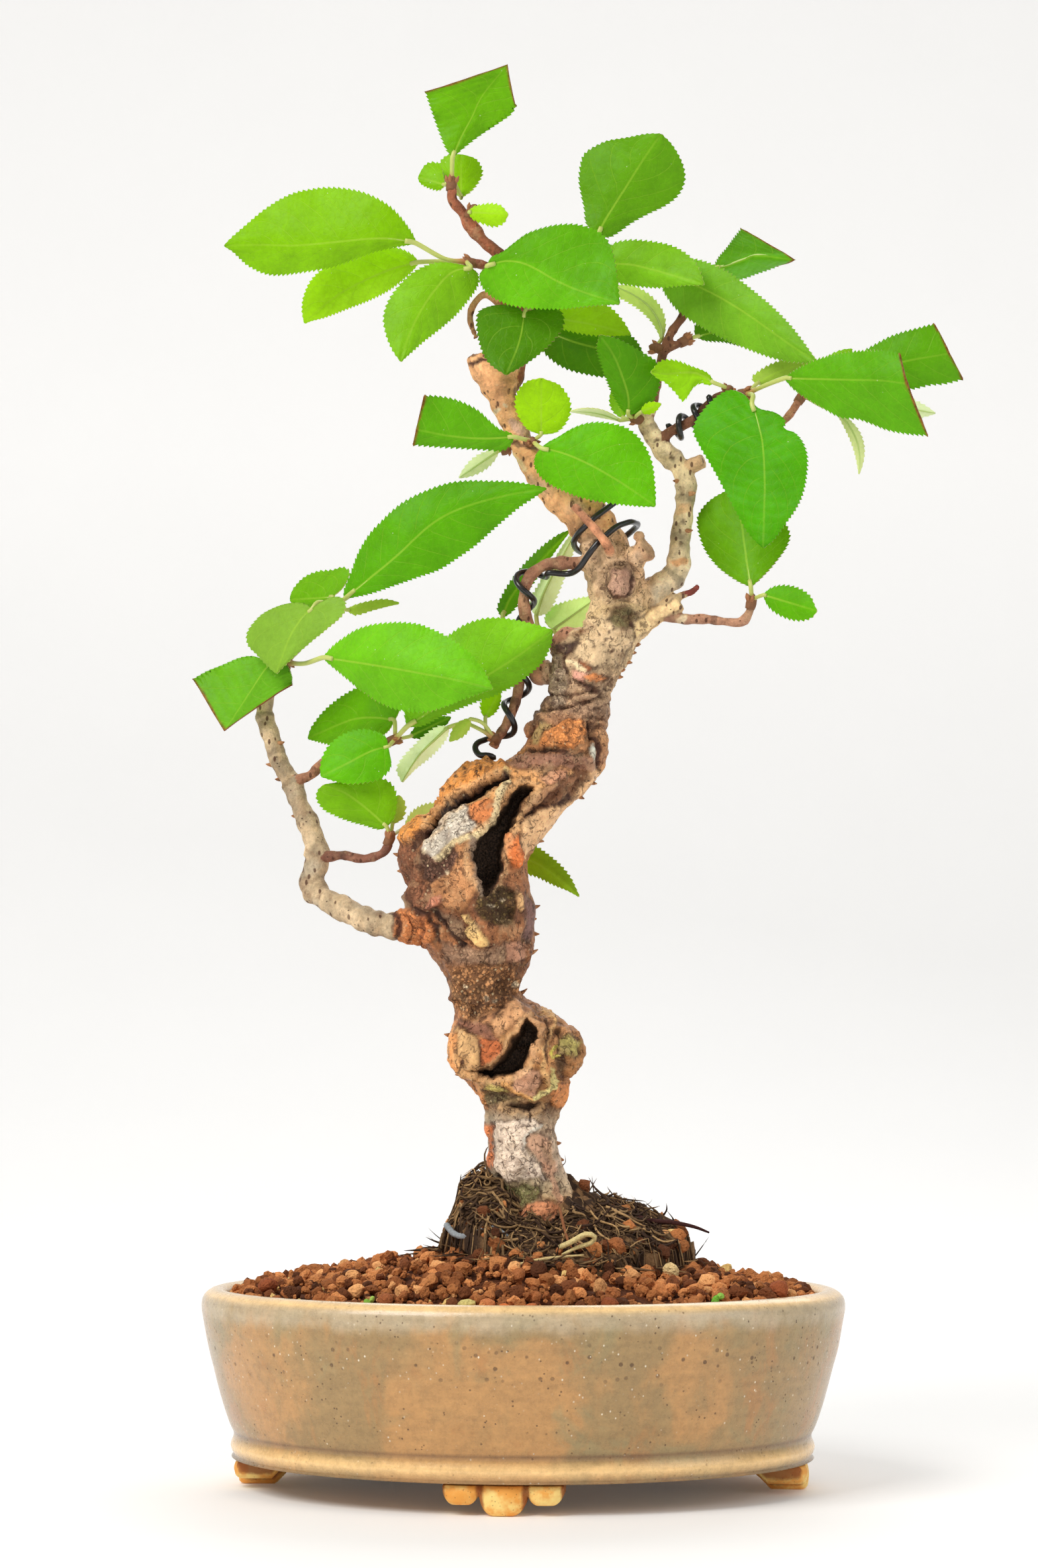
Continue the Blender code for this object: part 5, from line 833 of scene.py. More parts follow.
@dataclass
class Pot:
    """The oval glazed body and its four cloud feet."""
    half_width: float = 75.1
    oval: float = 0.80
    turn: float = math.radians(-4.7)
    underside: float = 6.8
    lip: float = 45.7
    floor: float = 12.0
    drain_offset: float = 32.0
    drain_radius: float = 6.0
    spokes: int = 132
    foot_half_width: float = 13.2
    foot_radius: float = 65.3
    foot_top: float = 6.5
    foot_flat: float = 6.0
    foot_root: float = 15.0
    lobes: tuple = ((-0.70, 0.33, 2.3), (0.0, 0.40, 0.0), (0.70, 0.33, 2.3))
    lobe_rounding: float = 4.6
    lobe_flat_share: float = 0.35
    lobe_bulge: float = 2.2
    foot_edge_round: float = 1.2
    pitted_height: float = 33.0
    crest_height: float = 44.9
    band_height: float = 9.8
    waist_groove: float = 12.7
    band_groove: float = 7.4

    def profile(self) -> tuple:
        """(radius, height), from the middle of the inner floor over the lip to the underside's middle."""
        return ((0.0, self.floor), (30.0, self.floor), (56.0, self.floor), (61.5, 13.4), (64.2, 17.5),
                (66.4, 26.0), (68.0, 34.0), (68.9, 40.5), (69.0, 43.6), (69.6, 45.1), (70.9, self.lip),
                (72.9, 45.3), (74.6, 43.9), (self.half_width, 41.5), (74.5, 38.0), (73.3, 32.0),
                (71.8, 26.5), (70.0, 20.0), (68.1, 14.6), (67.1, 12.2), (67.9, 9.6), (66.9, 7.6),
                (65.4, self.underside), (40.0, self.underside), (0.0, self.underside))

    def oval_points(self, radius: np.ndarray, angle: np.ndarray, height: np.ndarray) -> np.ndarray:
        """Points on the pot's turned oval."""
        x, y = radius * np.cos(angle), self.oval * radius * np.sin(angle)
        cos, sin = math.cos(self.turn), math.sin(self.turn)
        height = np.broadcast_to(height, np.shape(x))
        return np.stack([x * cos - y * sin, x * sin + y * cos, height], axis=-1)

    def unturned(self, x: np.ndarray, y: np.ndarray) -> tuple[np.ndarray, np.ndarray]:
        """Places along and across the pot's long axis."""
        cos, sin = math.cos(self.turn), math.sin(self.turn)
        return x * cos + y * sin, -x * sin + y * cos

    def build_body(self) -> None:
        """A turned profile on an oval: radius and height along one way, angle along the other."""
        raw = np.array([(r, 0.0, z) for r, z in self.profile()])
        line, = smooth_curve(raw, 0.9)
        line[:, 0] = np.maximum(line[:, 0], 0.02)
        line[:, 2] = np.clip(line[:, 2], self.underside, self.lip)
        angle = np.linspace(0.0, 2.0 * np.pi, self.spokes, endpoint=False)
        radius = line[:, :1] + np.zeros(self.spokes)
        height = line[:, 2:] + np.zeros(self.spokes)
        grid = self.oval_points(radius, angle[None, :], height)
        outer = ease(20.0, 50.0, radius) * ease(self.underside, self.underside + 2.0, height)
        hand = Noise.fractal(grid * (1.0, 1.0, 1.6), 26.0, 3, 3) * 0.22 * outer
        grid = self.oval_points(radius + hand, angle[None, :], height)
        run = np.arange(len(line))[:, None] / len(line) + np.zeros(self.spokes)
        outside = ease(0.40, 0.44, run)
        lip = ease(30.0, 44.5, height) * outside
        facing = ease(-0.3, 0.3, -np.sin(angle))[None, :]
        pitted = np.exp(-((height - self.pitted_height) / 4.5) ** 2) * outside * facing
        # crest and band, stored as thin: a painted highlight on the lip's ridge and painted bounce light on
        # the base band.
        crest = np.exp(-((height - self.crest_height) / 0.8) ** 2) * outside
        band = np.exp(-((height - self.band_height) / 1.5) ** 2) * outside
        groove = np.maximum(np.exp(-((height - self.waist_groove) / 0.55) ** 2),
                            0.6 * np.exp(-((height - self.band_groove) / 0.4) ** 2))
        shell = Shell()
        shell.grid(grid, closed=True, caps=True, lip=lip, pitted=pitted, thin=np.maximum(crest, band),
                   groove=groove * outside)
        mesh = shell.mesh("pot_body")
        pot = add_piece(mesh, [Glaze().material()], "glaze", "pot")
        for side in (-1, 1):
            self.drill(pot, side)

    def drill(self, pot: bpy.types.Object, side: int) -> None:
        """Cut one drain hole through the pot's floor."""
        centre = self.oval_points(np.array(side * self.drain_offset), np.array(0.0), 0.0) + SHIFT
        work = bmesh.new()
        bmesh.ops.create_cone(work, cap_ends=True, segments=36, radius1=self.drain_radius * MM,
                              radius2=self.drain_radius * MM, depth=20.0 * MM)
        bmesh.ops.translate(work, verts=work.verts, vec=Vector(centre * MM) + Vector((0, 0, 8 * MM)))
        mesh = bpy.data.meshes.new("drain_drill")
        work.to_mesh(mesh)
        work.free()
        drill = bpy.data.objects.new("drain_drill", mesh)
        bpy.context.scene.collection.objects.link(drill)
        cut = pot.modifiers.new("drain", "BOOLEAN")
        cut.operation, cut.solver, cut.object = "DIFFERENCE", "EXACT", drill
        graph = bpy.context.evaluated_depsgraph_get()
        made = bpy.data.meshes.new_from_object(pot.evaluated_get(graph))
        pot.modifiers.clear()
        old, pot.data = pot.data, made
        bpy.data.objects.remove(drill)
        bpy.data.meshes.remove(old)
        made.name = "pot_body"

    def foot_edge(self, u: np.ndarray) -> np.ndarray:
        """Height of a foot's lower edge across it: three lobes with round corners and flat bottoms."""
        edge = np.full(u.shape, self.foot_top - 0.8)
        for centre, half, low in self.lobes:
            reach = np.abs(u - centre) / half
            curl = np.clip((reach - self.lobe_flat_share) / (1.0 - self.lobe_flat_share), 0.0, 1.0)
            lobe = low + self.lobe_rounding * (1.0 - np.sqrt(1.0 - np.minimum(curl, 0.9999) ** 2))
            edge = np.where(reach < 1.0, np.minimum(edge, lobe), edge)
        return edge

    def build_foot(self, name: str, angle: float, clay: bpy.types.Material) -> None:
        """A cloud foot: rows across its three lobes, each row a closed section from face to root."""
        middle = self.oval_points(np.array(self.foot_radius), np.array(angle), 0.0)
        out = unit(np.array([self.oval * math.cos(angle), math.sin(angle), 0.0]))
        cos, sin = math.cos(self.turn), math.sin(self.turn)
        out = np.array([out[0] * cos - out[1] * sin, out[0] * sin + out[1] * cos, 0.0])
        across = np.array([-out[1], out[0], 0.0])
        u = np.linspace(-1.0, 1.0, 97)
        low = self.foot_edge(u)
        nearest = np.min([np.abs(u - c) / h for c, h, _ in self.lobes], axis=0)
        swell = np.sqrt(np.clip(1.0 - nearest ** 2, 0.0, 1.0)) * self.lobe_bulge
        bend = -0.9 * u * u
        round_ = np.linspace(0.0, 0.5 * np.pi, 9)
        curve = self.foot_edge_round
        top = low + curve
        rows = []
        for t in round_:
            share = 1.0 - t / (0.5 * np.pi)
            rows.append((bend + swell - curve - 0.35 * (1.0 - np.sin(t)) + 0.35 * math.sin(share * np.pi),
                         top + (self.foot_top - top) * share))
        for t in np.linspace(0.0, 0.5 * np.pi, 7)[1:]:
            rows.append((bend + swell - curve - 1.6 * (1.0 - math.cos(t)),
                         low + curve * (1.0 - math.sin(t))))
        rows.append((bend - self.foot_flat - 1.6, low))
        rows.append((bend - self.foot_flat - 4.0, low + 2.4))
        rows.append((bend - self.foot_root, np.full(u.shape, self.foot_top)))
        grid = np.stack([middle + out * reach[:, None] + across * (u * self.foot_half_width)[:, None]
                         + np.stack([0 * u, 0 * u, np.minimum(height, self.foot_top)], axis=-1)
                         for reach, height in rows], axis=1)
        grid[..., :2] += 0.12 * Noise.value(grid, 3.0, 7)[..., None] * out[:2]
        # seam: the creases between lobes, darkened by the rust colour, partly stain and partly painted shade.
        seam = ease(0.55, 1.0, nearest)[:, None] + np.zeros(grid.shape[:2])
        shell = Shell()
        shell.grid(grid, closed=True, caps=True, seam=seam)
        mesh = shell.mesh(name + "_clay")
        face_outwards(mesh)
        add_piece(mesh, [clay], "foot_clay", name)

    def build(self) -> None:
        """The body, the four feet, and a dull plastic skin on the two drain screens."""
        clay = FootClay().material()
        self.build_body()
        for name, angle in (("foot_front", -np.pi / 2), ("foot_back", np.pi / 2), ("foot_left", np.pi),
                            ("foot_right", 0.0)):
            self.build_foot(name, angle, clay)
        s = Shader("drain_screen_plastic")
        weave = s.noise(1.4, 2.0)
        s.set(Base_Color=s.scaled((0.02, 0.02, 0.02), 0.6 + weave), Roughness=0.45 + weave * 0.2)
        s.bump(weave, 0.4, 0.2)
        for name in ("drain_screen_left", "drain_screen_right"):
            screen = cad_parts[name]
            screen.data.materials.clear()
            screen.data.materials.append(s.material)


def face_outwards(mesh: bpy.types.Mesh) -> None:
    """Turn every face of a closed mesh outwards."""
    work = bmesh.new()
    work.from_mesh(mesh)
    bmesh.ops.recalc_face_normals(work, faces=work.faces)
    if work.calc_volume(signed=True) < 0.0:
        bmesh.ops.reverse_faces(work, faces=work.faces)
    work.to_mesh(mesh)
    work.free()


# Soil, grains and the root mound

@dataclass
class Soil:
    """The bed of akadama: a lumpy floor under thousands of separate grains."""
    pot: Pot
    rim: float = 43.9
    low: float = 13.7
    rim_radius: float = 68.6
    dome: float = 7.6
    left_fill: float = 2.6
    spokes: int = 120
    grains: int = 1500
    crumbs: int = 1700
    tones: tuple = ((176, 112, 66), (150, 92, 54), (200, 132, 80), (112, 66, 40), (220, 160, 104),
                    (84, 50, 32))
    weights: tuple = (0.27, 0.25, 0.17, 0.16, 0.06, 0.09)
    # The bed's colour: soil, made darker as painted shade for the gaps between grains.
    bed_and_gap_shade_tone: tuple = (96, 56, 36)
    pale_tone: tuple = (226, 190, 120)

    def height(self, x: np.ndarray, y: np.ndarray) -> np.ndarray:
        """Height of the bed: level at the rim, domed in the middle, fuller on the left."""
        along, across = self.pot.unturned(x, y)
        reach = np.minimum(1.0, np.hypot(along, across / self.pot.oval) / 69.0)
        dome = self.dome * (1.0 - reach ** 2.2)
        dome += self.left_fill * np.exp(-((along + 6.0) / 30.0) ** 2) * (1.0 - reach ** 2)
        return self.rim + dome

    def build_bed(self, clay: bpy.types.Material) -> None:
        """A closed bed: rings from the floor's middle, up the wall and over the lumpy top."""
        angle = np.linspace(0.0, 2.0 * np.pi, self.spokes, endpoint=False)
        wall = ((0.3, self.low), (61.0, self.low), (63.4, 17.5), (65.8, 26.0), (67.4, 34.0), (68.3, 40.5),
                (self.rim_radius, self.rim - 1.2))
        rings = [self.pot.oval_points(np.full(self.spokes, r), angle, z) for r, z in wall]
        for share in np.linspace(1.0, 0.004, 60):
            ring = self.pot.oval_points(np.full(self.spokes, self.rim_radius * share), angle, 0.0)
            ring[:, 2] = self.height(ring[:, 0], ring[:, 1]) - 0.9
            rings.append(ring)
        grid = np.stack(rings)
        gap, _ = Noise.cells(grid, 3.2, 5)
        over = len(wall) + 1
        grid[over:, :, 2] += 0.9 * (1.0 - gap[over:]) - 0.5
        # The bed is darker than most grains: soil colour and painted shade for the gaps between them.
        tint = np.array(linear(*self.bed_and_gap_shade_tone)) * (0.8 + 0.5 * Noise.value(grid, 3.0, 9)[..., None])
        shell = Shell()
        shell.grid(grid, closed=True, caps=True, tint=tint)
        mesh = shell.mesh("soil_floor")
        face_outwards(mesh)
        add_piece(mesh, [clay], "akadama", "soil_bed")

    def scatter(self, name: str, clay: bpy.types.Material, centres: np.ndarray, sizes: np.ndarray,
                tints: np.ndarray, seed: int, rough: float = 0.60) -> None:
        """Lumps of 80 faces, or 20 if tiny: a ball, squashed, turned and dented, one at each centre.

        Args:
            name: the piece's name.
            clay: its material.
            centres, sizes, tints: place, mean radius and colour of each lump.
            seed: the start of its random draws.
            rough: how deep the dents are, as a share of the radius.
        """
        chance = np.random.default_rng(seed)
        ball, corners = lump_template(float(sizes.max()) > 1.0)
        count = len(centres)
        squash = chance.uniform(0.72, 1.12, (count, 1, 3))
        spin = unit(chance.normal(size=(count, 4)))
        w, x, y, z = spin.T
        turn = np.stack([1 - 2 * (y * y + z * z), 2 * (x * y - z * w), 2 * (x * z + y * w),
                         2 * (x * y + z * w), 1 - 2 * (x * x + z * z), 2 * (y * z - x * w),
                         2 * (x * z - y * w), 2 * (y * z + x * w), 1 - 2 * (x * x + y * y)],
                        axis=-1).reshape(count, 3, 3)
        shape = ball[None] * squash
        dent = Noise.value(ball[None] * 1.15 + chance.uniform(0, 900, (count, 1, 3)), 1.0, seed)
        shape = shape * (1.0 + rough * dent[..., None]) * sizes[:, None, None]
        points = centres[:, None] + np.einsum("nij,npj->npi", turn, shape)
        faces = (corners[None] + len(ball) * np.arange(count)[:, None, None]).reshape(-1, 3)
        shell = Shell()
        shell.add(points.reshape(-1, 3), [faces], 0, tint=np.repeat(tints, len(ball), axis=0))
        add_piece(shell.mesh(name, smooth=False), [clay], "akadama")

    def grain_tints(self, count: int, chance: np.random.Generator) -> np.ndarray:
        """A tone for each grain, with a few pale ones."""
        tones = np.array([linear(*tone) for tone in self.tones])
        tint = tones[chance.choice(len(tones), count, p=self.weights)]
        tint = tint * chance.uniform(0.78, 1.25, (count, 1))
        pale = chance.random(count) < 0.012
        tint[pale] = np.array(linear(*self.pale_tone)) * chance.uniform(0.8, 1.1, (pale.sum(), 1))
        return tint

    def build_grains(self, clay: bpy.types.Material, mound: "Mound") -> None:
        """Grains over the bed and the foot of the mound, and finer crumbs among them."""
        chance = np.random.default_rng(SEED)
        for name, count, low, high, seed in (("akadama_grains", self.grains, 0.75, 2.0, 1),
                                             ("akadama_crumbs", self.crumbs, 0.35, 0.85, 2)):
            angle = chance.uniform(0.0, 2.0 * np.pi, count * 2)
            radius = self.rim_radius * np.sqrt(chance.uniform(0.0, 1.0, count * 2))
            sizes = low + (high - low) * chance.random(count * 2) ** 1.5
            radius = np.minimum(radius, self.rim_radius - sizes - 0.2)
            centres = self.pot.oval_points(radius, angle, 0.0)
            cover = mound.cover(centres[:, 0], centres[:, 1])
            keep = chance.random(count * 2) > np.clip(cover * 5.0 - 0.3, 0.0, 0.96)
            centres, sizes = centres[keep][:count], sizes[keep][:count]
            ground = self.height(centres[:, 0], centres[:, 1])
            ground = np.maximum(ground, mound.height(centres[:, 0], centres[:, 1]) * (
                mound.cover(centres[:, 0], centres[:, 1]) > 0.02))
            centres[:, 2] = ground + sizes * chance.uniform(-0.55, 0.75, len(sizes))
            tints = self.grain_tints(len(sizes), chance)
            self.scatter(name, clay, centres, sizes, tints, seed)
        self.build_odd_grains(clay)

    def build_odd_grains(self, clay: bpy.types.Material) -> None:
        """The few grains that stand out by their size or colour, placed one by one."""
        odd = ((-12.5, 44.6, -52.0, 2.5, (206, 190, 120)), (-49.5, 44.4, -40.0, 1.1, (196, 200, 130)),
               (-7.5, 45.4, -53.0, 1.9, (196, 120, 74)), (-4.0, 44.8, -55.0, 1.6, (216, 120, 66)),
               (2.0, 44.6, -54.5, 1.7, (186, 108, 66)), (34.0, 50.5, -20.0, 2.0, (226, 196, 140)),
               (-30.0, 46.0, -47.0, 2.2, (150, 88, 54)), (19.0, 45.4, -53.0, 2.2, (138, 74, 44)),
               (58.0, 47.0, -27.0, 2.3, (150, 82, 50)), (-58.0, 47.4, -20.0, 2.3, (142, 78, 48)),
               (-34.0, 45.6, -46.6, 0.9, (132, 178, 70)), (-33.0, 46.2, -46.4, 0.7, (164, 196, 92)),
               (42.6, 45.8, -42.6, 1.1, (112, 172, 60)), (43.8, 46.6, -42.2, 0.8, (144, 192, 84)))
        table = np.array([(x, y, z, r) for x, z, y, r, _ in odd])
        tints = np.array([linear(*tone) for *_, tone in odd])
        self.scatter("akadama_odd_grains", clay, table[:, :3], table[:, 3], tints, 3, 0.2)


@dataclass
class Mound:
    """The dark pile of fine roots round the stem."""
    soil: Soil
    floor: float = 46.5
    centre: tuple = (10.0, 0.0)
    half: tuple = (29.0, 25.0)
    ridge_depth: float = 3.0
    front_reach: float = 27.0
    back_reach: float = 20.0
    spokes: int = 150
    fibres: int = 950
    dark_fibre: tuple = (66, 46, 34)
    pale_fibre: tuple = (204, 164, 112)
    dark_peat: tuple = (64, 46, 33)
    pale_peat: tuple = (148, 112, 76)
    ridge: tuple = ((-19.5, 54.5), (-17.0, 59.2), (-15.5, 63.2), (-14.5, 68.3), (-10.0, 71.5), (-4.0, 72.5),
                    (10.0, 71.5), (12.5, 70.0), (16.0, 67.5), (21.9, 64.7), (28.3, 62.0), (36.4, 57.0),
                    (40.5, 54.0))

    def inwards(self, angle: np.ndarray, share: np.ndarray) -> tuple[np.ndarray, np.ndarray]:
        """Places at shares of the way from the mound's centre to its wavy edge."""
        wave = 1.0 + 0.05 * np.sin(3 * angle + 0.6) + 0.03 * np.sin(7 * angle)
        edge_x = self.centre[0] + self.half[0] * wave * np.cos(angle)
        edge_y = self.centre[1] + self.half[1] * wave * np.sin(angle)
        return (self.centre[0] + (edge_x - self.centre[0]) * share,
                self.centre[1] + (edge_y - self.centre[1]) * share)

    def cover(self, x: np.ndarray, y: np.ndarray) -> np.ndarray:
        """How far inside the mound's edge a place is: 0 outside, 1 at its middle."""
        dx, dy = (x - self.centre[0]) / self.half[0], (y - self.centre[1]) / self.half[1]
        return np.clip(1.0 - np.hypot(dx, dy), 0.0, 1.0)

    def height(self, x: np.ndarray, y: np.ndarray) -> np.ndarray:
        """Height of the pile: a ridge behind the stem that falls away both ways, with a dip in front."""
        ridge = np.interp(x, *zip(*self.ridge))
        ground = self.soil.height(x, y)
        behind = y - self.ridge_depth
        reach = np.where(behind < 0.0, self.front_reach, self.back_reach)
        slope = np.maximum(0.0, 1.0 - (np.abs(behind) / reach) ** 1.25)
        dip = 8.0 * np.exp(-((x - 4.0) / 8.0) ** 2) * np.clip((4.0 - y) / 14.0, 0.0, 1.0)
        strands = 0.8 * np.sin(7.0 * np.arctan2(behind, x - 4.4) + 0.25 * x)
        return (ground + 0.6 + np.maximum(0.0, (ridge - ground - dip) * slope)
                + strands * np.minimum(1.0, 2.0 * slope))

    def build_pile(self, fibre: bpy.types.Material) -> None:
        """A closed pile: rings from its middle out, dented by crumbly noise, and a floor."""
        angle = np.linspace(0.0, 2.0 * np.pi, self.spokes, endpoint=False)
        shares = np.linspace(0.004, 1.0, 64)[:, None]
        px, py = self.inwards(angle, shares)
        grid = np.stack([px, py, self.height(px, py)], axis=-1)
        rough = Noise.fractal(grid, 3.6, 21, 4)
        gap, tone = Noise.cells(grid, 2.0, 31)
        grid[..., 2] += 1.2 * rough + 1.0 * (0.6 - gap)
        grid[..., :2] += 0.6 * np.stack([Noise.value(grid, 2.2, 41), Noise.value(grid, 2.2, 43)], axis=-1)
        under = np.array([[1.0], [0.01]])
        grid = np.concatenate([grid, np.stack([*self.inwards(angle, under),
                                               np.full((2, self.spokes), self.floor)], axis=-1)])
        tone = np.concatenate([tone, tone[-1:], tone[-1:]])
        light = np.clip(tone * 1.6 - 0.6, 0.0, 1.0)[..., None]
        tint = (np.array(linear(*self.dark_peat)) * (1 - light)
                + np.array(linear(*self.pale_peat)) * light)
        shell = Shell()
        shell.grid(grid, closed=True, caps=True, tint=tint)
        mesh = shell.mesh("root_pile")
        face_outwards(mesh)
        add_piece(mesh, [fibre], "root_fibre", "root_mound")

    def build_fibres(self, fibre: bpy.types.Material) -> None:
        """Fine roots that run over the pile: wandering lines laid on its surface, some lifting off."""
        chance = np.random.default_rng(SEED + 4)
        count, steps = self.fibres, 12
        angle = chance.uniform(0.0, 2.0 * np.pi, count)
        share = chance.uniform(0.22, 0.95, count) ** 0.8
        x0, y0 = self.inwards(angle, share)
        heading = angle + chance.normal(0.0, 0.9, count)
        length = chance.uniform(4.0, 15.0, count)
        s = np.linspace(0.0, 1.0, steps)
        bend = chance.normal(0.0, 1.4, (count, 1)) * s + chance.normal(0.0, 0.7, (count, 1)) * np.sin(
            7.0 * s + chance.uniform(0, 6, (count, 1)))
        way = heading[:, None] + bend
        pace = (length / steps)[:, None]
        x = x0[:, None] + np.cumsum(np.cos(way) * pace, axis=1)
        y = y0[:, None] + np.cumsum(np.sin(way) * pace, axis=1)
        ground = np.maximum(self.height(x, y) * (self.cover(x, y) > 0.0), self.soil.height(x, y))
        lift = chance.uniform(0.2, 1.6, (count, 1)) + chance.exponential(1.3, (count, 1)) * s ** 2
        paths = np.stack([x, y, ground + lift], axis=-1)
        radius = chance.uniform(0.10, 0.42, (count, 1)) * (1.0 - s ** 3 * 0.93)
        sides = 4
        points, quads = many_tubes(paths, radius, sides)
        dark, pale = np.array(linear(*self.dark_fibre)), np.array(linear(*self.pale_fibre))
        blend = (chance.random(count) ** 3)[:, None]
        tint = np.repeat(dark * (1 - blend) + pale * blend, steps * sides, axis=0)
        shell = Shell()
        shell.add(points, [quads], 0, tint=tint)
        add_piece(shell.mesh("fine_roots"), [fibre], "root_fibre")

    def build_roots(self, fibre: bpy.types.Material) -> None:
        """The few thicker roots that show: a pale curl, a grey one and a dark tip that stands off."""
        routes = (
            # tone, radius, (x, z, depth) along it: a pale curl, a thin pale one, a grey one, a thin
            # brown one and the dark tip
            ((236, 214, 150), 0.62, ((8.5, 56.2, -23.5), (11, 57.4, -24.5), (14.4, 59.2, -24.6),
             (16.4, 58.6, -24.2), (15.6, 57.2, -23.8), (12.6, 56.2, -23.6), (9.0, 54.6, -24.4))),
            ((226, 200, 140), 0.38, ((-1.0, 52.4, -26.0), (4, 53.6, -26.5), (9, 54.2, -26.4),
                                     (14, 54.6, -25.6))),
            ((160, 166, 170), 0.75, ((-17.5, 60.4, -8.0), (-15.6, 58.6, -12.0), (-13.0, 58.2, -15.0),
                                     (-9.6, 59.4, -16.5), (-6.4, 60.2, -16.0), (-3.2, 58.4, -18.0))),
            ((150, 96, 62), 0.34, ((8.6, 64.6, -13.0), (9.6, 60.4, -18.5), (10.6, 57.2, -22.0),
                                   (12.0, 55.0, -23.8))),
            ((70, 38, 34), 0.55, ((24.0, 62.8, -2.0), (30.0, 61.2, -3.0), (35.0, 60.8, -4.0),
                                  (40.0, 59.8, -4.0), (43.6, 58.4, -3.0))),
        )
        shell = Shell()
        for tone, radius, route in routes:
            path, = smooth_curve(np.array([(x, y, z) for x, z, y in route]), 0.9)
            thick = radius * (1.0 - np.linspace(0.0, 1.0, len(path)) ** 4 * 0.6)
            shell.grid(tube_grid(path, thick, 8), closed=True, caps=True, tint=linear(*tone))
        add_piece(shell.mesh("surface_roots"), [fibre], "root_fibre")


# The wood

@dataclass(frozen=True)
class Limb:
    """A branch or twig: (x, z, depth, radius) readings along it and the tone of its bark."""
    route: tuple
    tone: tuple = (198, 166, 128)


TRUNK_SECTIONS = (
    # (height, left edge, right edge, middle's depth, half depth)
    (26.3, -4.4, 13.2, 0.0, 8.6), (56.0, -4.4, 13.2, 0.0, 8.6), (63.0, -4.3, 12.9, 0.0, 8.5),
    (69.0, -4.6, 11.4, 0.0, 8.0), (73.0, -7.6, 9.8, 0.0, 8.0), (80.2, -8.1, 8.1, 0.0, 8.2),
    (84.3, -8.8, 7.9, 0.0, 8.4), (87.5, -8.6, 8.9, 0.0, 8.2), (90.0, -10.2, 10.0, 0.0, 9.4),
    (92.1, -12.2, 10.3, 0.3, 10.4), (95.3, -14.7, 10.8, 0.6, 11.6), (98.0, -15.6, 12.4, 0.8, 12.4),
    (100.3, -16.1, 13.3, 1.0, 12.6), (104.4, -16.7, 12.3, 1.0, 12.4), (108.0, -15.9, 9.8, 0.8, 11.6),
    (110.7, -15.9, 4.7, 0.5, 10.4), (112.6, -16.4, 0.6, 0.0, 9.6), (114.8, -17.0, -1.3, -0.4, 9.2),
    (118.9, -18.4, 0.6, -0.6, 9.4), (123.0, -21.6, 2.3, -0.8, 10.2), (127.0, -24.0, 2.2, -1.0, 11.0),
    (131.0, -25.0, 2.2, -1.0, 11.6), (135.0, -25.2, 2.6, -1.0, 12.0), (140.3, -27.4, 0.3, -1.0, 12.2),
    (144.0, -28.8, 0.6, -1.0, 12.4), (147.0, -29.3, 2.2, -0.8, 12.2), (149.1, -27.9, 3.6, -0.6, 11.8),
    (151.8, -25.9, 5.5, -0.4, 11.4), (153.9, -22.8, 7.1, 0.0, 11.0), (156.5, -19.8, 9.2, 0.2, 10.6),
    (160.1, -16.9, 12.2, 0.5, 10.2), (163.8, -13.9, 16.2, 0.8, 9.8), (166.1, -11.6, 18.1, 1.0, 9.5),
    (168.4, -4.6, 19.4, 1.0, 9.2), (171.0, 0.0, 20.0, 1.0, 8.8), (175.2, 2.8, 20.1, 1.0, 8.4),
    (180.0, 3.2, 20.8, 1.0, 8.2), (185.0, 6.6, 21.0, 0.8, 8.0), (190.0, 6.5, 23.6, 0.6, 7.8),
    (194.5, 8.0, 26.0, 0.4, 7.6), (198.0, 13.2, 28.0, 0.2, 7.2), (203.0, 15.6, 29.0, 0.0, 7.0),
    (208.0, 16.7, 29.4, 0.0, 6.8), (214.7, 16.0, 28.8, 0.0, 6.5), (219.0, 15.0, 26.6, 0.0, 5.8),
    (223.0, 14.5, 23.6, 0.0, 4.6),
)

HANGING = Limb(((19, 215, -1, 2.2), (15, 216, -2, 1.7), (9, 216.2, -1.5, 1.6), (5, 215.5, -1, 1.5),
                (1.5, 212.5, -0.5, 1.5), (0.4, 208, 0, 1.4), (0.8, 204, 0.5, 1.4),
                (1.8, 200.5, 1, 1.4), (1.1, 195, 1, 1.4), (-0.5, 188, 1, 1.3), (-1.5, 183, 1, 1.3),
                (-3.5, 178, 1, 1.2), (-5.5, 174.8, 1, 1.2), (-6.9, 172.2, 1, 1.2)), (170, 120, 92))
RIGHT_TWIG = Limb(((33, 244, 1, 1.6), (34.6, 247.2, 0, 1.3), (38.1, 249.2, -1, 1.2),
                   (41.3, 251, -1, 1.2), (44.6, 254.6, -1, 1.1), (47.6, 256.5, -1, 1.1),
                   (52.6, 256.8, -1, 1.1)), (128, 84, 62))
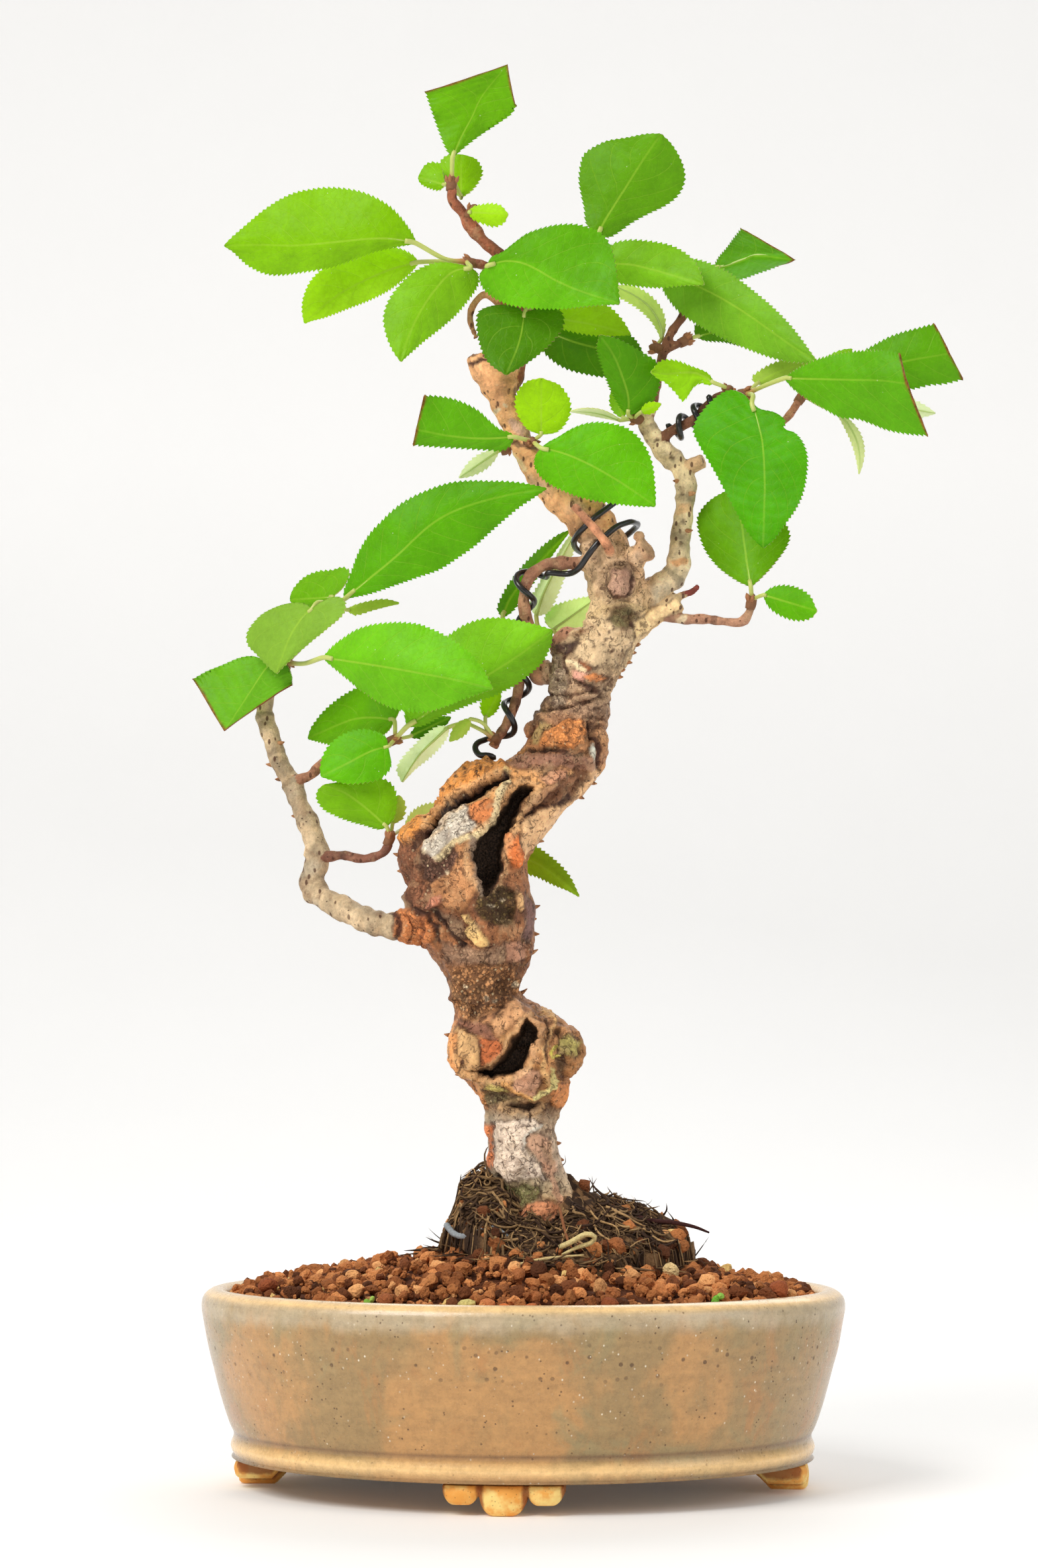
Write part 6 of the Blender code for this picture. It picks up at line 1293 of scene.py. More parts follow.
LIMBS = (
    Limb(((22, 209, 0, 6.0), (20.5, 217, 0, 6.0), (18, 224, 0, 5.4), (13.5, 228.8, 0, 4.9),
          (9, 233, 0, 4.5), (3, 240, 0, 3.5), (0, 245, 0, 2.9), (-2.5, 250, 0, 2.8),
          (-4.6, 256, 0, 3.5), (-5.9, 260.5, 0.3, 4.9), (-6.4, 263.4, 0.5, 6.1), (-6.9, 267.2, 0.6, 6.6)),
         (228, 170, 118)),
    Limb(((-4.5, 257, 1, 2.2), (-1, 262, 2.5, 2.0), (-1.6, 270, 1.5, 1.6), (-4.6, 278, 0.5, 1.7),
          (-5.2, 284, 0, 1.5), (-5, 290, 0, 1.6), (-9.7, 294.6, 0, 1.5), (-12.5, 298.4, 0, 1.7),
          (-14.4, 301.3, 0, 1.3), (-16.7, 304.2, 0, 1.2), (-16.6, 307.2, 0, 1.1)), (150, 88, 60)),
    Limb(((-5.0, 277.5, 0, 1.2), (-1, 277.6, -1.2, 1.0), (1.6, 277.4, -1.6, 1.0)), (150, 96, 70)),
    Limb(((-5.2, 286.5, 0, 1.2), (-9, 288.2, -0.6, 1.1), (-11.6, 288.8, -0.8, 1.2)), (130, 80, 58)),
    Limb(((-5.1, 283.5, 0, 1.2), (1, 286, 3, 1.1), (8, 288.5, 4.5, 1.0), (13.5, 291.5, 5, 1.0)),
         (150, 96, 70)),
    Limb(((-5.0, 278.5, 0, 1.0), (-8.6, 281.2, -0.8, 0.9), (-11.6, 278.6, -1.2, 0.8),
          (-12.4, 274.9, -1.2, 0.8), (-10.9, 270.4, -1.0, 0.7)), (176, 128, 88)),
    Limb(((-18, 130, -1, 4.8), (-24, 130, -1.5, 4.2), (-33, 130.2, -2, 3.2), (-40, 133, -2, 2.9),
          (-47, 136.5, -1.5, 2.9), (-49.5, 140.2, -1, 3.2), (-48.2, 146, -0.5, 2.9),
          (-49.5, 151.5, 0, 2.7), (-52.5, 158.5, 0.5, 2.5), (-54.5, 164, 1, 2.6), (-57, 168, 1, 2.3),
          (-59, 174, 1, 2.3), (-61, 180.5, 1, 2.2), (-59.5, 187, 1, 1.8), (-55.5, 194, 1, 1.6),
          (-49, 200.5, 1, 1.3), (-45, 204.8, 0.5, 1.2)), (192, 168, 134)),
    Limb(((-23, 133, -2, 2.4), (-27, 137.6, -2, 1.6)), (92, 52, 42)),
    Limb(((-48, 146, -1, 1.4), (-42.5, 146.6, -1.5, 1.2), (-37.5, 145.8, -1.5, 1.1),
          (-33, 147, -1, 1.0), (-31.4, 149.4, -1, 1.0)), (128, 84, 66)),
    Limb(((-55, 164, 0, 1.4), (-50, 165.6, 0.5, 1.2), (-47.2, 168.5, 1.5, 1.1), (-41, 171, 1.5, 1.0),
          (-35, 172.2, 0.5, 1.0), (-31.2, 173.2, 0, 1.0)), (160, 112, 84)),
    HANGING,
    Limb(((24, 204, 1, 4.0), (28.5, 207.5, 1, 3.6), (32.5, 210.6, 1, 3.0), (36.3, 213.6, 1, 2.9),
          (37.3, 217.5, 1, 3.0), (37.8, 223, 1.5, 2.5), (38.8, 230, 2, 2.4), (39, 235.5, 2, 2.7),
          (37.5, 239.5, 2, 2.4), (34, 243, 1.5, 2.6), (31, 247, 1, 2.2), (29.5, 250.5, 1, 2.0),
          (30.6, 253.6, 1, 1.7)), (226, 202, 160)),
    Limb(((38, 238.6, 2, 1.8), (43.2, 240.8, 1, 1.7)), (196, 160, 122)),
    Limb(((30.2, 252, 1, 1.5), (31.4, 256, 2, 1.3), (33, 264, 4, 1.2), (35.3, 271, 6, 1.1),
          (38.6, 276, 8, 1.1), (40, 280.5, 9, 1.0)), (140, 92, 66)),
    Limb(((34.4, 267.5, 5, 1.0), (38.4, 269.6, 7, 0.9)), (140, 92, 66)),
    RIGHT_TWIG,
    Limb(((50.5, 256.8, -1, 1.0), (55.2, 252.2, 1.5, 0.95), (60.2, 249.2, 3, 0.9),
          (63.6, 251.6, 3, 0.9), (66.2, 255.4, 3, 0.9)), (150, 100, 76)),
    Limb(((21, 196, 1, 3.6), (27, 200.6, 0, 2.7), (32, 203.8, 0, 2.3), (37.2, 207, 0, 2.2)),
         (236, 196, 136)),
    Limb(((35.4, 206.5, 0, 1.0), (38.2, 208.6, -0.5, 0.8), (40.2, 209.2, -0.5, 0.8),
          (42, 210.8, -0.5, 0.7)), (142, 66, 56)),
    Limb(((32, 204, 0, 1.6), (38, 202.8, 0, 1.25), (43.5, 202.8, 0, 1.15), (48, 202.2, 0, 1.1),
          (52, 202, 0, 1.15), (53.8, 204, 0, 1.1), (54.6, 206, 0, 1.0)), (168, 124, 98)),
    Limb(((23.5, 213, -3, 3.4), (27.2, 217.6, -6, 2.7), (30, 219.8, -8, 2.6)), (190, 148, 112)),
    Limb(((21.4, 217.6, -4.5, 1.6), (20.4, 220.2, -9.6, 1.2), (18.2, 223.4, -11.4, 1.1),
          (12.4, 230, -9.6, 1.0)), (206, 142, 104)),
)

# Swellings: (x, z, depth, radius)
BURLS = ((8, 100.5, -3, 6.6), (-9, 101, -3.5, 8.2), (23, 211.4, -2.5, 5.0), (11.5, 196, -2.0, 4.8),
         (-13.6, 159.2, 0, 3.4), (-21, 136, -4, 7.0), (12.5, 172.5, -1, 8.0), (4.5, 190, 1, 3.2),
         (2.6, 176.5, 0, 2.2), (-1, 74.6, -7.2, 1.7), (1.7, 69.8, -7.4, 1.3), (34.1, 243.5, -0.6, 1.6),
         (28, 222.6, -6.4, 1.3))


@dataclass(frozen=True)
class Region:
    """A patch of the trunk's front.

    outline: its edge in (x, z). lift: how far it stands out, or sinks in under 0. rough: how crumbly
    it is; none leaves that as it was. soft: the width of its edge. amount: how opaque its tint is.
    """
    outline: tuple
    tint: tuple
    lift: float = 0.0
    rough: float | None = None
    soft: float = 0.45
    amount: float = 0.95


@dataclass(frozen=True)
class Line:
    """A stroke on the front.

    path: its middle line in (x, z). half: its half width. lift: how far it stands out, or sinks in
    under 0. amount: how opaque its tint is.
    """
    path: tuple
    half: float
    tint: tuple
    lift: float = 0.0
    amount: float = 0.9


# Hollows and grooves on the front: outline in (x, z), depth
HOLLOWS = (
    (((-4.8, 158.0), (-6.8, 155.0), (-10.8, 151.8), (-12.2, 149.0), (-12.5, 146.0), (-12.2, 142.0),
      (-11.0, 139.8), (-8.8, 137.4), (-7.4, 138.6), (-5.2, 140.4), (-4.6, 143.0), (-4.6, 147.0),
      (-4.0, 150.4), (-2.4, 153.0), (-1.2, 156.4), (0.8, 159.6), (3.0, 161.8), (3.2, 163.0),
      (-0.6, 163.4), (-2.6, 161.0)), 8.5),
    (((1.6, 108.4), (3.4, 106.0), (4.4, 104.4), (3.6, 102.0), (2.4, 100.0), (1.6, 98.0), (0.0, 96.0),
      (-2.0, 94.8), (-4.6, 94.2), (-8.0, 93.6), (-10.4, 94.2), (-13.2, 96.2), (-12.0, 96.9),
      (-9.6, 96.4), (-7.0, 97.0), (-4.8, 98.8), (-4.4, 100.0), (-3.0, 102.0), (-1.4, 104.4),
      (0.0, 106.6)), 8.0),
    (((-21.5, 150.6), (-20.8, 153.6), (-19.8, 154.9), (-17.4, 156.2), (-13.0, 159.6), (-9.0, 162.0),
      (-5.0, 164.4), (-3.6, 165.0), (-5.0, 163.4), (-9.0, 160.6), (-13.0, 158.4), (-16.5, 156.0),
      (-18.5, 153.4), (-20.0, 151.4)), 3.2),
    (((-4.6, 87.8), (-2.0, 88.4), (1.4, 88.5), (3.6, 88.0), (2.9, 86.7), (1.0, 86.4), (-0.4, 87.0),
      (-2.6, 87.2)), 2.2),
)

# Bare wood, plates of bark, scars and other patches on the front, each over those before it
REGIONS = (
    Region(((-28.5, 149.0), (-25.5, 152.8), (-21.0, 155.0), (-19.0, 157.5), (-15.5, 162.5), (-13.5, 165.8),
            (-9.0, 167.3), (-4.5, 168.3), (-2.6, 167.2), (-2.8, 165.2), (-6.0, 164.2), (-9.0, 162.0),
            (-13.0, 159.4), (-16.5, 156.4), (-19.5, 154.6), (-21.0, 152.2), (-22.5, 149.6),
            (-24.5, 148.2)), (226, 146, 70), 1.6, 0.25),
    Region(((-23.4, 147.8), (-22.2, 149.8), (-20.4, 151.2), (-18.5, 153.4), (-16.4, 156.0), (-13.0, 158.2),
            (-12.2, 157.4), (-12.4, 155.4), (-10.5, 153.0), (-13.2, 151.4), (-16.2, 149.8), (-18.6, 147.6),
            (-20.4, 145.4), (-21.6, 145.8)), (236, 224, 204), 0.5, 0.5),
    Region(((-12.4, 157.0), (-8.2, 160.2), (-6.4, 158.0), (-7.6, 155.4), (-10.0, 153.4), (-11.6, 154.2)),
           (234, 142, 82), 0.3),
    Region(((-16.0, 150.0), (-11.6, 151.0), (-12.0, 146.0), (-11.4, 141.6), (-10.0, 139.0), (-12.0, 136.0),
            (-14.6, 133.0), (-18.4, 134.4), (-21.6, 138.0), (-21.8, 140.6), (-18.6, 141.6),
            (-16.4, 143.4), (-15.4, 146.0), (-16.0, 148.0)), (204, 142, 92), 0.9, 0.25),
    Region(((-19.8, 146.4), (-16.4, 149.0), (-15.4, 146.6), (-16.2, 143.6), (-18.6, 141.4), (-21.0, 140.4),
            (-23.0, 141.0), (-24.0, 144.6), (-23.6, 147.4), (-22.0, 146.4), (-20.6, 145.0)),
           (120, 86, 70), 0.2, 1.0),
    Region(((-29.6, 147.0), (-28.0, 148.8), (-24.4, 148.4), (-24.8, 145.0), (-23.4, 141.0), (-22.0, 138.0),
            (-22.8, 135.0), (-20.0, 133.0), (-24.0, 132.6), (-26.4, 136.0), (-28.0, 141.0),
            (-28.8, 144.0)), (140, 90, 62), 0.0, 0.5),
    Region(((-9.0, 138.4), (-4.0, 139.6), (-1.4, 138.0), (-1.4, 134.0), (-2.4, 130.4), (-6.0, 129.8),
            (-10.0, 131.4), (-11.4, 134.0), (-10.4, 137.0)), (96, 78, 42), -0.6, 1.0),
    Region(((-14.6, 132.8), (-12.8, 133.0), (-11.0, 130.2), (-9.4, 128.2), (-7.8, 126.2), (-8.0, 125.2),
            (-10.4, 125.4), (-12.2, 126.8), (-13.6, 128.8), (-12.4, 130.0)), (248, 204, 132), 1.0, 0.0, 0.25),
    Region(((-1.2, 137.4), (-0.2, 137.0), (0.4, 135.0), (-0.2, 133.2), (-1.2, 134.4)), (244, 192, 130),
           0.7, 0.0, 0.25),
    Region(((-3.6, 151.4), (-1.4, 151.8), (-1.0, 149.0), (-0.6, 146.0), (-0.8, 144.0), (-2.4, 143.6),
            (-3.6, 145.6), (-4.0, 148.6)), (242, 132, 68), 0.9, 0.3),
    Region(((-0.6, 154.4), (2.0, 156.6), (5.4, 158.4), (9.0, 158.8), (12.0, 161.2), (14.0, 164.6),
            (16.0, 168.0), (17.4, 169.0), (18.4, 166.6), (16.8, 164.0), (13.6, 160.8), (11.0, 158.0),
            (8.6, 155.4), (6.4, 152.8), (5.0, 150.6), (3.0, 149.4), (0.6, 146.8), (0.0, 144.4),
            (-0.6, 148.0), (-0.8, 152.0)), (242, 194, 142), 0.5, 0.0),
    Region(((1.0, 155.6), (3.6, 157.4), (6.4, 158.2), (9.6, 158.6), (12.0, 160.6), (13.8, 163.2),
            (15.2, 166.0), (15.0, 169.2), (12.6, 170.4), (8.6, 170.2), (6.0, 171.4), (2.0, 170.4),
            (0.0, 169.4), (-1.6, 167.8), (-1.2, 166.4), (2.0, 166.6), (4.6, 166.8), (7.0, 167.8),
            (10.0, 168.2), (12.4, 167.2), (10.4, 164.4), (7.8, 162.2), (5.0, 160.2), (2.4, 158.6),
            (0.0, 156.6)), (142, 96, 66), -0.7, 0.2),
    Region(((4.0, 165.4), (7.0, 167.2), (10.6, 167.0), (10.6, 164.8), (8.0, 163.4), (5.4, 163.6)),
           (212, 152, 116), 0.7, 0.0),
    Region(((0.0, 157.6), (2.6, 160.6), (5.4, 162.8), (8.6, 164.2), (8.4, 162.8), (5.2, 160.0),
            (2.6, 157.8), (0.4, 156.0)), (196, 146, 104), 0.9, 0.1, 0.3),
    Region(((4.0, 172.6), (5.6, 175.6), (8.0, 177.4), (11.0, 178.8), (14.6, 178.6), (15.6, 176.0),
            (15.0, 173.6), (12.0, 171.6), (8.0, 172.0)), (236, 150, 84), 0.5, 0.5),
    Region(((2.8, 172.6), (4.0, 172.8), (5.6, 175.8), (7.4, 177.4), (5.2, 178.4), (3.0, 176.0)),
           (184, 152, 100), 0.2, 0.2),
    Region(((16.2, 172.4), (17.2, 173.4), (18.0, 172.0), (17.4, 169.4), (16.8, 168.2), (16.4, 170.0)),
           (210, 214, 198), 0.2, 0.0, 0.25),
    Region(((-23.0, 134.2), (-21.4, 136.6), (-19.2, 137.6), (-18.6, 136.2), (-20.2, 134.4),
            (-21.8, 133.6)), (216, 144, 112), 1.0, 0.1, 0.3),
    Region(((-20.0, 134.0), (-14.0, 131.0), (-13.0, 127.0), (-16.0, 128.0)), (146, 114, 86), 0.7, 0.3),
    Region(((-30.0, 133.5), (-26.0, 134.4), (-22.6, 132.4), (-19.8, 129.6), (-20.4, 126.6), (-23.0, 124.6),
            (-27.0, 125.2), (-30.6, 127.6)), (214, 132, 76), 0.9, 0.4),
    Region(((0.0, 137.6), (2.6, 134.6), (2.2, 128.0), (1.2, 126.0), (-0.4, 127.0), (-0.2, 131.0),
            (0.4, 134.0)), (126, 92, 84), 0.0, 0.2),
    Region(((-19.0, 126.0), (-9.0, 124.6), (-3.6, 126.2), (-3.6, 121.4), (-10.0, 121.0), (-18.4, 121.4)),
           (164, 134, 108), 0.1, 0.4, 0.9, 0.75),
    Region(((-4.0, 126.2), (0.6, 126.0), (1.0, 122.0), (-3.0, 121.4)), (206, 150, 118), 0.2, 0.1),
    Region(((-17.4, 120.6), (-1.0, 121.0), (-0.6, 115.0), (-2.4, 112.4), (-5.0, 109.6), (-9.0, 108.4),
            (-13.0, 107.4), (-15.6, 110.0), (-16.6, 115.0)), (184, 130, 84), -0.3, 1.0, 0.9),
    Region(((-2.0, 113.4), (0.0, 112.0), (0.8, 109.4), (0.0, 108.2), (-2.6, 106.4), (-4.0, 104.6),
            (-5.6, 103.6), (-8.0, 106.6), (-6.0, 108.8)), (228, 170, 118), 0.6, 0.0),
    Region(((-16.0, 108.6), (-13.6, 107.2), (-10.0, 107.2), (-8.6, 106.4), (-5.6, 103.2), (-8.0, 103.0),
            (-11.8, 104.6), (-13.6, 106.0), (-15.4, 108.0)), (174, 118, 92), -0.3, 0.2),
    Region(((-15.0, 106.6), (-12.0, 104.6), (-9.6, 102.4), (-10.0, 99.6), (-10.0, 96.6), (-12.6, 96.4),
            (-13.6, 98.4), (-15.0, 101.0), (-15.6, 104.4)), (218, 172, 116), 0.6, 0.0),
    Region(((-10.0, 103.4), (-5.4, 103.2), (-4.6, 101.0), (-4.8, 99.8), (-6.8, 97.8), (-9.6, 96.8),
            (-9.8, 99.0)), (214, 116, 64), 0.3, 0.2),
    Region(((-2.0, 90.0), (3.2, 90.0), (4.6, 93.0), (4.0, 96.0), (1.4, 96.6), (-2.0, 94.6)),
           (200, 150, 118), 0.3, 0.1),
    Region(((8.6, 100.0), (13.2, 99.4), (13.4, 102.6), (11.0, 104.4), (8.8, 103.6)), (188, 174, 98),
           0.3, 0.3, 0.7),
    Region(((7.6, 95.0), (9.4, 94.6), (10.2, 97.6), (9.2, 99.4), (7.8, 98.6)), (140, 108, 76), -0.2, 0.3),
    Region(((7.0, 93.0), (10.6, 93.4), (10.2, 89.0), (8.8, 87.0), (6.8, 88.0)), (236, 156, 94), 0.3, 0.2),
    Region(((-8.4, 93.2), (-5.0, 92.8), (-3.0, 91.4), (-5.4, 90.8), (-9.0, 91.4)), (204, 188, 106),
           0.2, 0.4),
    Region(((-9.0, 91.0), (-4.0, 91.0), (0.4, 89.6), (-1.0, 88.4), (-8.6, 88.2)), (122, 110, 76),
           -0.2, 0.7, 0.7),
    Region(((-6.6, 84.0), (-7.0, 78.0), (-6.4, 73.0), (-4.0, 70.6), (-1.6, 70.0), (1.4, 70.6), (3.0, 71.2),
            (5.6, 70.4), (4.4, 73.6), (2.0, 75.8), (0.2, 77.6), (0.6, 80.2), (2.4, 82.0), (4.6, 83.2),
            (2.0, 85.0), (-2.0, 84.4)), (244, 222, 198), 0.4, 0.2),
    Region(((-8.8, 84.0), (-7.0, 83.0), (-6.6, 78.0), (-6.8, 74.0), (-7.8, 72.4), (-8.8, 73.2),
            (-8.6, 78.0)), (236, 132, 72), 0.2, 0.2),
    Region(((0.4, 78.8), (1.6, 80.8), (4.0, 81.2), (6.2, 80.6), (7.0, 78.0), (7.4, 75.6), (8.6, 73.0),
            (8.0, 71.6), (5.8, 73.0), (4.0, 75.0), (2.4, 76.6)), (222, 174, 140), -0.1, 0.1),
    Region(((-4.6, 69.6), (-2.0, 69.0), (0.6, 69.4), (3.6, 69.4), (4.4, 67.4), (2.4, 65.0), (-0.4, 62.6),
            (-2.6, 62.0), (-4.6, 63.6)), (134, 130, 82), 0.1, 0.5),
    Region(((-1.6, 62.6), (1.4, 64.6), (4.4, 65.4), (7.4, 65.2), (10.4, 64.6), (12.6, 62.0), (11.0, 60.4),
            (9.0, 58.6), (6.0, 58.4), (3.0, 60.6), (0.4, 61.6)), (230, 152, 106), 0.6, 0.2),
    Region(((13.8, 187.6), (15.0, 186.0), (17.4, 185.2), (18.6, 185.3), (17.4, 187.0), (15.2, 187.9)),
           (86, 56, 44), -0.5, 0.2, 0.3),
    Region(((7.0, 181.0), (10.4, 181.6), (10.6, 190.0), (10.0, 194.0), (7.4, 194.2), (6.4, 187.0)),
           (176, 152, 126), 0.2, 0.7, 0.8),
    Region(((7.2, 194.4), (7.4, 196.4), (10.0, 196.8), (13.4, 197.8), (14.0, 198.0), (12.0, 194.8),
            (10.4, 194.4)), (66, 40, 36), 0.6, 0.2, 0.3),
    Region(((13.0, 193.4), (14.0, 193.6), (16.0, 192.6), (17.0, 190.8), (16.4, 190.2), (15.0, 190.2),
            (13.8, 191.2)), (150, 80, 42), 0.3, 0.1, 0.25),
    Region(((11.6, 190.6), (13.0, 191.0), (15.0, 190.0), (16.6, 189.6), (15.0, 188.0), (13.4, 187.8),
            (12.2, 188.6)), (232, 166, 144), 0.4, 0.0, 0.3),
    Region(((14.8, 188.8), (17.0, 190.0), (20.4, 188.8), (18.0, 187.6)), (230, 144, 82), 0.3, 0.1, 0.3),
    Region(((12.4, 194.0), (17.0, 191.4), (22.6, 191.6), (25.6, 196.0), (27.4, 202.4), (21.0, 202.6),
            (16.4, 203.0), (14.0, 199.0)), (230, 198, 154), 0.3, 0.0, 0.8),
    Region(((21.4, 201.0), (25.6, 200.4), (27.6, 203.4), (25.4, 206.0), (21.6, 205.4), (20.2, 203.0)),
           (130, 118, 76), -0.3, 0.4, 0.6),
    Region(((20.0, 209.0), (23.4, 207.6), (26.6, 209.4), (27.2, 212.4), (24.6, 215.0), (21.0, 214.4)),
           (184, 142, 118), 0.6, 0.2, 0.5),
    Region(((26.4, 198.0), (31.0, 201.0), (37.6, 205.6), (37.0, 208.2), (31.0, 205.0), (26.0, 201.6)),
           (246, 212, 156), 0.0, 0.0, 0.5),
)

# Cracks, folds and lit edges on the front, laid over the patches
LINES = (
    Line(((-17.0, 156.0), (-13.0, 158.8), (-9.4, 160.8), (-6.6, 162.6), (-4.0, 164.4), (-2.8, 166.4)), 0.4,
         (240, 204, 136), 0.5),
    Line(((-20.0, 145.6), (-16.0, 149.4), (-11.6, 151.2), (-9.6, 152.2), (-7.4, 154.2), (-6.4, 157.0),
          (-5.8, 159.4), (-4.6, 161.6), (-3.0, 163.6)), 0.7, (244, 220, 168), 0.9),
    Line(((-12.0, 150.6), (-12.2, 146.0), (-11.7, 141.6), (-10.9, 139.6), (-9.4, 137.2)), 0.55,
         (156, 134, 112), 0.7),
    Line(((-0.6, 154.4), (2.0, 157.0), (5.0, 158.6), (7.0, 158.2), (9.8, 158.8), (11.6, 160.6)), 0.3,
         (74, 46, 38), -0.6),
    Line(((-1.0, 168.2), (3.0, 169.2), (8.0, 169.4), (13.6, 168.8), (16.0, 168.2)), 1.3, (176, 128, 104),
         0.8, 0.7),
    Line(((0.6, 170.6), (3.0, 171.2), (6.0, 171.8), (9.4, 171.0), (12.0, 170.4), (14.8, 170.4)), 0.4,
         (72, 42, 32), -0.9),
    Line(((15.8, 178.0), (17.0, 175.0), (18.4, 173.4), (18.6, 171.0), (18.0, 167.4)), 0.5,
         (74, 38, 28), -1.0),
    Line(((-21.0, 134.0), (-18.0, 130.4), (-14.0, 125.6)), 0.8, (64, 44, 36), -1.2, 0.85),
    Line(((-16.4, 104.0), (-15.8, 99.0), (-14.4, 95.4), (-12.0, 92.6), (-9.4, 90.2), (-8.6, 87.6)), 0.7,
         (244, 166, 100), 0.5, 0.8),
    Line(((1.2, 109.0), (3.2, 107.0), (5.0, 104.8), (4.4, 103.0), (3.0, 101.4), (2.6, 99.6), (3.4, 98.0)),
         0.5, (222, 168, 118), 0.8),
    Line(((5.0, 110.6), (7.6, 108.4), (7.2, 105.6), (6.2, 103.0), (5.0, 100.6), (4.8, 97.6), (5.4, 94.6),
          (6.4, 92.4)), 0.5, (224, 176, 116), 0.8),
    Line(((8.0, 101.6), (6.6, 100.0), (7.0, 98.8), (9.0, 99.6)), 0.4, (210, 200, 84), 0.6),
    Line(((6.6, 96.4), (7.2, 94.4), (7.0, 92.2), (5.6, 90.8), (3.6, 90.0), (1.8, 89.2)), 0.45,
         (244, 230, 152), 0.7),
    Line(((-4.6, 93.4), (-3.0, 92.6), (-1.4, 91.0), (0.4, 90.0), (2.4, 89.6)), 0.4, (238, 176, 106), 0.6),
    Line(((5.8, 107.4), (6.4, 104.0), (5.4, 101.0), (5.6, 98.0)), 0.3, (92, 60, 42), -0.7, 0.8),
    Line(((8.6, 106.0), (9.0, 102.6), (8.2, 100.0)), 0.3, (110, 78, 50), -0.6, 0.7),
    Line(((1.8, 86.4), (1.8, 84.0)), 0.3, (60, 40, 30), -0.7),
    Line(((5.6, 74.0), (7.6, 70.0), (9.0, 66.0), (11.0, 62.0)), 0.8, (228, 168, 132), 0.3, 0.7),
    Line(((-6.0, 72.0), (-4.6, 70.0), (-4.6, 66.0)), 0.35, (60, 40, 32), -0.9),
    Line(((0.2, 77.8), (0.6, 80.4), (2.4, 82.2), (4.8, 83.0)), 0.3, (246, 236, 216), 0.3, 0.8),
    Line(((8.6, 73.0), (7.4, 75.8), (6.8, 79.4)), 0.3, (240, 206, 176), 0.3, 0.8),
    Line(((-16.4, 113.0), (-9.0, 111.0), (-3.4, 113.6)), 0.5, (104, 70, 48), 0.5, 0.5),
    Line(((10.4, 194.0), (10.6, 190.0), (11.4, 187.4)), 0.35, (84, 52, 38), -0.8),
    Line(((11.4, 192.6), (13.0, 191.8), (15.0, 190.4)), 0.45, (250, 226, 180), 0.4),
    Line(((16.0, 203.0), (19.0, 205.0), (21.0, 206.0), (25.0, 206.4), (29.0, 205.0)), 0.5, (216, 184, 132),
         0.6, 0.7),
    Line(((19.6, 213.0), (20.0, 210.0), (22.0, 208.0), (25.0, 208.4), (26.4, 210.6), (26.2, 213.0)), 0.45,
         (92, 60, 44), -0.7),
    Line(((15.6, 178.0), (20.6, 176.6)), 0.35, (110, 76, 56), -0.6, 0.7),
    Line(((16.0, 179.6), (21.0, 178.4)), 0.35, (110, 76, 56), -0.6, 0.7),
    Line(((17.4, 181.0), (20.8, 182.8)), 0.35, (110, 76, 56), -0.6, 0.7),
    Line(((4.0, 181.0), (11.0, 181.8), (19.0, 184.4)), 0.45, (116, 84, 64), -0.7, 0.7),
    Line(((5.6, 184.6), (12.0, 184.4), (18.4, 186.4)), 0.4, (116, 84, 64), -0.6, 0.6),
    Line(((9.0, 197.4), (12.4, 199.4), (16.0, 199.8)), 0.35, (150, 110, 80), -0.5, 0.5),
    Line(((2.8, 179.6), (4.0, 182.0), (6.4, 185.0), (7.0, 183.0)), 0.9, (78, 54, 42), 0.7, 0.7),
    Line(((2.4, 176.0), (3.4, 179.4), (5.4, 178.0)), 0.8, (84, 58, 44), 0.6, 0.7),
    Line(((-2.0, 250.0), (0.4, 247.2), (2.4, 244.6)), 1.2, (196, 168, 172), 0.0, 0.5),
    Line(((-2.6, 245.4), (3.0, 243.6)), 0.5, (84, 56, 46), -0.3, 0.8),
    Line(((-3.4, 243.6), (-1.4, 241.6), (0.6, 239.0)), 0.5, (240, 214, 166), 0.3, 0.8),
    Line(((2.0, 262.0), (-1.0, 257.0), (0.6, 252.0)), 1.0, (104, 78, 62), 0.4, 0.7),
    Line(((36.4, 216.4), (38.8, 216.6)), 0.9, (232, 158, 92), 0.2, 0.7),
    Line(((-13.4, 263.6), (-10.6, 265.2), (-8.0, 265.8)), 0.4, (78, 48, 38), -0.7),
    Line(((-13.8, 265.8), (-11.0, 267.2), (-8.4, 267.4)), 0.35, (96, 62, 48), -0.4),
    Line(((-21.6, 150.4), (-20.0, 153.8), (-17.2, 156.2), (-13.0, 159.2), (-9.0, 161.6), (-5.0, 163.9),
          (-3.6, 164.8)), 0.85, (40, 26, 20), -2.1, 1.0),
    Line(((-25.4, 147.4), (-23.4, 149.2), (-21.6, 151.4)), 0.4, (70, 42, 30), -0.8),
    Line(((-30.0, 133.0), (-28.8, 130.2), (-29.4, 127.4)), 0.7, (74, 40, 32), -0.6, 0.9),
    Line(((-19.6, 126.4), (-20.0, 129.6), (-22.4, 132.6), (-26.0, 134.6)), 0.5, (70, 42, 32), -0.8),
    Line(((-26.8, 126.6), (-25.4, 129.6), (-26.4, 132.6)), 0.4, (132, 76, 46), -0.5, 0.8),
    Line(((-23.4, 126.0), (-22.2, 129.0), (-23.2, 132.0)), 0.4, (132, 76, 46), -0.5, 0.8),
    Line(((37.6, 229.0), (40.4, 229.4)), 1.1, (226, 156, 96), 0.2, 0.7),
    Line(((37.4, 202.4), (38.2, 203.0)), 0.8, (248, 226, 184), 0.2, 0.9),
    Line(((39.6, 204.8), (40.2, 205.4)), 0.8, (248, 226, 184), 0.2, 0.9),
)

